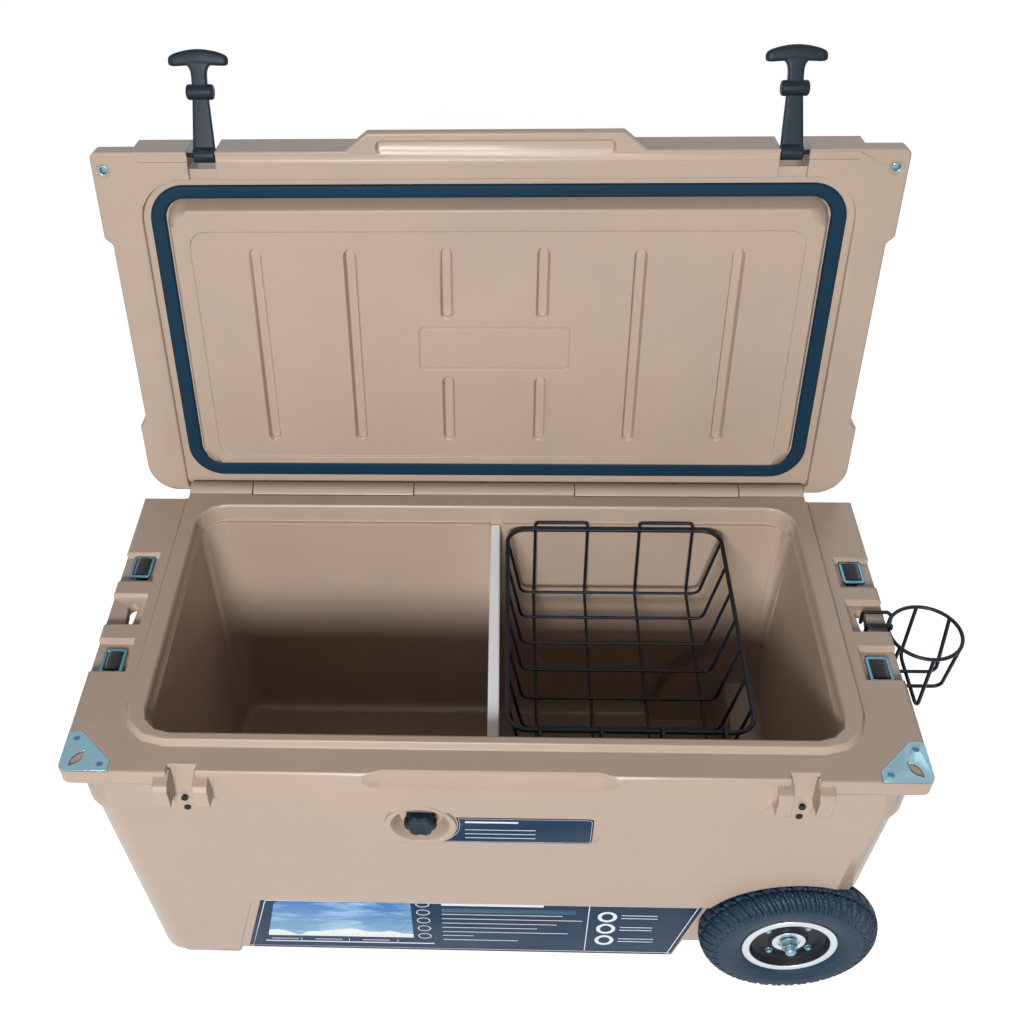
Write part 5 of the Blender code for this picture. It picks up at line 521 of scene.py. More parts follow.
class Sketch:
    """A short way to lay out a shader's nodes."""

    def __init__(self, tree: bpy.types.NodeTree) -> None:
        """Keep the tree that nodes are added to."""
        self.tree = tree

    def add(self, kind: str, inputs: Optional[dict[Union[str, int], Setting]] = None,
            **settings: object) -> bpy.types.Node:
        """Add a node.

        Args:
            kind: the node's type, without its ShaderNode start.
            inputs: values or sockets for its inputs, by name or number.
            settings: the node's own settings.

        Returns:
            The node.
        """
        node = self.tree.nodes.new("ShaderNode" + kind)
        for name, value in settings.items():
            setattr(node, name, value)
        for name, value in (inputs or {}).items():
            if isinstance(value, bpy.types.NodeSocket):
                self.tree.links.new(value, node.inputs[name])
            else:
                node.inputs[name].default_value = value
        return node

    def math(self, operation: str, first: Setting, second: Setting = 0.0,
             clamp: bool = False) -> bpy.types.NodeSocket:
        """One sum on two values."""
        return self.add("Math", {0: first, 1: second}, operation=operation, use_clamp=clamp).outputs[0]

    def noise(self, place: Setting, scale: float, detail: float = 3.0,
              roughness: float = 0.5) -> bpy.types.NodeSocket:
        """Smooth noise over a place."""
        sockets = {"Vector": place, "Scale": scale, "Detail": detail, "Roughness": roughness}
        return self.add("TexNoise", sockets).outputs[0]

    def mix(self, share: Setting, first: Setting, second: Setting) -> bpy.types.NodeSocket:
        """A blend of two colours.

        Args:
            share: how much of the second colour shows.
            first: the colour at a share of 0.
            second: the colour at a share of 1.

        Returns:
            The blended colour's socket.
        """
        node = self.add("Mix", {"Factor": share}, data_type="RGBA")
        for index, value in ((6, first), (7, second)):
            if isinstance(value, bpy.types.NodeSocket):
                self.tree.links.new(value, node.inputs[index])
            else:
                node.inputs[index].default_value = value
        return node.outputs[2]

    def ramp(self, value: Setting, low: float, high: float, to_low: float = 0.0,
             to_high: float = 1.0) -> bpy.types.NodeSocket:
        """A value carried from one range to another, and held at its ends."""
        sockets = {"Value": value, "From Min": low, "From Max": high, "To Min": to_low, "To Max": to_high}
        return self.add("MapRange", sockets, clamp=True).outputs[0]


def new_group(name: str, inputs: dict[str, float], outputs: dict[str, str]) -> tuple[Sketch, bpy.types.Node,
                                                                                     bpy.types.Node]:
    """Start a node group.

    Args:
        name: the group's name.
        inputs: its number inputs and their usual values.
        outputs: its outputs and their socket types.

    Returns:
        The sketch, the group's input node and its output node.
    """
    tree = bpy.data.node_groups.new(name, "ShaderNodeTree")
    for label, value in inputs.items():
        tree.interface.new_socket(label, in_out="INPUT", socket_type="NodeSocketFloat").default_value = value
    for label, kind in outputs.items():
        tree.interface.new_socket(label, in_out="OUTPUT", socket_type=kind)
    return Sketch(tree), tree.nodes.new("NodeGroupInput"), tree.nodes.new("NodeGroupOutput")


def object_place(sketch: Sketch) -> bpy.types.NodeSocket:
    """Object coordinates."""
    return sketch.add("TexCoord").outputs["Object"]


def make_soft_edges() -> bpy.types.NodeTree:
    """A group that rounds edges in the shading and marks them: the mark is how far the rounded
    normal leaves the true one.

    Returns:
        The group's node tree.
    """
    sketch, given, result = new_group("soft_edges", {"Radius": 0.002},
                                      {"Normal": "NodeSocketVector", "Edge": "NodeSocketFloat"})
    bevel = sketch.add("Bevel", {"Radius": given.outputs["Radius"]}, samples=6)
    true_normal = sketch.add("NewGeometry").outputs["Normal"]
    match = sketch.add("VectorMath", {0: bevel.outputs[0], 1: true_normal},
                       operation="DOT_PRODUCT").outputs["Value"]
    sketch.tree.links.new(bevel.outputs[0], result.inputs["Normal"])
    sketch.tree.links.new(sketch.ramp(match, 1.0, 0.75), result.inputs["Edge"])
    return sketch.tree


def make_mottle() -> bpy.types.NodeTree:
    """A group of slow patches and fine specks: patches from two noises, specks from a third.

    Returns:
        The group's node tree.
    """
    sketch, given, result = new_group("mottle", {"Patch Scale": 7.0, "Speck Scale": 900.0},
                                      {"Patch": "NodeSocketFloat", "Speck": "NodeSocketFloat"})
    place = object_place(sketch)
    patch = sketch.add("TexNoise",
                       {"Vector": place, "Scale": given.outputs["Patch Scale"], "Detail": 4.0}).outputs[0]
    speck = sketch.add("TexNoise",
                       {"Vector": place, "Scale": given.outputs["Speck Scale"], "Detail": 2.0}).outputs[0]
    sketch.tree.links.new(sketch.ramp(patch, 0.3, 0.7), result.inputs["Patch"])
    sketch.tree.links.new(sketch.ramp(speck, 0.25, 0.75), result.inputs["Speck"])
    return sketch.tree


def make_scuffs() -> bpy.types.NodeTree:
    """A group of fine scratches: thin bands where a stretched noise crosses its middle,
    kept only inside patches of a slower noise.

    Returns:
        The group's node tree.
    """
    sketch, given, result = new_group("scuffs", {"Scale": 30.0, "Amount": 0.5}, {"Mask": "NodeSocketFloat"})
    place = object_place(sketch)
    turned_place = sketch.add("Mapping", {"Vector": place, "Rotation": (0.5, 0.3, 0.9),
                                          "Scale": (1.0, 14.0, 6.0)}).outputs[0]
    line = sketch.add("TexNoise",
                      {"Vector": turned_place, "Scale": given.outputs["Scale"], "Detail": 2.0}).outputs[0]
    thin = sketch.ramp(sketch.math("ABSOLUTE", sketch.math("SUBTRACT", line, 0.5)), 0.006, 0.0)
    where = sketch.ramp(sketch.noise(place, 11.0, 2.0), 0.55, 0.68)
    amount = sketch.math("MULTIPLY", where, given.outputs["Amount"])
    sketch.tree.links.new(sketch.math("MULTIPLY", thin, amount), result.inputs["Mask"])
    return sketch.tree


GROUP_MAKERS = {"soft_edges": make_soft_edges, "mottle": make_mottle, "scuffs": make_scuffs}


def placed_group(sketch: Sketch, name: str, **values: float) -> bpy.types.Node:
    """A shared node group in a material, made the first time that it is asked for.

    Args:
        sketch: the sketch of the material.
        name: the group's name in GROUP_MAKERS.
        **values: the group's inputs, in lower case and with underscores.

    Returns:
        The group's node.
    """
    tree = bpy.data.node_groups.get(name) or GROUP_MAKERS[name]()
    node = sketch.tree.nodes.new("ShaderNodeGroup")
    node.node_tree = tree
    for label, value in values.items():
        node.inputs[label.replace("_", " ").title()].default_value = value
    return node


class Relief(Enum):
    """What the surface of a finish is like close up."""

    MOULDED = "moulded"
    RUBBER = "rubber"
    BRUSHED = "brushed"
    WOVEN = "woven"
    BOARD = "board"
    COATED = "coated"
    TREAD = "tread"
    PRINT = "print"


@dataclass(frozen=True)
class Finish:
    """A finish: its colour, its gloss and its close-up relief."""

    name: str
    colour: Colour
    roughness: float
    relief: Relief
    metallic: float = 0.0
    edge: float = 0.0015
    # how strong the scratches and the lighter edges are; the lighter edges are mostly a painted highlight
    # along the rounded edges, partly wear
    wear_and_sheen: float = 0.2
    depth: float = 0.00008
    grain: float = 700.0
    coat: float = 0.0
    shine: float = 0.4
    slot: Optional[str] = None

    def shade(self, factor: float) -> tuple[float, float, float, float]:
        """The colour times a factor."""
        return (*(min(1.0, part * factor) for part in self.colour), 1.0)

    def height(self, sketch: Sketch, speck: bpy.types.NodeSocket) -> bpy.types.NodeSocket:
        """The height of the relief, from 0 to 1.

        Args:
            sketch: the sketch of the material.
            speck: the socket of the fine specks.

        Returns:
            The height's socket.
        """
        place = object_place(sketch)
        if self.relief is Relief.BRUSHED:
            lines = sketch.add("Mapping", {"Vector": place, "Scale": (40.0, 1500.0, 1500.0)}).outputs[0]
            return sketch.noise(lines, 1.0, 2.0)
        if self.relief is Relief.WOVEN:
            uv = sketch.add("TexCoord").outputs["UV"]
            ribs = sketch.add("TexWave", {"Vector": uv, "Scale": 260.0, "Distortion": 0.6, "Detail": 1.0},
                              bands_direction="Y").outputs[1]
            warp = sketch.add("TexWave", {"Vector": uv, "Scale": 130.0, "Distortion": 0.4, "Detail": 1.0},
                              bands_direction="X").outputs[1]
            return sketch.math("ADD", sketch.math("MULTIPLY", ribs, 0.6), sketch.math("MULTIPLY", warp, 0.4))
        if self.relief is Relief.MOULDED:
            cells = sketch.add("TexVoronoi", {"Vector": place, "Scale": self.grain},
                               feature="SMOOTH_F1").outputs[0]
            waves = sketch.noise(place, 26.0, 2.0)
            peel = sketch.math("ADD", sketch.math("MULTIPLY", cells, 0.35),
                               sketch.math("MULTIPLY", speck, 0.3))
            return sketch.math("ADD", peel, sketch.math("MULTIPLY", waves, 4.0))
        return speck

    def make(self) -> bpy.types.Material:
        """Lay out the material, or return it if it is there already.

        Returns:
            The material.
        """
        known = bpy.data.materials.get(self.name)
        if known:
            return known
        result = bpy.data.materials.new(self.name)
        result.use_nodes = True
        sketch = Sketch(result.node_tree)
        shader = result.node_tree.nodes["Principled BSDF"]
        soft = placed_group(sketch, "soft_edges", radius=self.edge)
        mottle = placed_group(sketch, "mottle", patch_scale=8.0, speck_scale=self.grain)
        scuffs = placed_group(sketch, "scuffs", amount=self.wear_and_sheen)
        tone = sketch.mix(mottle.outputs["Patch"], self.shade(0.965), self.shade(1.035))
        tone = sketch.mix(sketch.math("MULTIPLY", mottle.outputs["Speck"], 0.25), tone, self.shade(0.9))
        # Painted highlight: the rounded-edge mark lightens the colour along every edge as a sheen, with a
        # little wear mixed in
        edge_wear_and_sheen = sketch.math("MULTIPLY", soft.outputs["Edge"], self.wear_and_sheen)
        tone = sketch.mix(edge_wear_and_sheen, tone, self.shade(1.35))
        tone = sketch.mix(scuffs.outputs["Mask"], tone, self.shade(1.25))
        rough = sketch.ramp(mottle.outputs["Patch"], 0.0, 1.0, self.roughness - 0.04, self.roughness + 0.05)
        rough = sketch.math("ADD", rough, sketch.math("MULTIPLY", scuffs.outputs["Mask"], 0.15))
        height = self.height(sketch, mottle.outputs["Speck"])
        bump = sketch.add("Bump", {"Strength": 1.0, "Distance": self.depth, "Height": height,
                                   "Normal": soft.outputs["Normal"]})
        for socket, source in (("Base Color", tone), ("Roughness", rough), ("Normal", bump.outputs[0])):
            sketch.tree.links.new(source, shader.inputs[socket])
        shader.inputs["Metallic"].default_value = self.metallic
        shader.inputs["Coat Weight"].default_value = self.coat
        shader.inputs["Coat Roughness"].default_value = 0.12
        shader.inputs["Specular IOR Level"].default_value = self.shine
        if self.relief is Relief.WOVEN:
            shader.inputs["Sheen Weight"].default_value = 0.25
            shader.inputs["Sheen Roughness"].default_value = 0.4
        result.diffuse_color = self.shade(1.0)
        return result


TAN = Finish("satin_tan", (0.435, 0.332, 0.262), 0.33, Relief.MOULDED, edge=0.0020, wear_and_sheen=0.16, depth=0.00008,
             grain=620.0, slot="tan_plastic")
RUBBER = Finish("latch_rubber", (0.006, 0.016, 0.026), 0.45, Relief.RUBBER, edge=0.0010, wear_and_sheen=0.3,
                depth=0.00005,
                grain=900.0, shine=0.2, slot="black_rubber")
SEAL = Finish("seal_rubber", (0.007, 0.030, 0.058), 0.55, Relief.RUBBER, edge=0.0008, wear_and_sheen=0.2, depth=0.00004,
              grain=700.0, shine=0.1, slot="gasket_rubber")
STEEL = Finish("brushed_steel", (0.23, 0.38, 0.44), 0.27, Relief.BRUSHED, metallic=1.0, edge=0.0005, wear_and_sheen=0.3,
               depth=0.00003, slot="stainless_steel")
RING_STEEL = Finish("dark_steel", (0.09, 0.22, 0.29), 0.30, Relief.BRUSHED, metallic=1.0, edge=0.0006,
                    wear_and_sheen=0.5,
                    depth=0.00003, slot="stainless_steel")
WEBBING = Finish("black_web", (0.010, 0.012, 0.017), 0.80, Relief.WOVEN, edge=0.0004, wear_and_sheen=0.1, depth=0.00035,
                 slot="black_webbing")
COATING = Finish("dipped_black", (0.006, 0.010, 0.016), 0.38, Relief.COATED, edge=0.0006, wear_and_sheen=0.2,
                 depth=0.00004,
                 grain=500.0, coat=0.05, shine=0.2, slot="black_wire")
BOARD = Finish("white_sheet", (0.86, 0.88, 0.90), 0.45, Relief.BOARD, edge=0.0012, wear_and_sheen=0.1, depth=0.00004,
               grain=600.0, slot="white_board")
TYRE = Finish("tyre_black", (0.003, 0.021, 0.045), 0.50, Relief.TREAD, edge=0.0008, wear_and_sheen=0.35, depth=0.00006,
              grain=800.0, shine=0.3, slot="tyre_rubber")
SILVER = Finish("silver_paint", (0.60, 0.65, 0.68), 0.32, Relief.COATED, metallic=0.85, edge=0.0006, wear_and_sheen=0.2,
                depth=0.00003, slot="rim_silver")
ENAMEL = Finish("black_gloss", (0.006, 0.009, 0.012), 0.38, Relief.COATED, edge=0.0008, wear_and_sheen=0.25,
                depth=0.00003,
                coat=0.05, shine=0.15, slot="black_enamel")
PLATE_PRINT = Finish("dark_print", (0.008, 0.030, 0.068), 0.45, Relief.PRINT, edge=0.0003, wear_and_sheen=0.1,
                     depth=0.00001,
                     shine=0.1)
BAR_PRINT = Finish("bar_print", (0.020, 0.075, 0.150), 0.45, Relief.PRINT, edge=0.0003, wear_and_sheen=0.1,
                   depth=0.00001,
                   shine=0.2)
LINE_PRINT = Finish("pale_print", (0.72, 0.76, 0.80), 0.35, Relief.PRINT, edge=0.0002, wear_and_sheen=0.1,
                    depth=0.00001)


@dataclass(frozen=True)
class SeaPrint:
    """A printed picture panel of open water under a pale sky, made of noise bands."""

    name: str = "sea_print"

    def make(self) -> bpy.types.Material:
        """Lay out the material: deep blue to pale blue by height, with noise-bent light streaks,
        and a pale bank along the foot where height is under a slow noise.

        Returns:
            The material, made once and then found by its name.
        """
        known = bpy.data.materials.get(self.name)
        if known:
            return known
        result = bpy.data.materials.new(self.name)
        result.use_nodes = True
        sketch = Sketch(result.node_tree)
        shader = result.node_tree.nodes["Principled BSDF"]
        place = object_place(sketch)
        split = sketch.add("SeparateXYZ", {0: place})
        height = sketch.ramp(split.outputs["Z"], 0.05, 0.135)
        stretched = sketch.add("Mapping", {"Vector": place, "Rotation": (0.0, 0.35, 0.0),
                                           "Scale": (14.0, 14.0, 70.0)}).outputs[0]
        streak = sketch.ramp(sketch.noise(stretched, 1.0, 5.0, 0.62), 0.48, 0.72)
        base = sketch.mix(height, (0.05, 0.30, 0.50, 1.0), (0.015, 0.14, 0.42, 1.0))
        base = sketch.mix(sketch.math("MULTIPLY", streak, 0.85), base, (0.50, 0.74, 0.88, 1.0))
        bank_line = sketch.math("ADD", sketch.math("MULTIPLY", sketch.noise(place, 16.0, 2.0), 0.7), -0.12)
        bank = sketch.ramp(sketch.math("SUBTRACT", bank_line, height), 0.0, 0.03)
        base = sketch.mix(bank, base, (0.78, 0.82, 0.82, 1.0))
        sketch.tree.links.new(base, shader.inputs["Base Color"])
        grain = sketch.ramp(sketch.noise(place, 400.0, 2.0), 0.2, 0.8, 0.2, 0.3)
        sketch.tree.links.new(grain, shader.inputs["Roughness"])
        return result


SEA = SeaPrint()
AnyFinish = Union[Finish, SeaPrint]


# ---------------------------------------------------------------- pieces


@dataclass
class Workshop:
    """Puts pieces in the scene at the solids' place."""

    home: Vector
    made: list[str] = field(default_factory=list)

    def add(self, name: str, shell: Shell, finish: AnyFinish, body: str, replaces: Sequence[str] = (),
            sharp: float = 40.0) -> bpy.types.Object:
        """Make a piece.

        Args:
            name: the piece's name.
            shell: its surface, about the middle of the tub.
            finish: its finish.
            body: the body that it rides on.
            replaces: the solids' nodes that it stands for.
            sharp: edges that turn by more degrees than this stay sharp.

        Returns:
            The piece's object.
        """
        mesh = bpy.data.meshes.new(name)
        faces = shell.quads.tolist() + shell.caps
        mesh.from_pydata((shell.points + np.asarray(self.home)).tolist(), [], faces)
        if shell.uv is not None:
            layer = mesh.uv_layers.new(name="UVMap")
            corners = np.zeros((len(mesh.loops), 2), np.float32)
            corners[: len(shell.quads) * 4] = shell.uv.reshape(-1, 2)
            layer.data.foreach_set("uv", corners.ravel())
        work = bmesh.new()
        work.from_mesh(mesh)
        bmesh.ops.remove_doubles(work, verts=work.verts, dist=1e-6)
        bmesh.ops.recalc_face_normals(work, faces=work.faces)
        work.to_mesh(mesh)
        work.free()
        return self.dress(name, mesh, finish, body, replaces, sharp)

    def dress(self, name: str, mesh: bpy.types.Mesh, finish: AnyFinish, body: str, replaces: Sequence[str],
              sharp: float) -> bpy.types.Object:
        """Give a mesh its object, finish, body and the nodes that it stands for.

        Args:
            name: the piece's name.
            mesh: its mesh.
            finish: its finish.
            body: the body that it rides on.
            replaces: the solids' nodes that it stands for.
            sharp: edges that turn by more degrees than this stay sharp.

        Returns:
            The piece's object.
        """
        mesh.materials.clear()
        mesh.materials.append(finish.make())
        mesh.polygons.foreach_set("use_smooth", np.ones(len(mesh.polygons), bool))
        mesh.set_sharp_from_angle(angle=math.radians(sharp))
        piece = bpy.data.objects.new(name, mesh)
        bpy.context.scene.collection.objects.link(piece)
        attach(piece, body)
        if replaces:
            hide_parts(*replaces)
        getattr(finish, "slot", None)
        self.made.append(name)
        LOG.info("%s: %d faces", name, len(mesh.polygons))
        return piece

    def copy_of(self, node: str, name: str, finish: Finish, body: str, width: float, segments: int = 2,
                angle: float = 28.0, sharp: float = 180.0, arc: float = 0.02,
                reshape: Optional[Callable[[Points], Points]] = None) -> bpy.types.Object:
        """A merged copy of a solid's mesh with round edges.

        Args:
            node: the solid's node.
            name: the new piece's name.
            finish: its finish.
            body: the body that it rides on.
            width: how wide the rounding is.
            segments: its faces across.
            angle: edges that turn by more degrees than this are rounded.
            sharp: edges that turn by more degrees than this stay sharp.
            arc: facets wider than this aren't read as parts of an arc.
            reshape: moves the points, given and returned about the middle of the tub.

        Returns:
            The piece's object.
        """
        mesh = bpy.data.objects[node].data.copy()
        mesh.name = name
        work = bmesh.new()
        work.from_mesh(mesh)
        bmesh.ops.remove_doubles(work, verts=work.verts, dist=2e-6)
        bmesh.ops.dissolve_limit(work, angle_limit=math.radians(0.4), verts=work.verts, edges=work.edges)
        before = work.calc_volume()
        facets = ArcFiner(work, arc).run()
        change = 100 * (work.calc_volume() / before - 1)
        LOG.info("%s: %d facets of arcs made finer, volume changed by %.3f %%", name, facets, change)
        work.to_mesh(mesh)
        work.free()
        if reshape:
            points = np.zeros(len(mesh.vertices) * 3)
            mesh.vertices.foreach_get("co", points)
            home = np.asarray(self.home)
            mesh.vertices.foreach_set("co", (reshape(points.reshape(-1, 3) - home) + home).ravel())
        piece = self.dress(name, mesh, finish, body, [node], sharp)
        if width:
            bevel = piece.modifiers.new("round_edges", "BEVEL")
            bevel.width = width
            bevel.segments = segments
            bevel.limit_method = "ANGLE"
            bevel.angle_limit = math.radians(angle)
            bevel.use_clamp_overlap = True
            bevel.harden_normals = False
        else:
            even = piece.modifiers.new("flat_faces", "WEIGHTED_NORMAL")
            even.keep_sharp = True
        return piece

    def keep(self, node: str, finish: Finish) -> None:
        """Leave a solid's node in the scene with a better finish.

        Args:
            node: the node's name.
            finish: the finish that it gets.
        """
        target = bpy.data.objects[node]
        target.data.materials.clear()
        target.data.materials.append(finish.make())
        LOG.info("%s kept", node)


@dataclass
class Tub:
    """The moulded tub with its fixed trim."""

    shop: Workshop
    rim_height: float = 0.4154
    screw_radius: float = 0.0034
    plate_screws: tuple = ((0.4140, 0.174), (0.3835, 0.205))
    screw_head: float = 0.0036
    ring_band: float = 0.0040
    ring_thick: float = 0.0022
    ring_bar: float = 0.0013
    ring_corner: float = 0.0024
    ring_grow: tuple = (0.0006, 0.0010)
    keyhole_x: float = 0.400
    keyhole_y: tuple = (-0.0112, 0.0252)
    keyhole_half: float = 0.0068
    keyhole_slack: float = 0.0005
    keyhole_floor: float = 0.39
    slot_forward: float = 0.0062
    slot_stretch: float = 1.20
    slot_end: float = 0.006
    slot_spread: float = 0.3
    cavity: tuple = (0.349, 0.168)
    cavity_top: float = 0.401
    steepness: float = 0.80
    front: float = 0.214
    scallop_half: float = 0.126
    scallop_heights: tuple = (0.392, 0.4150)
    scallop_dents: tuple = (0.0012, 0.0095)
    scallop_deeper: float = 0.35

    def build(self) -> None:
        """Build the tub, its plates, rings and screws."""
        shell = self.shop.copy_of("tub", "tub_shell", TAN, "tub", 0.0, sharp=30, arc=0.05,
                                  reshape=self.reshaped)
        self.soften_cavity(shell.data)
        for hand, side in (("left", -1), ("right", 1)):
            self.shop.copy_of(f"corner_plate_{hand}", f"lock_plate_{hand}", STEEL, "tub", 0.0003, sharp=60)
            self.shop.keep(f"hinge_rod_{hand}", STEEL)
            for number, (x, back) in enumerate(self.plate_screws, 1):
                self.plate_screw(f"{hand}_{number}", (side * x, -back))
            for number in (1, 2):
                self.keeper_screw(f"{hand}_{number}")
            for end, shift in RING_SHIFTS.items():
                self.build_ring(f"{hand}_{end}", (side * RING_OUT, shift))

    def soften_cavity(self, mesh: bpy.types.Mesh) -> None:
        """Take the sharp mark off the cavity's upright corner edges.

        Args:
            mesh: the tub's mesh, whose marks are changed.
        """
        points = np.zeros(len(mesh.vertices) * 3)
        mesh.vertices.foreach_get("co", points)
        ends = np.zeros(len(mesh.edges) * 2, int)
        mesh.edges.foreach_get("vertices", ends)
        pairs = (points.reshape(-1, 3) - np.asarray(self.shop.home))[ends.reshape(-1, 2)]
        run = pairs[:, 1] - pairs[:, 0]
        steep = np.abs(run[:, 2]) > self.steepness * np.linalg.norm(run, axis=1)
        under = (pairs[..., 2] < self.cavity_top).all(axis=1)
        inside = (np.abs(pairs[..., :2]) < self.cavity).all(axis=(1, 2)) & under
        marks = np.zeros(len(mesh.edges), bool)
        mesh.attributes["sharp_edge"].data.foreach_get("value", marks)
        mesh.attributes["sharp_edge"].data.foreach_set("value", marks & ~(steep & inside))
        LOG.info("%d upright edges of the cavity made smooth", int((marks & steep & inside).sum()))

    def reshaped(self, points: Points) -> Points:
        """Keyhole points moved forward and spread along Y by a fifth, and across the slot's
        narrow part by three tenths. The finger scallop's dents go deeper by about a third.

        Args:
            points: the tub's points, about its own middle.

        Returns:
            The points after the moves.
        """
        x, y, z = points.T
        low, high = self.keyhole_y
        slack = self.keyhole_slack
        across = np.abs(x) - self.keyhole_x
        inside = (np.abs(across) < self.keyhole_half) & (y > low - slack) & (y < high + slack)
        inside &= z > self.keyhole_floor
        longer = np.where(inside, low - self.slot_forward + (y - low) * self.slot_stretch, y)
        wider = np.where(inside & (y < self.slot_end), x + np.sign(x) * across * self.slot_spread, x)
        dent = y + self.front
        shallow, deep = self.scallop_dents
        foot, top = self.scallop_heights
        scallop = (np.abs(x) < self.scallop_half) & (dent > shallow) & (dent < deep) & (z > foot) & (z < top)
        return np.stack([wider, np.where(scallop, y + dent * self.scallop_deeper, longer), z], axis=1)

    def build_ring(self, label: str, shift: tuple[float, float]) -> None:
        """A strap ring: a flat band with round edges swept round a rectangle, and a bar across
        its window.

        Args:
            label: the ring's side and end, such as left_front.
            shift: how far the ring lies off its solid in X and Y.
        """
        low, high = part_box(f"strap_ring_{label}")
        middle = (low + high) / 2 - self.shop.home
        half_x = (high.x - low.x - self.ring_band) / 2 + self.ring_grow[0]
        half_y = (high.y - low.y - self.ring_band) / 2 + self.ring_grow[1]
        path = rounded_box((-half_x, -half_y), (half_x, half_y), self.ring_corner, 5)
        section = rounded_box((-self.ring_band / 2, -self.ring_thick / 2),
                              (self.ring_band / 2, self.ring_thick / 2),
                              self.ring_thick * 0.35, 3)[:, ::-1]
        top = high.z - self.shop.home.z - self.ring_thick / 2
        band = sweep(np.column_stack([path, np.zeros(len(path))]), section, (0, 0, 1), closed=True)
        along = np.linspace(-half_y, half_y, 12)
        bar = wire(np.column_stack([np.zeros(12), along, np.zeros(12)]), self.ring_bar, (0, 0, 1))
        shell = moved(joined([band, bar]), (middle.x + shift[0], middle.y + shift[1], top))
        self.shop.add(f"ring_{label}", shell, RING_STEEL, "tub", [f"strap_ring_{label}"], sharp=50)

    def plate_screw(self, label: str, place: tuple[float, float]) -> None:
        """A countersunk screw with a pressed socket: the head's height dips by a smooth step
        inside the socket's radius.

        Args:
            label: the screw's side and number, such as left_1.
            place: its centre in X and Y.
        """
        radius = self.screw_radius
        top = self.rim_height + 0.0004
        profile = np.array([(0.0002, -0.0014), (0.30 * radius, -0.0014), (0.40 * radius, -0.0002),
                            (0.62 * radius, 0.0),
                            (0.92 * radius, -0.0003), (radius, -0.0007), (0.0018, -0.0016), (0.0018, -0.0120),
                            (0.0002, -0.0120)])
        shell = turned(profile, Axis.Z, (place[0], place[1], top), 24, open_ends=True)
        self.shop.add(f"plate_bolt_{label}", shell, RING_STEEL, "tub", [f"plate_screw_{label}"], sharp=50)

    def keeper_screw(self, label: str) -> None:
        """A black pan-head screw in the keeper's notch.

        Args:
            label: the screw's side and number, such as left_1.
        """
        low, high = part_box(f"keeper_screw_{label}")
        head = self.screw_head
        x = (low.x + high.x) / 2 - self.shop.home.x
        z = (low.z + high.z) / 2 - self.shop.home.z
        front = low.y - self.shop.home.y
        profile = np.array([(0.0003, 0.0011), (0.30 * head, 0.0011), (0.42 * head, 0.0001),
                            (0.70 * head, 0.0001),
                            (0.93 * head, 0.0006), (head, 0.0014), (head, 0.0016), (0.0018, 0.0016),
                            (0.0018, 0.0105),
                            (0.0003, 0.0105)])
        shell = turned(profile, Axis.Y, (x, front, z), 24, open_ends=True)
        self.shop.add(f"keeper_bolt_{label}", shell, RUBBER, "tub", [f"keeper_screw_{label}"], sharp=50)


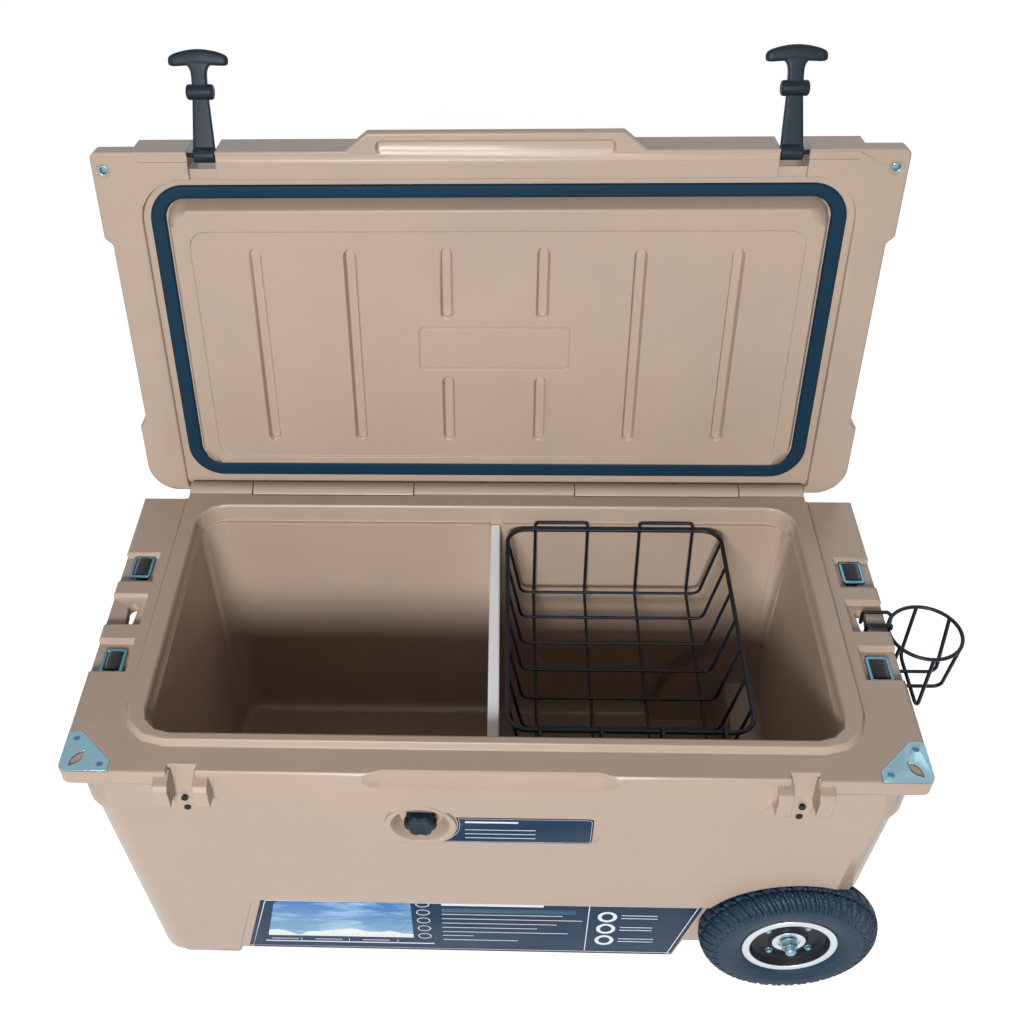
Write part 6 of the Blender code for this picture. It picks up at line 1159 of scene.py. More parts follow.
@dataclass
class Lid:
    """The open lid with its seal, bushings and pins."""

    shop: Workshop
    open_angle: float = 97.28
    hinge: tuple = (0.2023, 0.4142)
    seal_outer: tuple = (0.367, -0.1766, 0.182)
    seal_inner: tuple = (0.3500, -0.1622, 0.1640)
    seal_heights: tuple = (0.4233, 0.4266)
    seal_radius: float = 0.040
    lock_x: float = 0.406
    lock_y: float = -0.1947
    base: float = 0.4184
    pad: float = 0.018
    plug: tuple = (0.343, -0.157, 0.154)
    plug_edge: float = 0.0095
    plug_grow: tuple = (0.0055, 0.0065)
    plug_face: float = 0.4069
    plug_heights: tuple = (0.400, 0.428)
    plug_slack: float = 0.0005
    fade_x: tuple = (0.25, 0.06)
    fade_y: tuple = (0.09, 0.03)
    flute_depths: tuple = (0.001, 0.0056)
    flute_deeper: float = 0.5

    def opened(self, shell: Shell) -> Shell:
        """A surface described with the lid shut, turned open about the hinge."""
        pivot = np.array([0, *self.hinge])
        return Shell(turned_about_x(shell.points - pivot, -self.open_angle) + pivot, shell.quads, shell.caps,
                     shell.uv)

    def build(self) -> None:
        """Build the lid and what it carries."""
        self.shop.copy_of("lid", "lid_shell", TAN, "lid", 0.0, sharp=30, arc=0.03, reshape=self.wider_plug)
        self.build_seal()
        for hand, side in (("left", -1), ("right", 1)):
            self.shop.keep(f"latch_pin_{hand}", ENAMEL)
            self.build_bushing(hand, side)

    def wider_plug(self, points: Points) -> Points:
        """The plug's edge drawn out toward the seal: points between the plug's outline and one
        inside it go outward, fully at the corners and less toward the sides' middles. The flutes
        inside it go deeper by half.

        Args:
            points: the open lid's points.

        Returns:
            The open lid's points after the moves.
        """
        pivot = np.array([0, *self.hinge])
        shut = turned_about_x(points - pivot, self.open_angle) + pivot
        half, front, back = self.plug
        x, y, z = shut.T
        middle, deep = (front + back) / 2, (back - front) / 2
        off_x, off_y = np.abs(x), np.abs(y - middle)
        foot, top = self.plug_heights
        slack = self.plug_slack
        inside = (off_x < half + slack) & (off_y < deep + slack) & (z < top) & (z > foot)
        rim = inside & ((off_x > half - self.plug_edge) | (off_y > deep - self.plug_edge))
        out_x = np.sign(x) * self.plug_grow[0] * np.clip((off_x - self.fade_x[0]) / self.fade_x[1], 0, 1)
        out_y = np.sign(y - middle) * self.plug_grow[1] * np.clip((off_y - self.fade_y[0]) / self.fade_y[1],
                                                                  0, 1)
        depth = z - self.plug_face
        flute = inside & ~rim & (depth > self.flute_depths[0]) & (depth < self.flute_depths[1])
        spread = np.stack([x + rim * out_x, y + rim * out_y, z + flute * depth * self.flute_deeper], axis=1)
        return turned_about_x(spread - pivot, -self.open_angle) + pivot

    def build_seal(self) -> None:
        """The seal: rings between an outer and an inner rounded rectangle, whose depth is a dome
        (1 - |2u - 1|^6)^(1/2)."""
        half, front, back = self.seal_outer
        outer = rounded_box((-half, front), (half, back), self.seal_radius, 16)
        inner_half, inner_front, inner_back = self.seal_inner
        inner = rounded_box((-inner_half, inner_front), (inner_half, inner_back),
                            self.seal_radius - half + inner_half, 16)
        share = np.concatenate([np.linspace(0, 1, 25), [1.0, 0.0]])
        dome = (1 - np.clip(np.abs(2 * share - 1), 0, 1) ** 6) ** 0.5
        dome[-2:] = 0
        low, high = self.seal_heights
        height = high - (high - low) * np.clip(dome, 0, 1)
        height[-2:] = high + 0.0001
        flat = inner[:, None] + (outer - inner)[:, None] * share[None, :, None]
        points = np.concatenate([flat, np.broadcast_to(height[None, :, None], (*flat.shape[:2], 1))], axis=2)
        self.shop.add("lid_seal", self.opened(grid_shell(points, True, True)), SEAL, "lid", ["gasket"],
                      sharp=70)

    def build_bushing(self, hand: str, side: int) -> None:
        """A stainless bushing with a narrow rolled flange.

        Args:
            hand: left or right, for the names.
            side: -1 on the left and 1 on the right.
        """
        inner, outer, flange = 0.0036, 0.0049, 0.0053
        section = fillet([(inner, 0.0), (flange, 0.0), (flange, 0.0009), (outer, 0.0009), (outer, self.pad),
                          (inner, self.pad)],
                         [0.0007, 0.0004, 0.0003, 0.0002, 0.0002, 0.0002], 4, closed=True)
        shell = turned(section, Axis.Z, (side * self.lock_x, self.lock_y, self.base), 48)
        self.shop.add(f"bushing_{hand}", self.opened(shell), STEEL, "lid", [f"lock_bushing_{hand}"], sharp=50)


@dataclass
class Latch:
    """A one-piece rubber latch that stands up from its pin."""

    shop: Workshop
    hand: str
    side: int
    shift: float
    lean: float
    pin: tuple = (0.3025, 0.26831, 0.8189)
    angle: float = 97.28 + 17.5
    base_radius: float = 0.0078
    base_half: float = 0.0113
    barrel_reach: float = 0.061
    barrel_radius: float = 0.0077
    barrel_half: float = 0.0141
    grip_top: float = 0.1018
    grip_foot: float = 0.0868
    grip_half: float = 0.0305

    def loft(self, x: Points, reach: Points, half_width: Points, half_thick: Points, power: float,
             upright: bool) -> Shell:
        """Superellipse sections |c|^power, |s|^power along the latch, or along X where upright is unset.

        Args:
            x: each section's place along X.
            reach: each section's distance from the pivot.
            half_width: half the width of each section.
            half_thick: half the thickness of each section.
            power: the power of the superellipse.
            upright: whether the sections follow each other along the latch, and not along X.

        Returns:
            The surface through the sections.
        """
        angle = np.arange(32) * math.tau / 32
        first = np.sign(np.cos(angle)) * np.abs(np.cos(angle)) ** power
        out = np.sign(np.sin(angle)) * np.abs(np.sin(angle)) ** power
        flat = np.ones(32)
        if upright:
            rows = [x[:, None] + half_width[:, None] * first, -reach[:, None] * flat]
        else:
            rows = [x[:, None] * flat, -(reach[:, None] + half_width[:, None] * first)]
        return grid_shell(np.stack([*rows, half_thick[:, None] * out], axis=2), False, True, True)

    def strap(self) -> Shell:
        """The strap and neck, with a fillet that flares into the grip.

        Returns:
            The strap's surface.
        """
        reach = np.array([0.000, 0.006, 0.020, 0.040, 0.056, 0.061, 0.066, 0.076, 0.0805, 0.0840, 0.0868,
                          0.0885])
        width = np.array([0.0228, 0.0226, 0.0212, 0.0186, 0.0164, 0.0158, 0.0156, 0.0156, 0.0164, 0.0190,
                          0.0240, 0.0300])
        thick = np.array([0.0080, 0.0062, 0.0060, 0.0060, 0.0062, 0.0070, 0.0090, 0.0090, 0.0090, 0.0092,
                          0.0096, 0.0096])
        fine = np.linspace(0, reach[-1], 64)
        return self.loft(np.zeros(64), fine, np.interp(fine, reach, width) / 2,
                         np.interp(fine, reach, thick) / 2, 0.36, True)

    def grip(self) -> Shell:
        """The T handle along X: its top arches down to its ends, and both ends close as a high
        power of an ellipse.

        Returns:
            The handle's surface.
        """
        share = np.sin(np.linspace(-math.pi / 2, math.pi / 2, 61))
        arm = np.abs(share)
        close = np.clip(1 - arm ** 14, 0, 1) ** 0.5
        high = self.grip_top - 0.0062 * arm ** 1.9
        low = self.grip_foot - 0.0016 * arm
        half = np.maximum((high - low) / 2 * (0.25 + 0.75 * close), 0.0002)
        thick = np.maximum(0.0057 * (1 - 0.10 * arm) * (0.15 + 0.85 * close), 0.0002)
        return self.loft(self.grip_half * share, (high + low) / 2, half, thick, 0.60, False)

    def roll(self, reach: float, radius: float, half: float, soft: float, bore: float = 0.0) -> Shell:
        """A round roll across the latch, with soft ends.

        Args:
            reach: distance of the roll's axis from the pivot.
            radius: the roll's radius.
            half: half its length.
            soft: radius of its round edges.
            bore: radius of the hole through it, if it has one.

        Returns:
            The roll's surface.
        """
        inner = max(bore, 0.0003)
        corners = [(inner, -half), (radius, -half), (radius, half), (inner, half)]
        section = fillet(corners, [0.0002, soft, soft, 0.0002], 6, closed=True)
        return turned(section, Axis.X, (0, -reach, 0), 40)

    def build(self) -> None:
        """Build the latch: it leans a little to one side, as rubber does, by a share of its reach."""
        body = joined([self.strap(), self.grip(),
                       self.roll(self.barrel_reach, self.barrel_radius, self.barrel_half, 0.0030),
                       self.roll(0.0, self.base_radius, self.base_half, 0.0014, 0.003)])
        leaning = body.points + np.outer(-body.points[:, 1] * self.lean, (1, 0, 0))
        points = turned_about_x(leaning,
                                -self.angle) + np.array([self.side * self.pin[0] + self.shift, *self.pin[1:]])
        self.shop.add(f"t_latch_{self.hand}", Shell(points, body.quads, body.caps), RUBBER,
                      f"latch_{self.hand}",
                      [f"latch_{self.hand}"], sharp=50)


@dataclass
class Handle:
    """A webbing carry handle with its ribbed grip."""

    shop: Workshop
    hand: str
    side: int
    pivot: tuple = (0.4005, 0.3915)
    drop: float = 0.052
    grip_middle: float = 0.0045
    grip_radius: float = 0.0125
    grip_half: float = 0.046
    neck_radius: float = 0.006
    neck_end: float = 0.0835
    web_half: float = 0.0125
    web_thick: float = 0.0014
    ends: tuple = (("rear", 0.0715), ("front", -0.0625))
    ring_top: float = 0.4105
    anchor_half: float = 0.0077

    def web_section(self, thick: float) -> Points:
        """A flat section with round edges."""
        return rounded_box((-self.web_half, -thick / 2), (self.web_half, thick / 2), thick * 0.48, 4)

    def build(self) -> None:
        """Build the grip, the two loops and the two anchors."""
        self.build_grip()
        for end, centre in self.ends:
            self.build_loop(end, centre)
            self.build_anchor(end, centre)

    def build_grip(self) -> None:
        """The grip: a turned profile whose radius swells a little and has shallow ribs, as a
        power of a cosine along its length."""
        along = np.linspace(-self.grip_half, self.grip_half, 161)
        ribs = 0.0007 * np.abs(np.cos(along / self.grip_half * math.pi * 7)) ** 6
        ends = np.sqrt(np.clip(1 - np.clip((np.abs(along) - self.grip_half + 0.005) / 0.005, 0, 1) ** 2, 0,
                               1))
        swell = 0.0008 * np.cos(along / self.grip_half * math.pi / 2)
        radius = (self.grip_radius - 0.0008 - ribs) * (0.8 + 0.2 * ends) + swell
        grip = np.column_stack([np.minimum(radius, self.grip_radius), along])
        neck = self.neck_radius
        reach = self.neck_end
        head = [(0.0005, -reach), (neck * 1.3, -reach), (neck * 1.5, -reach + 0.001),
                (neck * 1.5, -reach + 0.0035),
                (neck, -reach + 0.0038), (neck, -self.grip_half)]
        tail = [(radius_at, -along_at) for radius_at, along_at in head[::-1]]
        profile = np.concatenate([np.array(head), grip, np.array(tail)])
        centre = (self.side * self.pivot[0], self.grip_middle, self.pivot[1] - self.drop)
        shell = turned(profile, Axis.Y, centre, 48, open_ends=True)
        self.shop.add(f"grip_{self.hand}", shell, RUBBER, f"handle_{self.hand}", [f"carry_grip_{self.hand}"],
                      sharp=55)

    def build_loop(self, end: str, centre: float) -> None:
        """A webbing loop: two runs down from the pivot, sewn together, that open round the neck.

        Args:
            end: front or rear, for the names.
            centre: the loop's middle in Y.
        """
        thick = self.web_thick
        round_neck = self.neck_radius + 0.0003 + thick / 2
        angle = np.radians(np.linspace(60, -240, 33))
        arc = np.stack([round_neck * np.cos(angle), -self.drop + round_neck * np.sin(angle)], axis=1)
        right = np.array([(thick * 0.5, 0.0), (thick * 0.52, -0.012), (thick * 0.55, -0.028),
                          (thick * 0.9, -0.038)])
        left = right[::-1] * (-1, 1)
        flat = resample(fillet(np.concatenate([right, arc, left]), 0.003, 3), 90)
        path = np.column_stack([flat[:, 0] + self.side * self.pivot[0], np.full(len(flat), centre),
                                flat[:, 1] + self.pivot[1]])
        loop = sweep(path, self.web_section(thick * 0.94), (0, 1, 0))
        body = f"handle_{self.hand}"
        self.shop.add(f"web_loop_{self.hand}_{end}", loop, WEBBING, body, [f"strap_loop_{self.hand}_{end}"],
                      sharp=60)
        rows = []
        for height in (-0.030, -0.0345):
            places = np.linspace(-self.web_half + 0.002, self.web_half - 0.002, 9)
            rows += [self.stitch((self.side * self.pivot[0] + face * thick * 1.05, centre + place,
                                  self.pivot[1] + height))
                     for place in places for face in (-1, 1)]
        self.shop.add(f"web_stitches_{self.hand}_{end}", joined(rows), COATING, body, sharp=60)

    @staticmethod
    def stitch(place: Sequence[float]) -> Shell:
        """One raised stitch: a short bow of thread.

        Args:
            place: the stitch's middle.

        Returns:
            The stitch's surface.
        """
        along = np.linspace(-0.0009, 0.0009, 5)
        path = np.column_stack([np.zeros(5), along, np.zeros(5)]) + np.asarray(place)
        return wire(path, 0.00022, (1, 0, 0), sides=6)

    def build_anchor(self, end: str, centre: float) -> None:
        """Webbing sewn round the ring's bar: a closed flat loop with round ends.

        Args:
            end: front or rear, for the names and the ring's shift.
            centre: the anchor's middle in Y, before that shift.
        """
        thick = self.web_thick
        low = self.pivot[1] + thick * 1.5 + 0.0003
        high = self.ring_top + thick / 2 + 0.0003
        half = self.anchor_half
        outline = rounded_box((-half, low), (half, high), half * 0.7, 6)
        flat = resample(outline, 60, closed=True)
        across = self.side * (self.pivot[0] + RING_OUT)
        path = np.column_stack([flat[:, 0] + across, np.full(len(flat), centre + RING_SHIFTS[end]),
                                flat[:, 1]])
        loop = sweep(path, self.web_section(thick * 0.94), (0, 1, 0), closed=True)
        self.shop.add(f"web_anchor_{self.hand}_{end}", loop, WEBBING, "tub",
                      [f"strap_anchor_{self.hand}_{end}"], sharp=60)


@dataclass
class Wheel:
    """One wheel with its tyre, split rim, hub disc and nut."""

    shop: Workshop
    hand: str
    side: int
    centre: tuple = (0.338, 0.192, 0.100)
    radius: float = 0.100
    half_width: float = 0.025
    lugs: int = 37
    bolt_circle: float = 0.0312
    bolt_turn: float = math.radians(54.5)
    groove: float = 0.0030

    def middle(self) -> tuple[float, float, float]:
        """The wheel's centre."""
        return (self.centre[0], self.side * self.centre[1], self.centre[2])

    def build(self) -> None:
        """Build every piece of the wheel."""
        self.build_tyre()
        self.build_rims()
        self.build_disc()
        self.build_hub()

    def tyre_section(self) -> Points:
        """(radius, offset) round the tyre's outside, from bead to bead: over the shoulders the
        radius is 0.0775 + 0.0225 * (1 - (offset / half width)^2)^(1/2).

        Returns:
            The section's points.
        """
        turn = np.linspace(0.5, 0.04, 14) * math.pi
        shoulder = np.stack([0.0775 + 0.0225 * np.cos(turn), self.half_width * np.sin(turn)], axis=1)
        side = fillet([(0.0513, 0.0180), (0.0540, 0.0184), (0.0600, 0.0226), (0.0700, 0.0248),
                       (0.0775, 0.0250)], 0.008, 4)
        half = np.concatenate([side[:-1], shoulder])
        line = np.concatenate([half, half[::-1] * (1, -1)])
        return resample(line, 104)

    def tread(self, angle: Points, section: Points) -> Points:
        """How deep the tyre's surface lies at each angle and section point.

        Two zigzag grooves run round the crown, cuts join them across each lug with a
        turn, and shoulder ribs run down the side; every cut is a smooth step in the
        distance to its middle line.

        Args:
            angle: angles round the wheel.
            section: (radius, offset) points of the section.

        Returns:
            Depths, as angles by section points.
        """
        offset = section[None, :, 1]
        reach = np.abs(offset)
        phase = (angle[:, None] * self.lugs / math.tau) % 1
        saw = np.abs(phase - 0.5) * 2
        depth = np.zeros((len(angle), len(section)))
        zigzag = 0.0072 + 0.0022 * (saw - 0.5)
        depth = np.maximum(depth, 1 - smooth_step(0.0007, 0.0014, np.abs(reach - zigzag)))
        middle_phase = (phase + 0.5 + offset * 34) % 1
        middle_cut = 1 - smooth_step(0.07, 0.13, np.abs(middle_phase - 0.5))
        depth = np.maximum(depth, middle_cut * (reach < zigzag))
        side_phase = (phase + (reach - 0.009) * 26) % 1
        lug_cut = 1 - smooth_step(0.10, 0.17, np.abs(side_phase - 0.5))
        on_side = (reach > zigzag) * smooth_step(0.0800, 0.0835, section[None, :, 0])
        depth = np.maximum(depth, lug_cut * on_side)
        fork = 0.16 * (1 - smooth_step(0.0125, 0.0165, reach))
        near = np.minimum(np.abs((side_phase + 0.5 + fork) % 1 - 0.5),
                          np.abs((side_phase + 0.5 - fork) % 1 - 0.5))
        sipe = (1 - smooth_step(0.03, 0.07, near)) * on_side
        depth = np.maximum(depth, 0.6 * sipe)
        return depth * self.groove

    def build_tyre(self) -> None:
        """The tyre: its section turned about the axle and pressed in by the tread's depth."""
        section = self.tyre_section()
        angle = np.arange(self.lugs * 12) * math.tau / (self.lugs * 12)
        depth = self.tread(angle, section)
        ahead = unit(np.gradient(section, axis=0))
        outward = np.stack([-ahead[:, 1], ahead[:, 0]], axis=1)
        outward *= np.sign((outward * (section - section.mean(0))).sum(1, keepdims=True))
        placed = section[None] - outward[None] * depth[..., None]
        bead = np.broadcast_to(np.array([[(0.0513, -0.0180)]]), (len(angle), 1, 2))
        placed = np.concatenate([placed, bead], axis=1)
        x = placed[..., 0] * np.cos(angle)[:, None]
        z = placed[..., 0] * np.sin(angle)[:, None]
        points = np.stack([x, placed[..., 1] * self.side, z], axis=2) + np.array(self.middle())
        self.shop.add(f"tyre_tread_{self.hand}", grid_shell(points, True, True), TYRE, f"wheel_{self.hand}",
                      [f"tyre_{self.hand}"], sharp=50)

    def build_rims(self) -> None:
        """The two silver rim halves: a barrel with a rolled lip on each."""
        for label, face in (("outer", self.side), ("inner", -self.side)):
            corners = [(0.0477, 0.0003), (0.0505, 0.0003), (0.0505, 0.0180), (0.0530, 0.0180),
                       (0.0530, 0.0205),
                       (0.0449, 0.0205), (0.0447, 0.0190), (0.0477, 0.0183)]
            radii = [0.0003, 0.0004, 0.0006, 0.0006, 0.0010, 0.0006, 0.0004, 0.0006]
            section = fillet(corners, radii, 5, closed=True) * (1, face)
            shell = turned(section, Axis.Y, self.middle(), 96)
            self.shop.add(f"rim_{label}_{self.hand}_ring", shell, SILVER, f"wheel_{self.hand}",
                          [f"rim_{label}_{self.hand}"], sharp=50)

    def build_disc(self) -> None:
        """The dished black disc, with four silver bolts on their washers."""
        side = self.side
        corners = [(0.0128, 0.0095), (0.0175, 0.0095), (0.0210, 0.0055), (0.0474, 0.0055), (0.0474, 0.0180),
                   (0.0452, 0.0186), (0.0420, 0.0120), (0.0370, 0.0098), (0.0225, 0.0098), (0.0190, 0.0128),
                   (0.0128, 0.0130)]
        section = fillet(corners, 0.0012, 4, closed=True) * (1, side)
        self.shop.add(f"hub_dish_{self.hand}", turned(section, Axis.Y, self.middle(), 96), ENAMEL,
                      f"wheel_{self.hand}",
                      [f"hub_disc_{self.hand}"], sharp=50)
        x, y, z = self.middle()
        for number in range(4):
            angle = math.tau * number / 4 + self.bolt_turn
            place = (x + self.bolt_circle * math.cos(angle), y, z + self.bolt_circle * math.sin(angle))
            washer = fillet([(0.0005, 0.0094), (0.0044, 0.0094), (0.0044, 0.0104), (0.0005, 0.0104)], 0.0003,
                            3, closed=True)
            bolt = self.hexagon(0.0036, 0.0102, 0.0128)
            shells = [turned(washer * (1, side), Axis.Y, place, 32), moved(bolt, place)]
            self.shop.add(f"rim_bolt_{self.hand}_{number + 1}", joined(shells), STEEL, f"wheel_{self.hand}",
                          sharp=35)

    @staticmethod
    def flats(radius: float) -> Points:
        """The radius of a hexagon at 48 angles: its flats' distance over the cosine of the angle
        from the nearest flat's middle."""
        angle = np.arange(48) * math.tau / 48
        return radius * math.cos(math.pi / 6) / np.cos((angle + math.pi / 6) % (math.pi / 3) - math.pi / 6)

    def stacked(self, rows: list[tuple[Points, float]]) -> Points:
        """Rings of 48 points round the Y axis, from their radii and their places along it."""
        angle = np.arange(48) * math.tau / 48
        return np.stack([np.stack([ring * np.cos(angle), np.full(48, along * self.side),
                                   ring * np.sin(angle)],
                                  axis=1) for ring, along in rows])

    def hexagon(self, radius: float, low: float, high: float) -> Shell:
        """A hexagon head along Y whose face is turned down to a circle: radii go from the
        hexagon's to a round one over the last fifth of its height.

        Args:
            radius: radius at the hexagon's corners.
            low: where the head starts along Y.
            high: where it ends along Y.

        Returns:
            The head's surface.
        """
        flat = self.flats(radius)
        round_one = np.full(48, radius * 0.90)
        edge = low + (high - low) * 0.82
        rows = [(flat * 0.05, low), (flat, low), (flat, edge),
                (np.minimum(flat, radius * 0.93), edge + (high - edge) * 0.7),
                (np.minimum(flat, round_one) * 0.96, high), (round_one * 0.62, high),
                (round_one * 0.55, high - 0.0004),
                (round_one * 0.05, high - 0.0004)]
        return grid_shell(self.stacked(rows), False, True, True)

    def build_hub(self) -> None:
        """The silver hub sleeve with its rounded flange, and the nut with its flange."""
        side = self.side
        corners = [(0.0065, -0.0294), (0.0125, -0.0294), (0.0125, 0.0133), (0.0188, 0.0133), (0.0188, 0.0147),
                   (0.0129, 0.0147), (0.0122, 0.0125), (0.0065, 0.0125)]
        section = fillet(corners, [0.0004, 0.0004, 0.0003, 0.0003, 0.0006, 0.0006, 0.0003, 0.0003], 4,
                         closed=True)
        shell = turned(section * (1, side), Axis.Y, self.middle(), 64)
        self.shop.add(f"hub_ring_{self.hand}", shell, SILVER, f"wheel_{self.hand}",
                      [f"hub_sleeve_{self.hand}"], sharp=45)
        x, _, z = self.middle()
        flange = fillet([(0.0062, 0.2068), (0.0104, 0.2068), (0.0100, 0.2082), (0.0062, 0.2084)], 0.0005, 4,
                        closed=True)
        nut = self.hexagon_nut(0.0090, 0.2080, 0.2150)
        shells = [turned(flange * (1, side), Axis.Y, (x, 0, z), 48), moved(nut, (x, 0, z))]
        self.shop.add(f"lock_nut_{self.hand}", joined(shells), STEEL, "tub", [f"axle_nut_{self.hand}"],
                      sharp=35)

    def hexagon_nut(self, radius: float, low: float, high: float) -> Shell:
        """A hexagon nut along Y with a bore, its corners turned down at the face.

        Args:
            radius: radius at the hexagon's corners.
            low: where the nut starts along Y.
            high: where it ends along Y.

        Returns:
            The nut's surface.
        """
        flat = self.flats(radius)
        bore = np.full(48, 0.0062)
        edge = high - 0.0014
        rows = [(bore, low), (flat, low), (flat, edge), (np.minimum(flat, radius * 0.94), high - 0.0005),
                (np.full(48, radius * 0.84), high), (bore * 1.15, high), (bore, high - 0.0006)]
        return grid_shell(self.stacked(rows), True, True)


@dataclass
class Axle:
    """The fixed axle across the tub."""

    shop: Workshop
    radius: float = 0.006
    half: float = 0.2215
    place: tuple = (0.338, 0.0, 0.100)

    def build(self) -> None:
        """A round bar with a thread on each end: the radius dips by a sine every 1.25 mm there."""
        along = np.concatenate([np.linspace(-self.half, -self.half + 0.018, 116),
                                np.linspace(self.half - 0.018, self.half, 116)])
        thread = 0.00035 * (0.5 - 0.5 * np.cos(along / 0.00125 * math.tau))
        chamfer = np.clip((np.abs(along) - self.half + 0.0015) / 0.0015, 0, 1) * 0.0015
        radius = self.radius - thread - chamfer
        shell = turned(np.column_stack([radius, along]), Axis.Y, self.place, 32, open_ends=True)
        self.shop.add("axle_bar", shell, STEEL, "tub", ["axle"], sharp=60)


@dataclass
class Basket:
    """The wire basket over the wheel end."""

    shop: Workshop
    x: tuple = (0.014, 0.270)
    y: tuple = (-0.146, 0.1595)
    top: float = 0.3985
    floor: float = 0.308
    wire_radius: float = 0.0018
    frame_radius: float = 0.0026
    side_inset: float = 0.015
    end_inset: float = 0.020
    long_wires: tuple = (0.0495, 0.1115, 0.1730, 0.2355)
    cross_wires: int = 7
    cross_y: tuple = (-0.112, 0.139)
    hook_reach: float = 0.1653
    hook_height: float = 0.4024

    def build(self) -> None:
        """Weld the frame, the long and cross wires and the hooks into one piece."""
        thick = self.frame_radius
        low = (self.x[0] + thick, self.y[0] + thick)
        high = (self.x[1] - thick, self.y[1] - thick)
        ring = rounded_box(low, high, 0.022, 10)
        shells = [wire(np.column_stack([ring, np.full(len(ring), self.top)]), thick, (0, 0, 1), closed=True,
                       sides=12)]
        for x in self.long_wires:
            corners = [(x, low[1], self.top), (x, low[1] + self.side_inset, self.floor),
                       (x, high[1] - self.side_inset, self.floor), (x, high[1], self.top)]
            shells.append(wire(fillet(corners, 0.010, 6), self.wire_radius, (1, 0, 0)))
        over = self.floor + self.wire_radius * 1.5
        for y in np.linspace(*self.cross_y, self.cross_wires):
            corners = [(low[0], y, self.top), (self.x[0] + self.end_inset, y, over),
                       (self.x[1] - self.end_inset, y, over), (high[0], y, self.top)]
            shells.append(wire(fillet(corners, 0.010, 6), self.wire_radius, (0, 1, 0)))
        for hand, inner in ((1, high[1]), (-1, -low[1])):
            for first, last in zip(self.long_wires[::2], self.long_wires[1::2]):
                start = hand * (inner - thick)
                corners = [(first, start, self.hook_height),
                           (first, hand * self.hook_reach, self.hook_height),
                           (last, hand * self.hook_reach, self.hook_height), (last, start, self.hook_height)]
                shells.append(wire(fillet(corners, 0.005, 6), self.wire_radius, (0, 0, 1)))
        self.shop.add("wire_basket", joined(shells), COATING, "basket", ["basket"], sharp=60)


@dataclass
class CupHolder:
    """The wire cup holder on the wheel end."""

    shop: Workshop
    centre: tuple = (0.4655, -0.010)
    radius: float = 0.0385
    top: float = 0.405
    floor: float = 0.326
    wire_radius: float = 0.0021
    hook_y: tuple = (0.0145, -0.0045)
    keyhole_x: float = 0.4038
    hook_height: float = 0.4106
    outside: float = 0.4297
    drop: float = 0.016

    def build(self) -> None:
        """Weld the ring, the deep loop, the two cross loops and the hooks into one piece."""
        x, y = self.centre
        thick = self.wire_radius
        ring = circle(self.radius, 72) + (x, y)
        shells = [wire(np.column_stack([ring, np.full(72, self.top)]), thick, (0, 0, 1), closed=True,
                       sides=12)]
        deep = [(x, y - self.radius, self.top), (x, y - self.radius, self.floor),
                (x, y + self.radius, self.floor),
                (x, y + self.radius, self.top)]
        shells.append(wire(fillet(deep, 0.010, 8), thick, (1, 0, 0)))
        over = self.floor + 0.0035
        wide = math.sqrt(self.radius ** 2 - 0.022 ** 2)
        for hand in (-1, 1):
            near, far = y + hand * 0.022, y + hand * 0.0106
            corners = [(x - wide, near, self.top), (x - wide, far, over), (x + wide, far, over),
                       (x + wide, near, self.top)]
            plane = np.cross((0.0, far - near, over - self.top), (1.0, 0.0, 0.0))
            shells.append(wire(fillet(corners, 0.009, 8), thick, unit(plane)))
        for hook in self.hook_y:
            meet = max(self.outside + 0.0005, x - math.sqrt(self.radius ** 2 - (hook - y) ** 2))
            corners = [(self.keyhole_x, hook, self.hook_height - self.drop),
                       (self.keyhole_x, hook, self.hook_height),
                       (self.outside, hook, self.hook_height), (meet, hook, self.top)]
            shells.append(wire(fillet(corners, thick * 1.15, 6), thick, (0, 1, 0)))
        self.shop.add("wire_cup_holder", joined(shells), COATING, "cup_holder", ["cup_holder"], sharp=60)


@dataclass
class Divider:
    """The white board across the tub."""

    shop: Workshop
    edge: float = 0.0022

    def build(self) -> None:
        """A copy of the solid board with round edges."""
        self.shop.copy_of("divider", "divider_board", BOARD, "divider", self.edge, 4, 20, sharp=60)


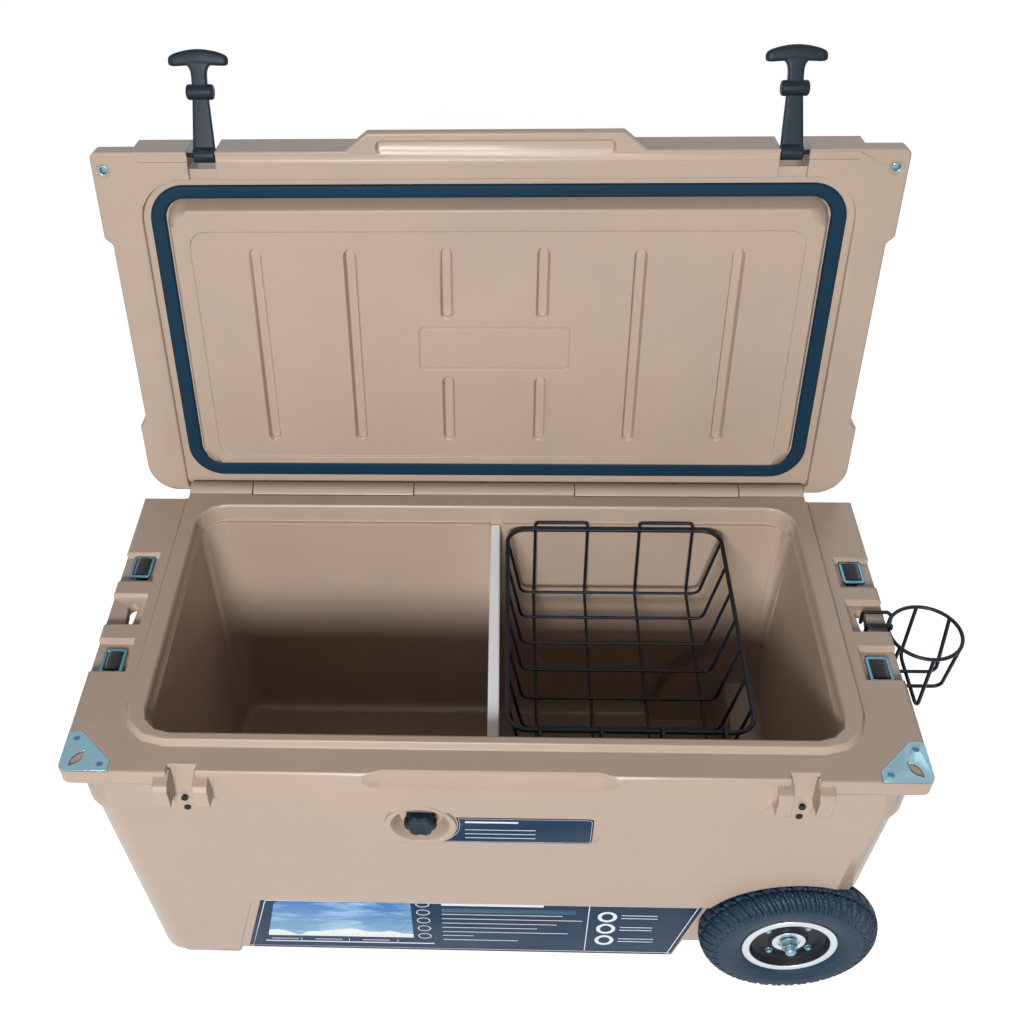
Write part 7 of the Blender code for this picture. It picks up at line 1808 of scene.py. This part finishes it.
@dataclass
class Vent:
    """The pressure vent in the front wall: its seat and its lobed button."""

    shop: Workshop
    centre: tuple = VENT_CENTRE
    lobes: int = 6
    lobe_depth: float = 0.17
    radius: float = 0.0168
    thick: float = 0.011

    def build(self) -> None:
        """Build the seat and the button."""
        low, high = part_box("vent_seat")
        x, z = self.centre
        face = low.y - self.shop.home.y
        deep = high.y - self.shop.home.y
        corners = [(0.0080, face + 0.0002), (0.0140, face), (0.0150, face + 0.0010), (0.0150, face + 0.0022),
                   (0.0100, face + 0.0022), (0.0100, deep), (0.0080, deep)]
        section = fillet(corners, 0.0004, 4, closed=True)
        self.shop.add("vent_cup", turned(section, Axis.Y, (x, 0, z), 72), RUBBER, "tub", ["vent_seat"],
                      sharp=50)
        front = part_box("vent_button")[0].y - self.shop.home.y
        self.build_button(x, z, front)

    def build_button(self, x: float, z: float, front: float) -> None:
        """The button: rings whose radius is that of the lobes, radius * (1 - depth * sin^4(3a)),
        drawn in over a rounded edge, with a dished face and a stem behind.

        Args:
            x: the button's centre in X.
            z: height of its centre.
            front: its front in Y.
        """
        angle = np.arange(144) * math.tau / 144
        lobe = 1 - self.lobe_depth * np.sin(self.lobes * angle / 2) ** 4
        draw = [0.05, 0.40, 0.62, 0.70, 0.80, 0.90, 0.965, 0.99, 1.0, 1.0, 0.97, 0.46, 0.46, 0.05]
        depth = [0.0010, 0.0009, 0.0005, 0.0000, 0.0001, 0.0008, 0.0022, 0.0034, 0.0048, 0.0100, self.thick,
                 self.thick,
                 self.thick + 0.012, self.thick + 0.012]
        rows = []
        for share, along in zip(draw, depth):
            shape = lobe if share > 0.6 else np.ones(144)
            ring = self.radius * share * shape
            rows.append(np.stack([x + ring * np.cos(angle), np.full(144, front + along),
                                  z + ring * np.sin(angle)], axis=1))
        self.shop.add("vent_knob", grid_shell(np.stack(rows), False, True, True), RUBBER, "vent_button",
                      ["vent_button"], sharp=50)


@dataclass
class Drain:
    """The drain in the end wall: fitting, screw plug and tether."""

    shop: Workshop
    centre: float = 0.086

    def build(self) -> None:
        """Build the three pieces."""
        home = self.shop.home
        low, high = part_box("drain_fitting")
        out, inner = low.x - home.x, high.x - home.x
        corners = [(0.0110, out), (0.0200, out), (0.0210, out + 0.0012), (0.0210, out + 0.0030),
                   (0.0130, out + 0.0030),
                   (0.0130, inner), (0.0110, inner)]
        section = fillet(corners, [0.0004, 0.0008, 0.0008, 0.0003, 0.0003, 0.0003, 0.0003], 4, closed=True)
        self.shop.add("drain_tube", turned(section, Axis.X, (0, 0, self.centre), 64), RUBBER, "tub",
                      ["drain_fitting"], sharp=50)
        self.build_plug()
        self.shop.copy_of("drain_tether", "plug_tether", RUBBER, "tub", 0.0004, 2, 35, sharp=50)

    def build_plug(self) -> None:
        """The plug: a knurled head, whose radius has 24 shallow flutes, on a threaded stem."""
        low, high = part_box("drain_plug")
        bar = low.x - self.shop.home.x
        end = high.x - self.shop.home.x
        out = bar + 0.0045
        waist = out + 0.009
        face = waist + 0.0034
        angle = np.arange(192) * math.tau / 192
        flutes = 1 - 0.05 * np.abs(np.sin(angle * 12)) ** 3
        thread = np.linspace(face + 0.0005, end - 0.002, 60)
        rows = [(0.05, out, 0), (0.80, out, 0), (0.93, out + 0.0004, 1), (1.0, out + 0.002, 1),
                (1.0, waist - 0.0008, 1),
                (0.97, waist, 1), (0.694, waist + 0.0001, 0), (0.694, face - 0.0001, 0), (0.59, face, 0)]
        rings = [np.stack([np.full(192, along), 0.018 * share * (flutes if fluted else 1) * np.cos(angle),
                           self.centre + 0.018 * share * (flutes if fluted else 1) * np.sin(angle)], axis=1)
                 for share, along, fluted in rows]
        radius = 0.0100 + 0.0006 * np.cos(thread / 0.003 * math.tau)
        rings += [np.stack([np.full(192, along), r * np.cos(angle), self.centre + r * np.sin(angle)], axis=1)
                  for r, along in zip(radius, thread)]
        rings.append(np.stack([np.full(192, end), 0.002 * np.cos(angle), self.centre + 0.002 * np.sin(angle)],
                              axis=1))
        head = grid_shell(np.stack(rings), False, True, True)
        wing = slab(rounded_box((-0.0032, -0.0150), (0.0032, 0.0150), 0.0030, 5), 0.0, 0.0060, 0.0018)
        wing = moved(swapped(wing, (2, 0, 1)), (bar, 0, self.centre))
        self.shop.add("drain_screw", joined([head, wing]), RUBBER, "drain_plug", ["drain_plug"], sharp=50)


@dataclass
class FrontPrints:
    """The bare badge plate and the picture label on the front wall."""

    shop: Workshop
    wall_half_depth: float = 0.185
    draft: float = 0.07
    badge_sink: float = 0.0015
    label_sink: float = 0.004

    def on_wall(self, outline: Points, sink: float, low: float, high: float) -> Shell:
        """A thin plate on the leaning wall, from its outline as (x, z) pairs: y is minus the
        wall's half depth at that height, plus the panel's sink, less the lift.

        Args:
            outline: the plate's outline as (x, z) pairs.
            sink: depth of the panel that it lies in.
            low: lift of its back.
            high: lift of its front.

        Returns:
            The plate's surface.
        """
        plate = slab(outline, low, high, min(0.00015, (high - low) / 2.2), 2)
        x, z, lift = plate.points.T
        y = -(self.wall_half_depth + self.draft * z) + sink - lift
        return Shell(np.stack([x, y, z], axis=1), plate.quads, plate.caps)

    def line(self, outline: Points, width: float, sink: float, low: float, high: float,
             closed: bool = True) -> Shell:
        """A printed line along an outline: a flat ribbon between two offsets of it.

        Args:
            outline: the outline as (x, z) pairs.
            width: the line's width.
            sink: depth of the panel that it lies in.
            low: lift of its back.
            high: lift of its front.
            closed: whether the line runs on from its last point to its first.

        Returns:
            The ribbon's surface.
        """
        if closed:
            inner = offset_outline(outline, width)
        else:
            ahead = unit(np.gradient(outline, axis=0))
            inner = outline + np.stack([-ahead[:, 1], ahead[:, 0]], axis=1) * width
        rows = np.stack([np.column_stack([edge, np.full(len(edge), lift)]) for edge, lift in
                         ((outline, low), (outline, high), (inner, high), (inner, low))], axis=1)
        x, z, lift = np.moveaxis(rows, 2, 0)
        y = -(self.wall_half_depth + self.draft * z) + sink - lift
        return grid_shell(np.stack([x, y, z], axis=2), closed, True, not closed)

    def build(self) -> None:
        """Build both prints."""
        self.build_badge()
        self.build_label()

    def build_badge(self) -> None:
        """The badge: dark, bare, with a fine edge line and two pinstripes; its left end is
        hollow about the vent."""
        low, high, right = 0.2902, 0.3388, 0.1047
        (vent_x, vent_z), reach = VENT_CENTRE, 0.0386
        height = np.linspace(low, high, 14)
        hollow = np.stack([vent_x + np.sqrt(reach ** 2 - (height - vent_z) ** 2), height], axis=1)
        end = fillet([(0.0, low), (right, low), (right, high), (0.0, high)], 0.0060, 6)
        outline = np.concatenate([end[1:-1], hollow[::-1]])
        self.shop.add("badge_plate", self.on_wall(outline, 0.0, -self.badge_sink + 0.0001, 0.0004),
                      PLATE_PRINT, "tub", sharp=40)
        shells = [self.line(offset_outline(outline, 0.0016), 0.0004, 0.0, 0.0003, 0.00055)]
        for number, (left, height_at, width) in enumerate(((-0.026, 0.3290, 0.0032), (-0.026, 0.3150, 0.0010),
                                                           (-0.026, 0.3070, 0.0010),
                                                           (-0.026, 0.2990, 0.0010))):
            stripe = np.array([(left, height_at), (0.028 if number == 0 else 0.046, height_at)])
            shells.append(self.line(stripe, width, 0.0, 0.0003, 0.00055, closed=False))
        self.shop.add("badge_lines", joined(shells), LINE_PRINT, "tub", sharp=40)

    def build_label(self) -> None:
        """The label: dark, with a pale edge line, a picture of water, plain rings and rules."""
        sink = self.label_sink
        outline = fillet([(-0.2918, 0.0238), (0.2140, 0.0230), (0.2392, 0.1498), (-0.2605, 0.1490)],
                         [0.003, 0.004, 0.006, 0.010], 6, closed=True)
        self.shop.add("label_sheet", self.on_wall(outline, sink, 0.0, 0.0005), PLATE_PRINT, "tub", sharp=40)
        shells = [self.line(offset_outline(outline, 0.0045), 0.0011, sink, 0.0004, 0.0007)]
        rules = [(0.1120, 0.0300, 0.1120, 0.1445, 0.0011), (-0.2690, 0.0400, -0.0670, 0.0400, 0.0024)]
        rules += [(left, 0.0440, left, 0.0500, 0.0008) for left in (-0.2250, -0.1680, -0.1100)]
        rules += [(left, 0.0470, left + 0.032, 0.0470, 0.0012) for left in (-0.2610, -0.2090, -0.1520)]
        ends = ((0.060, 0.1390, 0.0046), (0.082, 0.1170, 0.0012), (0.105, 0.1060, 0.0012),
                (0.076, 0.0950, 0.0012),
                (0.054, 0.0840, 0.0012), (0.090, 0.0730, 0.0012), (-0.020, 0.0630, 0.0012),
                (0.032, 0.0520, 0.0012))
        rules += [(-0.0560, height, right, height, width) for right, height, width in ends]
        rules += [(0.1490, middle + lift, right, middle + lift, 0.0014) for middle, right in
                  ((0.1180, 0.190), (0.0885, 0.186), (0.0590, 0.190)) for lift in (0.0035, -0.0035)]
        for left, low, right, high, width in rules:
            rule = np.array([(left, low), (right, high)])
            shells.append(self.line(rule, width, sink, 0.0004, 0.0007, closed=False))
        for number in range(5):
            ring = circle(0.0068, 40) * (1.15, 1) + (-0.0775, 0.1410 - number * 0.0200)
            shells.append(self.line(ring, 0.0011, sink, 0.0004, 0.0007))
        for height in (0.1180, 0.0885, 0.0590):
            ring = circle(0.0110, 56) * (1, 1.15) + (0.1330, height)
            shells.append(self.line(ring, 0.0044, sink, 0.0004, 0.0007))
        self.shop.add("label_lines", joined(shells), LINE_PRINT, "tub", sharp=40)
        bar = rounded_box((-0.0560, 0.1225), (0.0970, 0.1325), 0.0006, 3)
        self.shop.add("label_bar", self.on_wall(bar, sink, 0.0003, 0.00065), BAR_PRINT, "tub", sharp=40)
        picture = fillet([(-0.2640, 0.0560), (-0.0910, 0.0560), (-0.0910, 0.1450), (-0.2464, 0.1430)],
                         [0.001, 0.001, 0.001, 0.010], 5, closed=True)
        self.shop.add("label_picture", self.on_wall(picture, sink, 0.0003, 0.00075), SEA, "tub", sharp=40)


# ---------------------------------------------------------------- studio


@dataclass
class Studio:
    """The floor, the lamps and the camera."""

    home: Vector
    eye: tuple = (0.0076, -0.9211, 1.3894)
    turn: tuple = (0.8154, 0.0210, 0.0327)
    focal_pixels: float = 1226.6
    principal: tuple = (453.1, 544.5)
    frame: tuple = (1019, 1024)
    sensor: float = 36.0
    floor_reach: float = 6.0
    floor_shade: float = 0.45
    floor_glow: float = 0.88
    world_level: float = 0.12
    key_power: float = 154.0
    fill_power: float = 5.0
    aim_height: float = 0.35

    def build(self) -> None:
        """Build the studio."""
        bpy.context.scene.view_settings.view_transform = "Standard"
        self.build_camera()
        self.build_floor()
        self.build_lamps()

    def build_camera(self) -> None:
        """The camera at the photograph's place: the shift carries its principal point."""
        data = bpy.data.cameras.new("camera")
        data.sensor_fit = "HORIZONTAL"
        data.sensor_width = self.sensor
        data.lens = self.focal_pixels * self.sensor / self.frame[0]
        data.shift_x = (self.frame[0] / 2 - self.principal[0]) / self.frame[0]
        data.shift_y = (self.principal[1] - self.frame[1] / 2) / self.frame[0]
        data.clip_start, data.clip_end = 0.05, 30
        camera = bpy.data.objects.new("camera", data)
        camera.location = Vector(self.eye) + self.home
        camera.rotation_euler = self.turn
        bpy.context.scene.collection.objects.link(camera)
        bpy.context.scene.camera = camera

    @staticmethod
    def seen_directly(sketch: Sketch) -> bpy.types.NodeSocket:
        """1 on camera, glossy and transmission rays, 0 on the rest.

        Args:
            sketch: the sketch that the rays' marks go into.

        Returns:
            The mark's socket.
        """
        rays = sketch.add("LightPath")
        seen = sketch.math("MAXIMUM", rays.outputs["Is Camera Ray"], rays.outputs["Is Glossy Ray"])
        return sketch.math("MAXIMUM", seen, rays.outputs["Is Transmission Ray"])

    def build_floor(self) -> None:
        """A wide pale floor that keeps the object's shadow and shows white to the camera."""
        mesh = bpy.data.meshes.new("floor")
        reach = self.floor_reach
        mesh.from_pydata([(-reach, -reach, 0), (reach, -reach, 0), (reach, reach, 0), (-reach, reach, 0)], [],
                         [(0, 1, 2, 3)])
        floor = bpy.data.objects.new("floor", mesh)
        bpy.context.scene.collection.objects.link(floor)
        material = bpy.data.materials.new("pale_floor")
        material.use_nodes = True
        sketch = Sketch(material.node_tree)
        shader = material.node_tree.nodes["Principled BSDF"]
        shader.inputs["Base Color"].default_value = (self.floor_shade,) * 3 + (1,)
        shader.inputs["Roughness"].default_value = 0.9
        shader.inputs["Emission Strength"].default_value = 1.0
        glow = (self.floor_glow, self.floor_glow, self.floor_glow, 1.0)
        seen = sketch.mix(self.seen_directly(sketch), (0.0, 0.0, 0.0, 1.0), glow)
        sketch.tree.links.new(seen, shader.inputs["Emission Color"])
        mesh.materials.append(material)

    def build_lamps(self) -> None:
        """A pale world that shows white behind the object, with a key lamp by the camera and two fills."""
        world = bpy.data.worlds.new("studio")
        world.use_nodes = True
        sketch = Sketch(world.node_tree)
        back = world.node_tree.nodes["Background"]
        back.inputs["Color"].default_value = (0.98, 0.99, 1.0, 1)
        strength = sketch.ramp(self.seen_directly(sketch), 0.0, 1.0, self.world_level, 1.0)
        sketch.tree.links.new(strength, back.inputs["Strength"])
        bpy.context.scene.world = world
        lamps = (("key", (-0.40, -3.50, 2.10), 1.0, self.key_power),
                 ("fill", (-2.2, -0.9, 1.5), 1.5, self.fill_power),
                 ("back", (0.9, 2.0, 2.2), 1.2, self.fill_power))
        for name, place, size, power in lamps:
            data = bpy.data.lights.new(name, "AREA")
            data.shape = "DISK"
            data.size = size
            data.energy = power
            lamp = bpy.data.objects.new(name, data)
            lamp.location = Vector(place) + self.home
            aim = Vector((0.0, 0.0, self.aim_height)) + self.home - lamp.location
            lamp.rotation_euler = aim.to_track_quat("-Z", "Y").to_euler()
            bpy.context.scene.collection.objects.link(lamp)


def main() -> None:
    """Load the solids, dress every sub-assembly and set the studio round it."""
    logging.basicConfig(level=logging.INFO, format="%(message)s")
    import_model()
    low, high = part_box("tub")
    home = Vector(((low.x + high.x) / 2, low.y + TUB_FRONT, low.z))
    shop = Workshop(home)
    Studio(home).build()
    Tub(shop).build()
    Lid(shop).build()
    for hand, side, shift, lean in (("left", -1, 0.0024, -0.006), ("right", 1, -0.0024, -0.021)):
        Latch(shop, hand, side, shift, lean).build()
        Handle(shop, hand, side).build()
    Axle(shop).build()
    for hand, side in (("front", -1), ("rear", 1)):
        Wheel(shop, hand, side).build()
    for part in (Basket(shop), CupHolder(shop), Divider(shop), Vent(shop), Drain(shop), FrontPrints(shop)):
        part.build()
    LOG.info("%d pieces made", len(shop.made))
    bpy.context.view_layer.update()


if __name__ == "__main__":
    main()
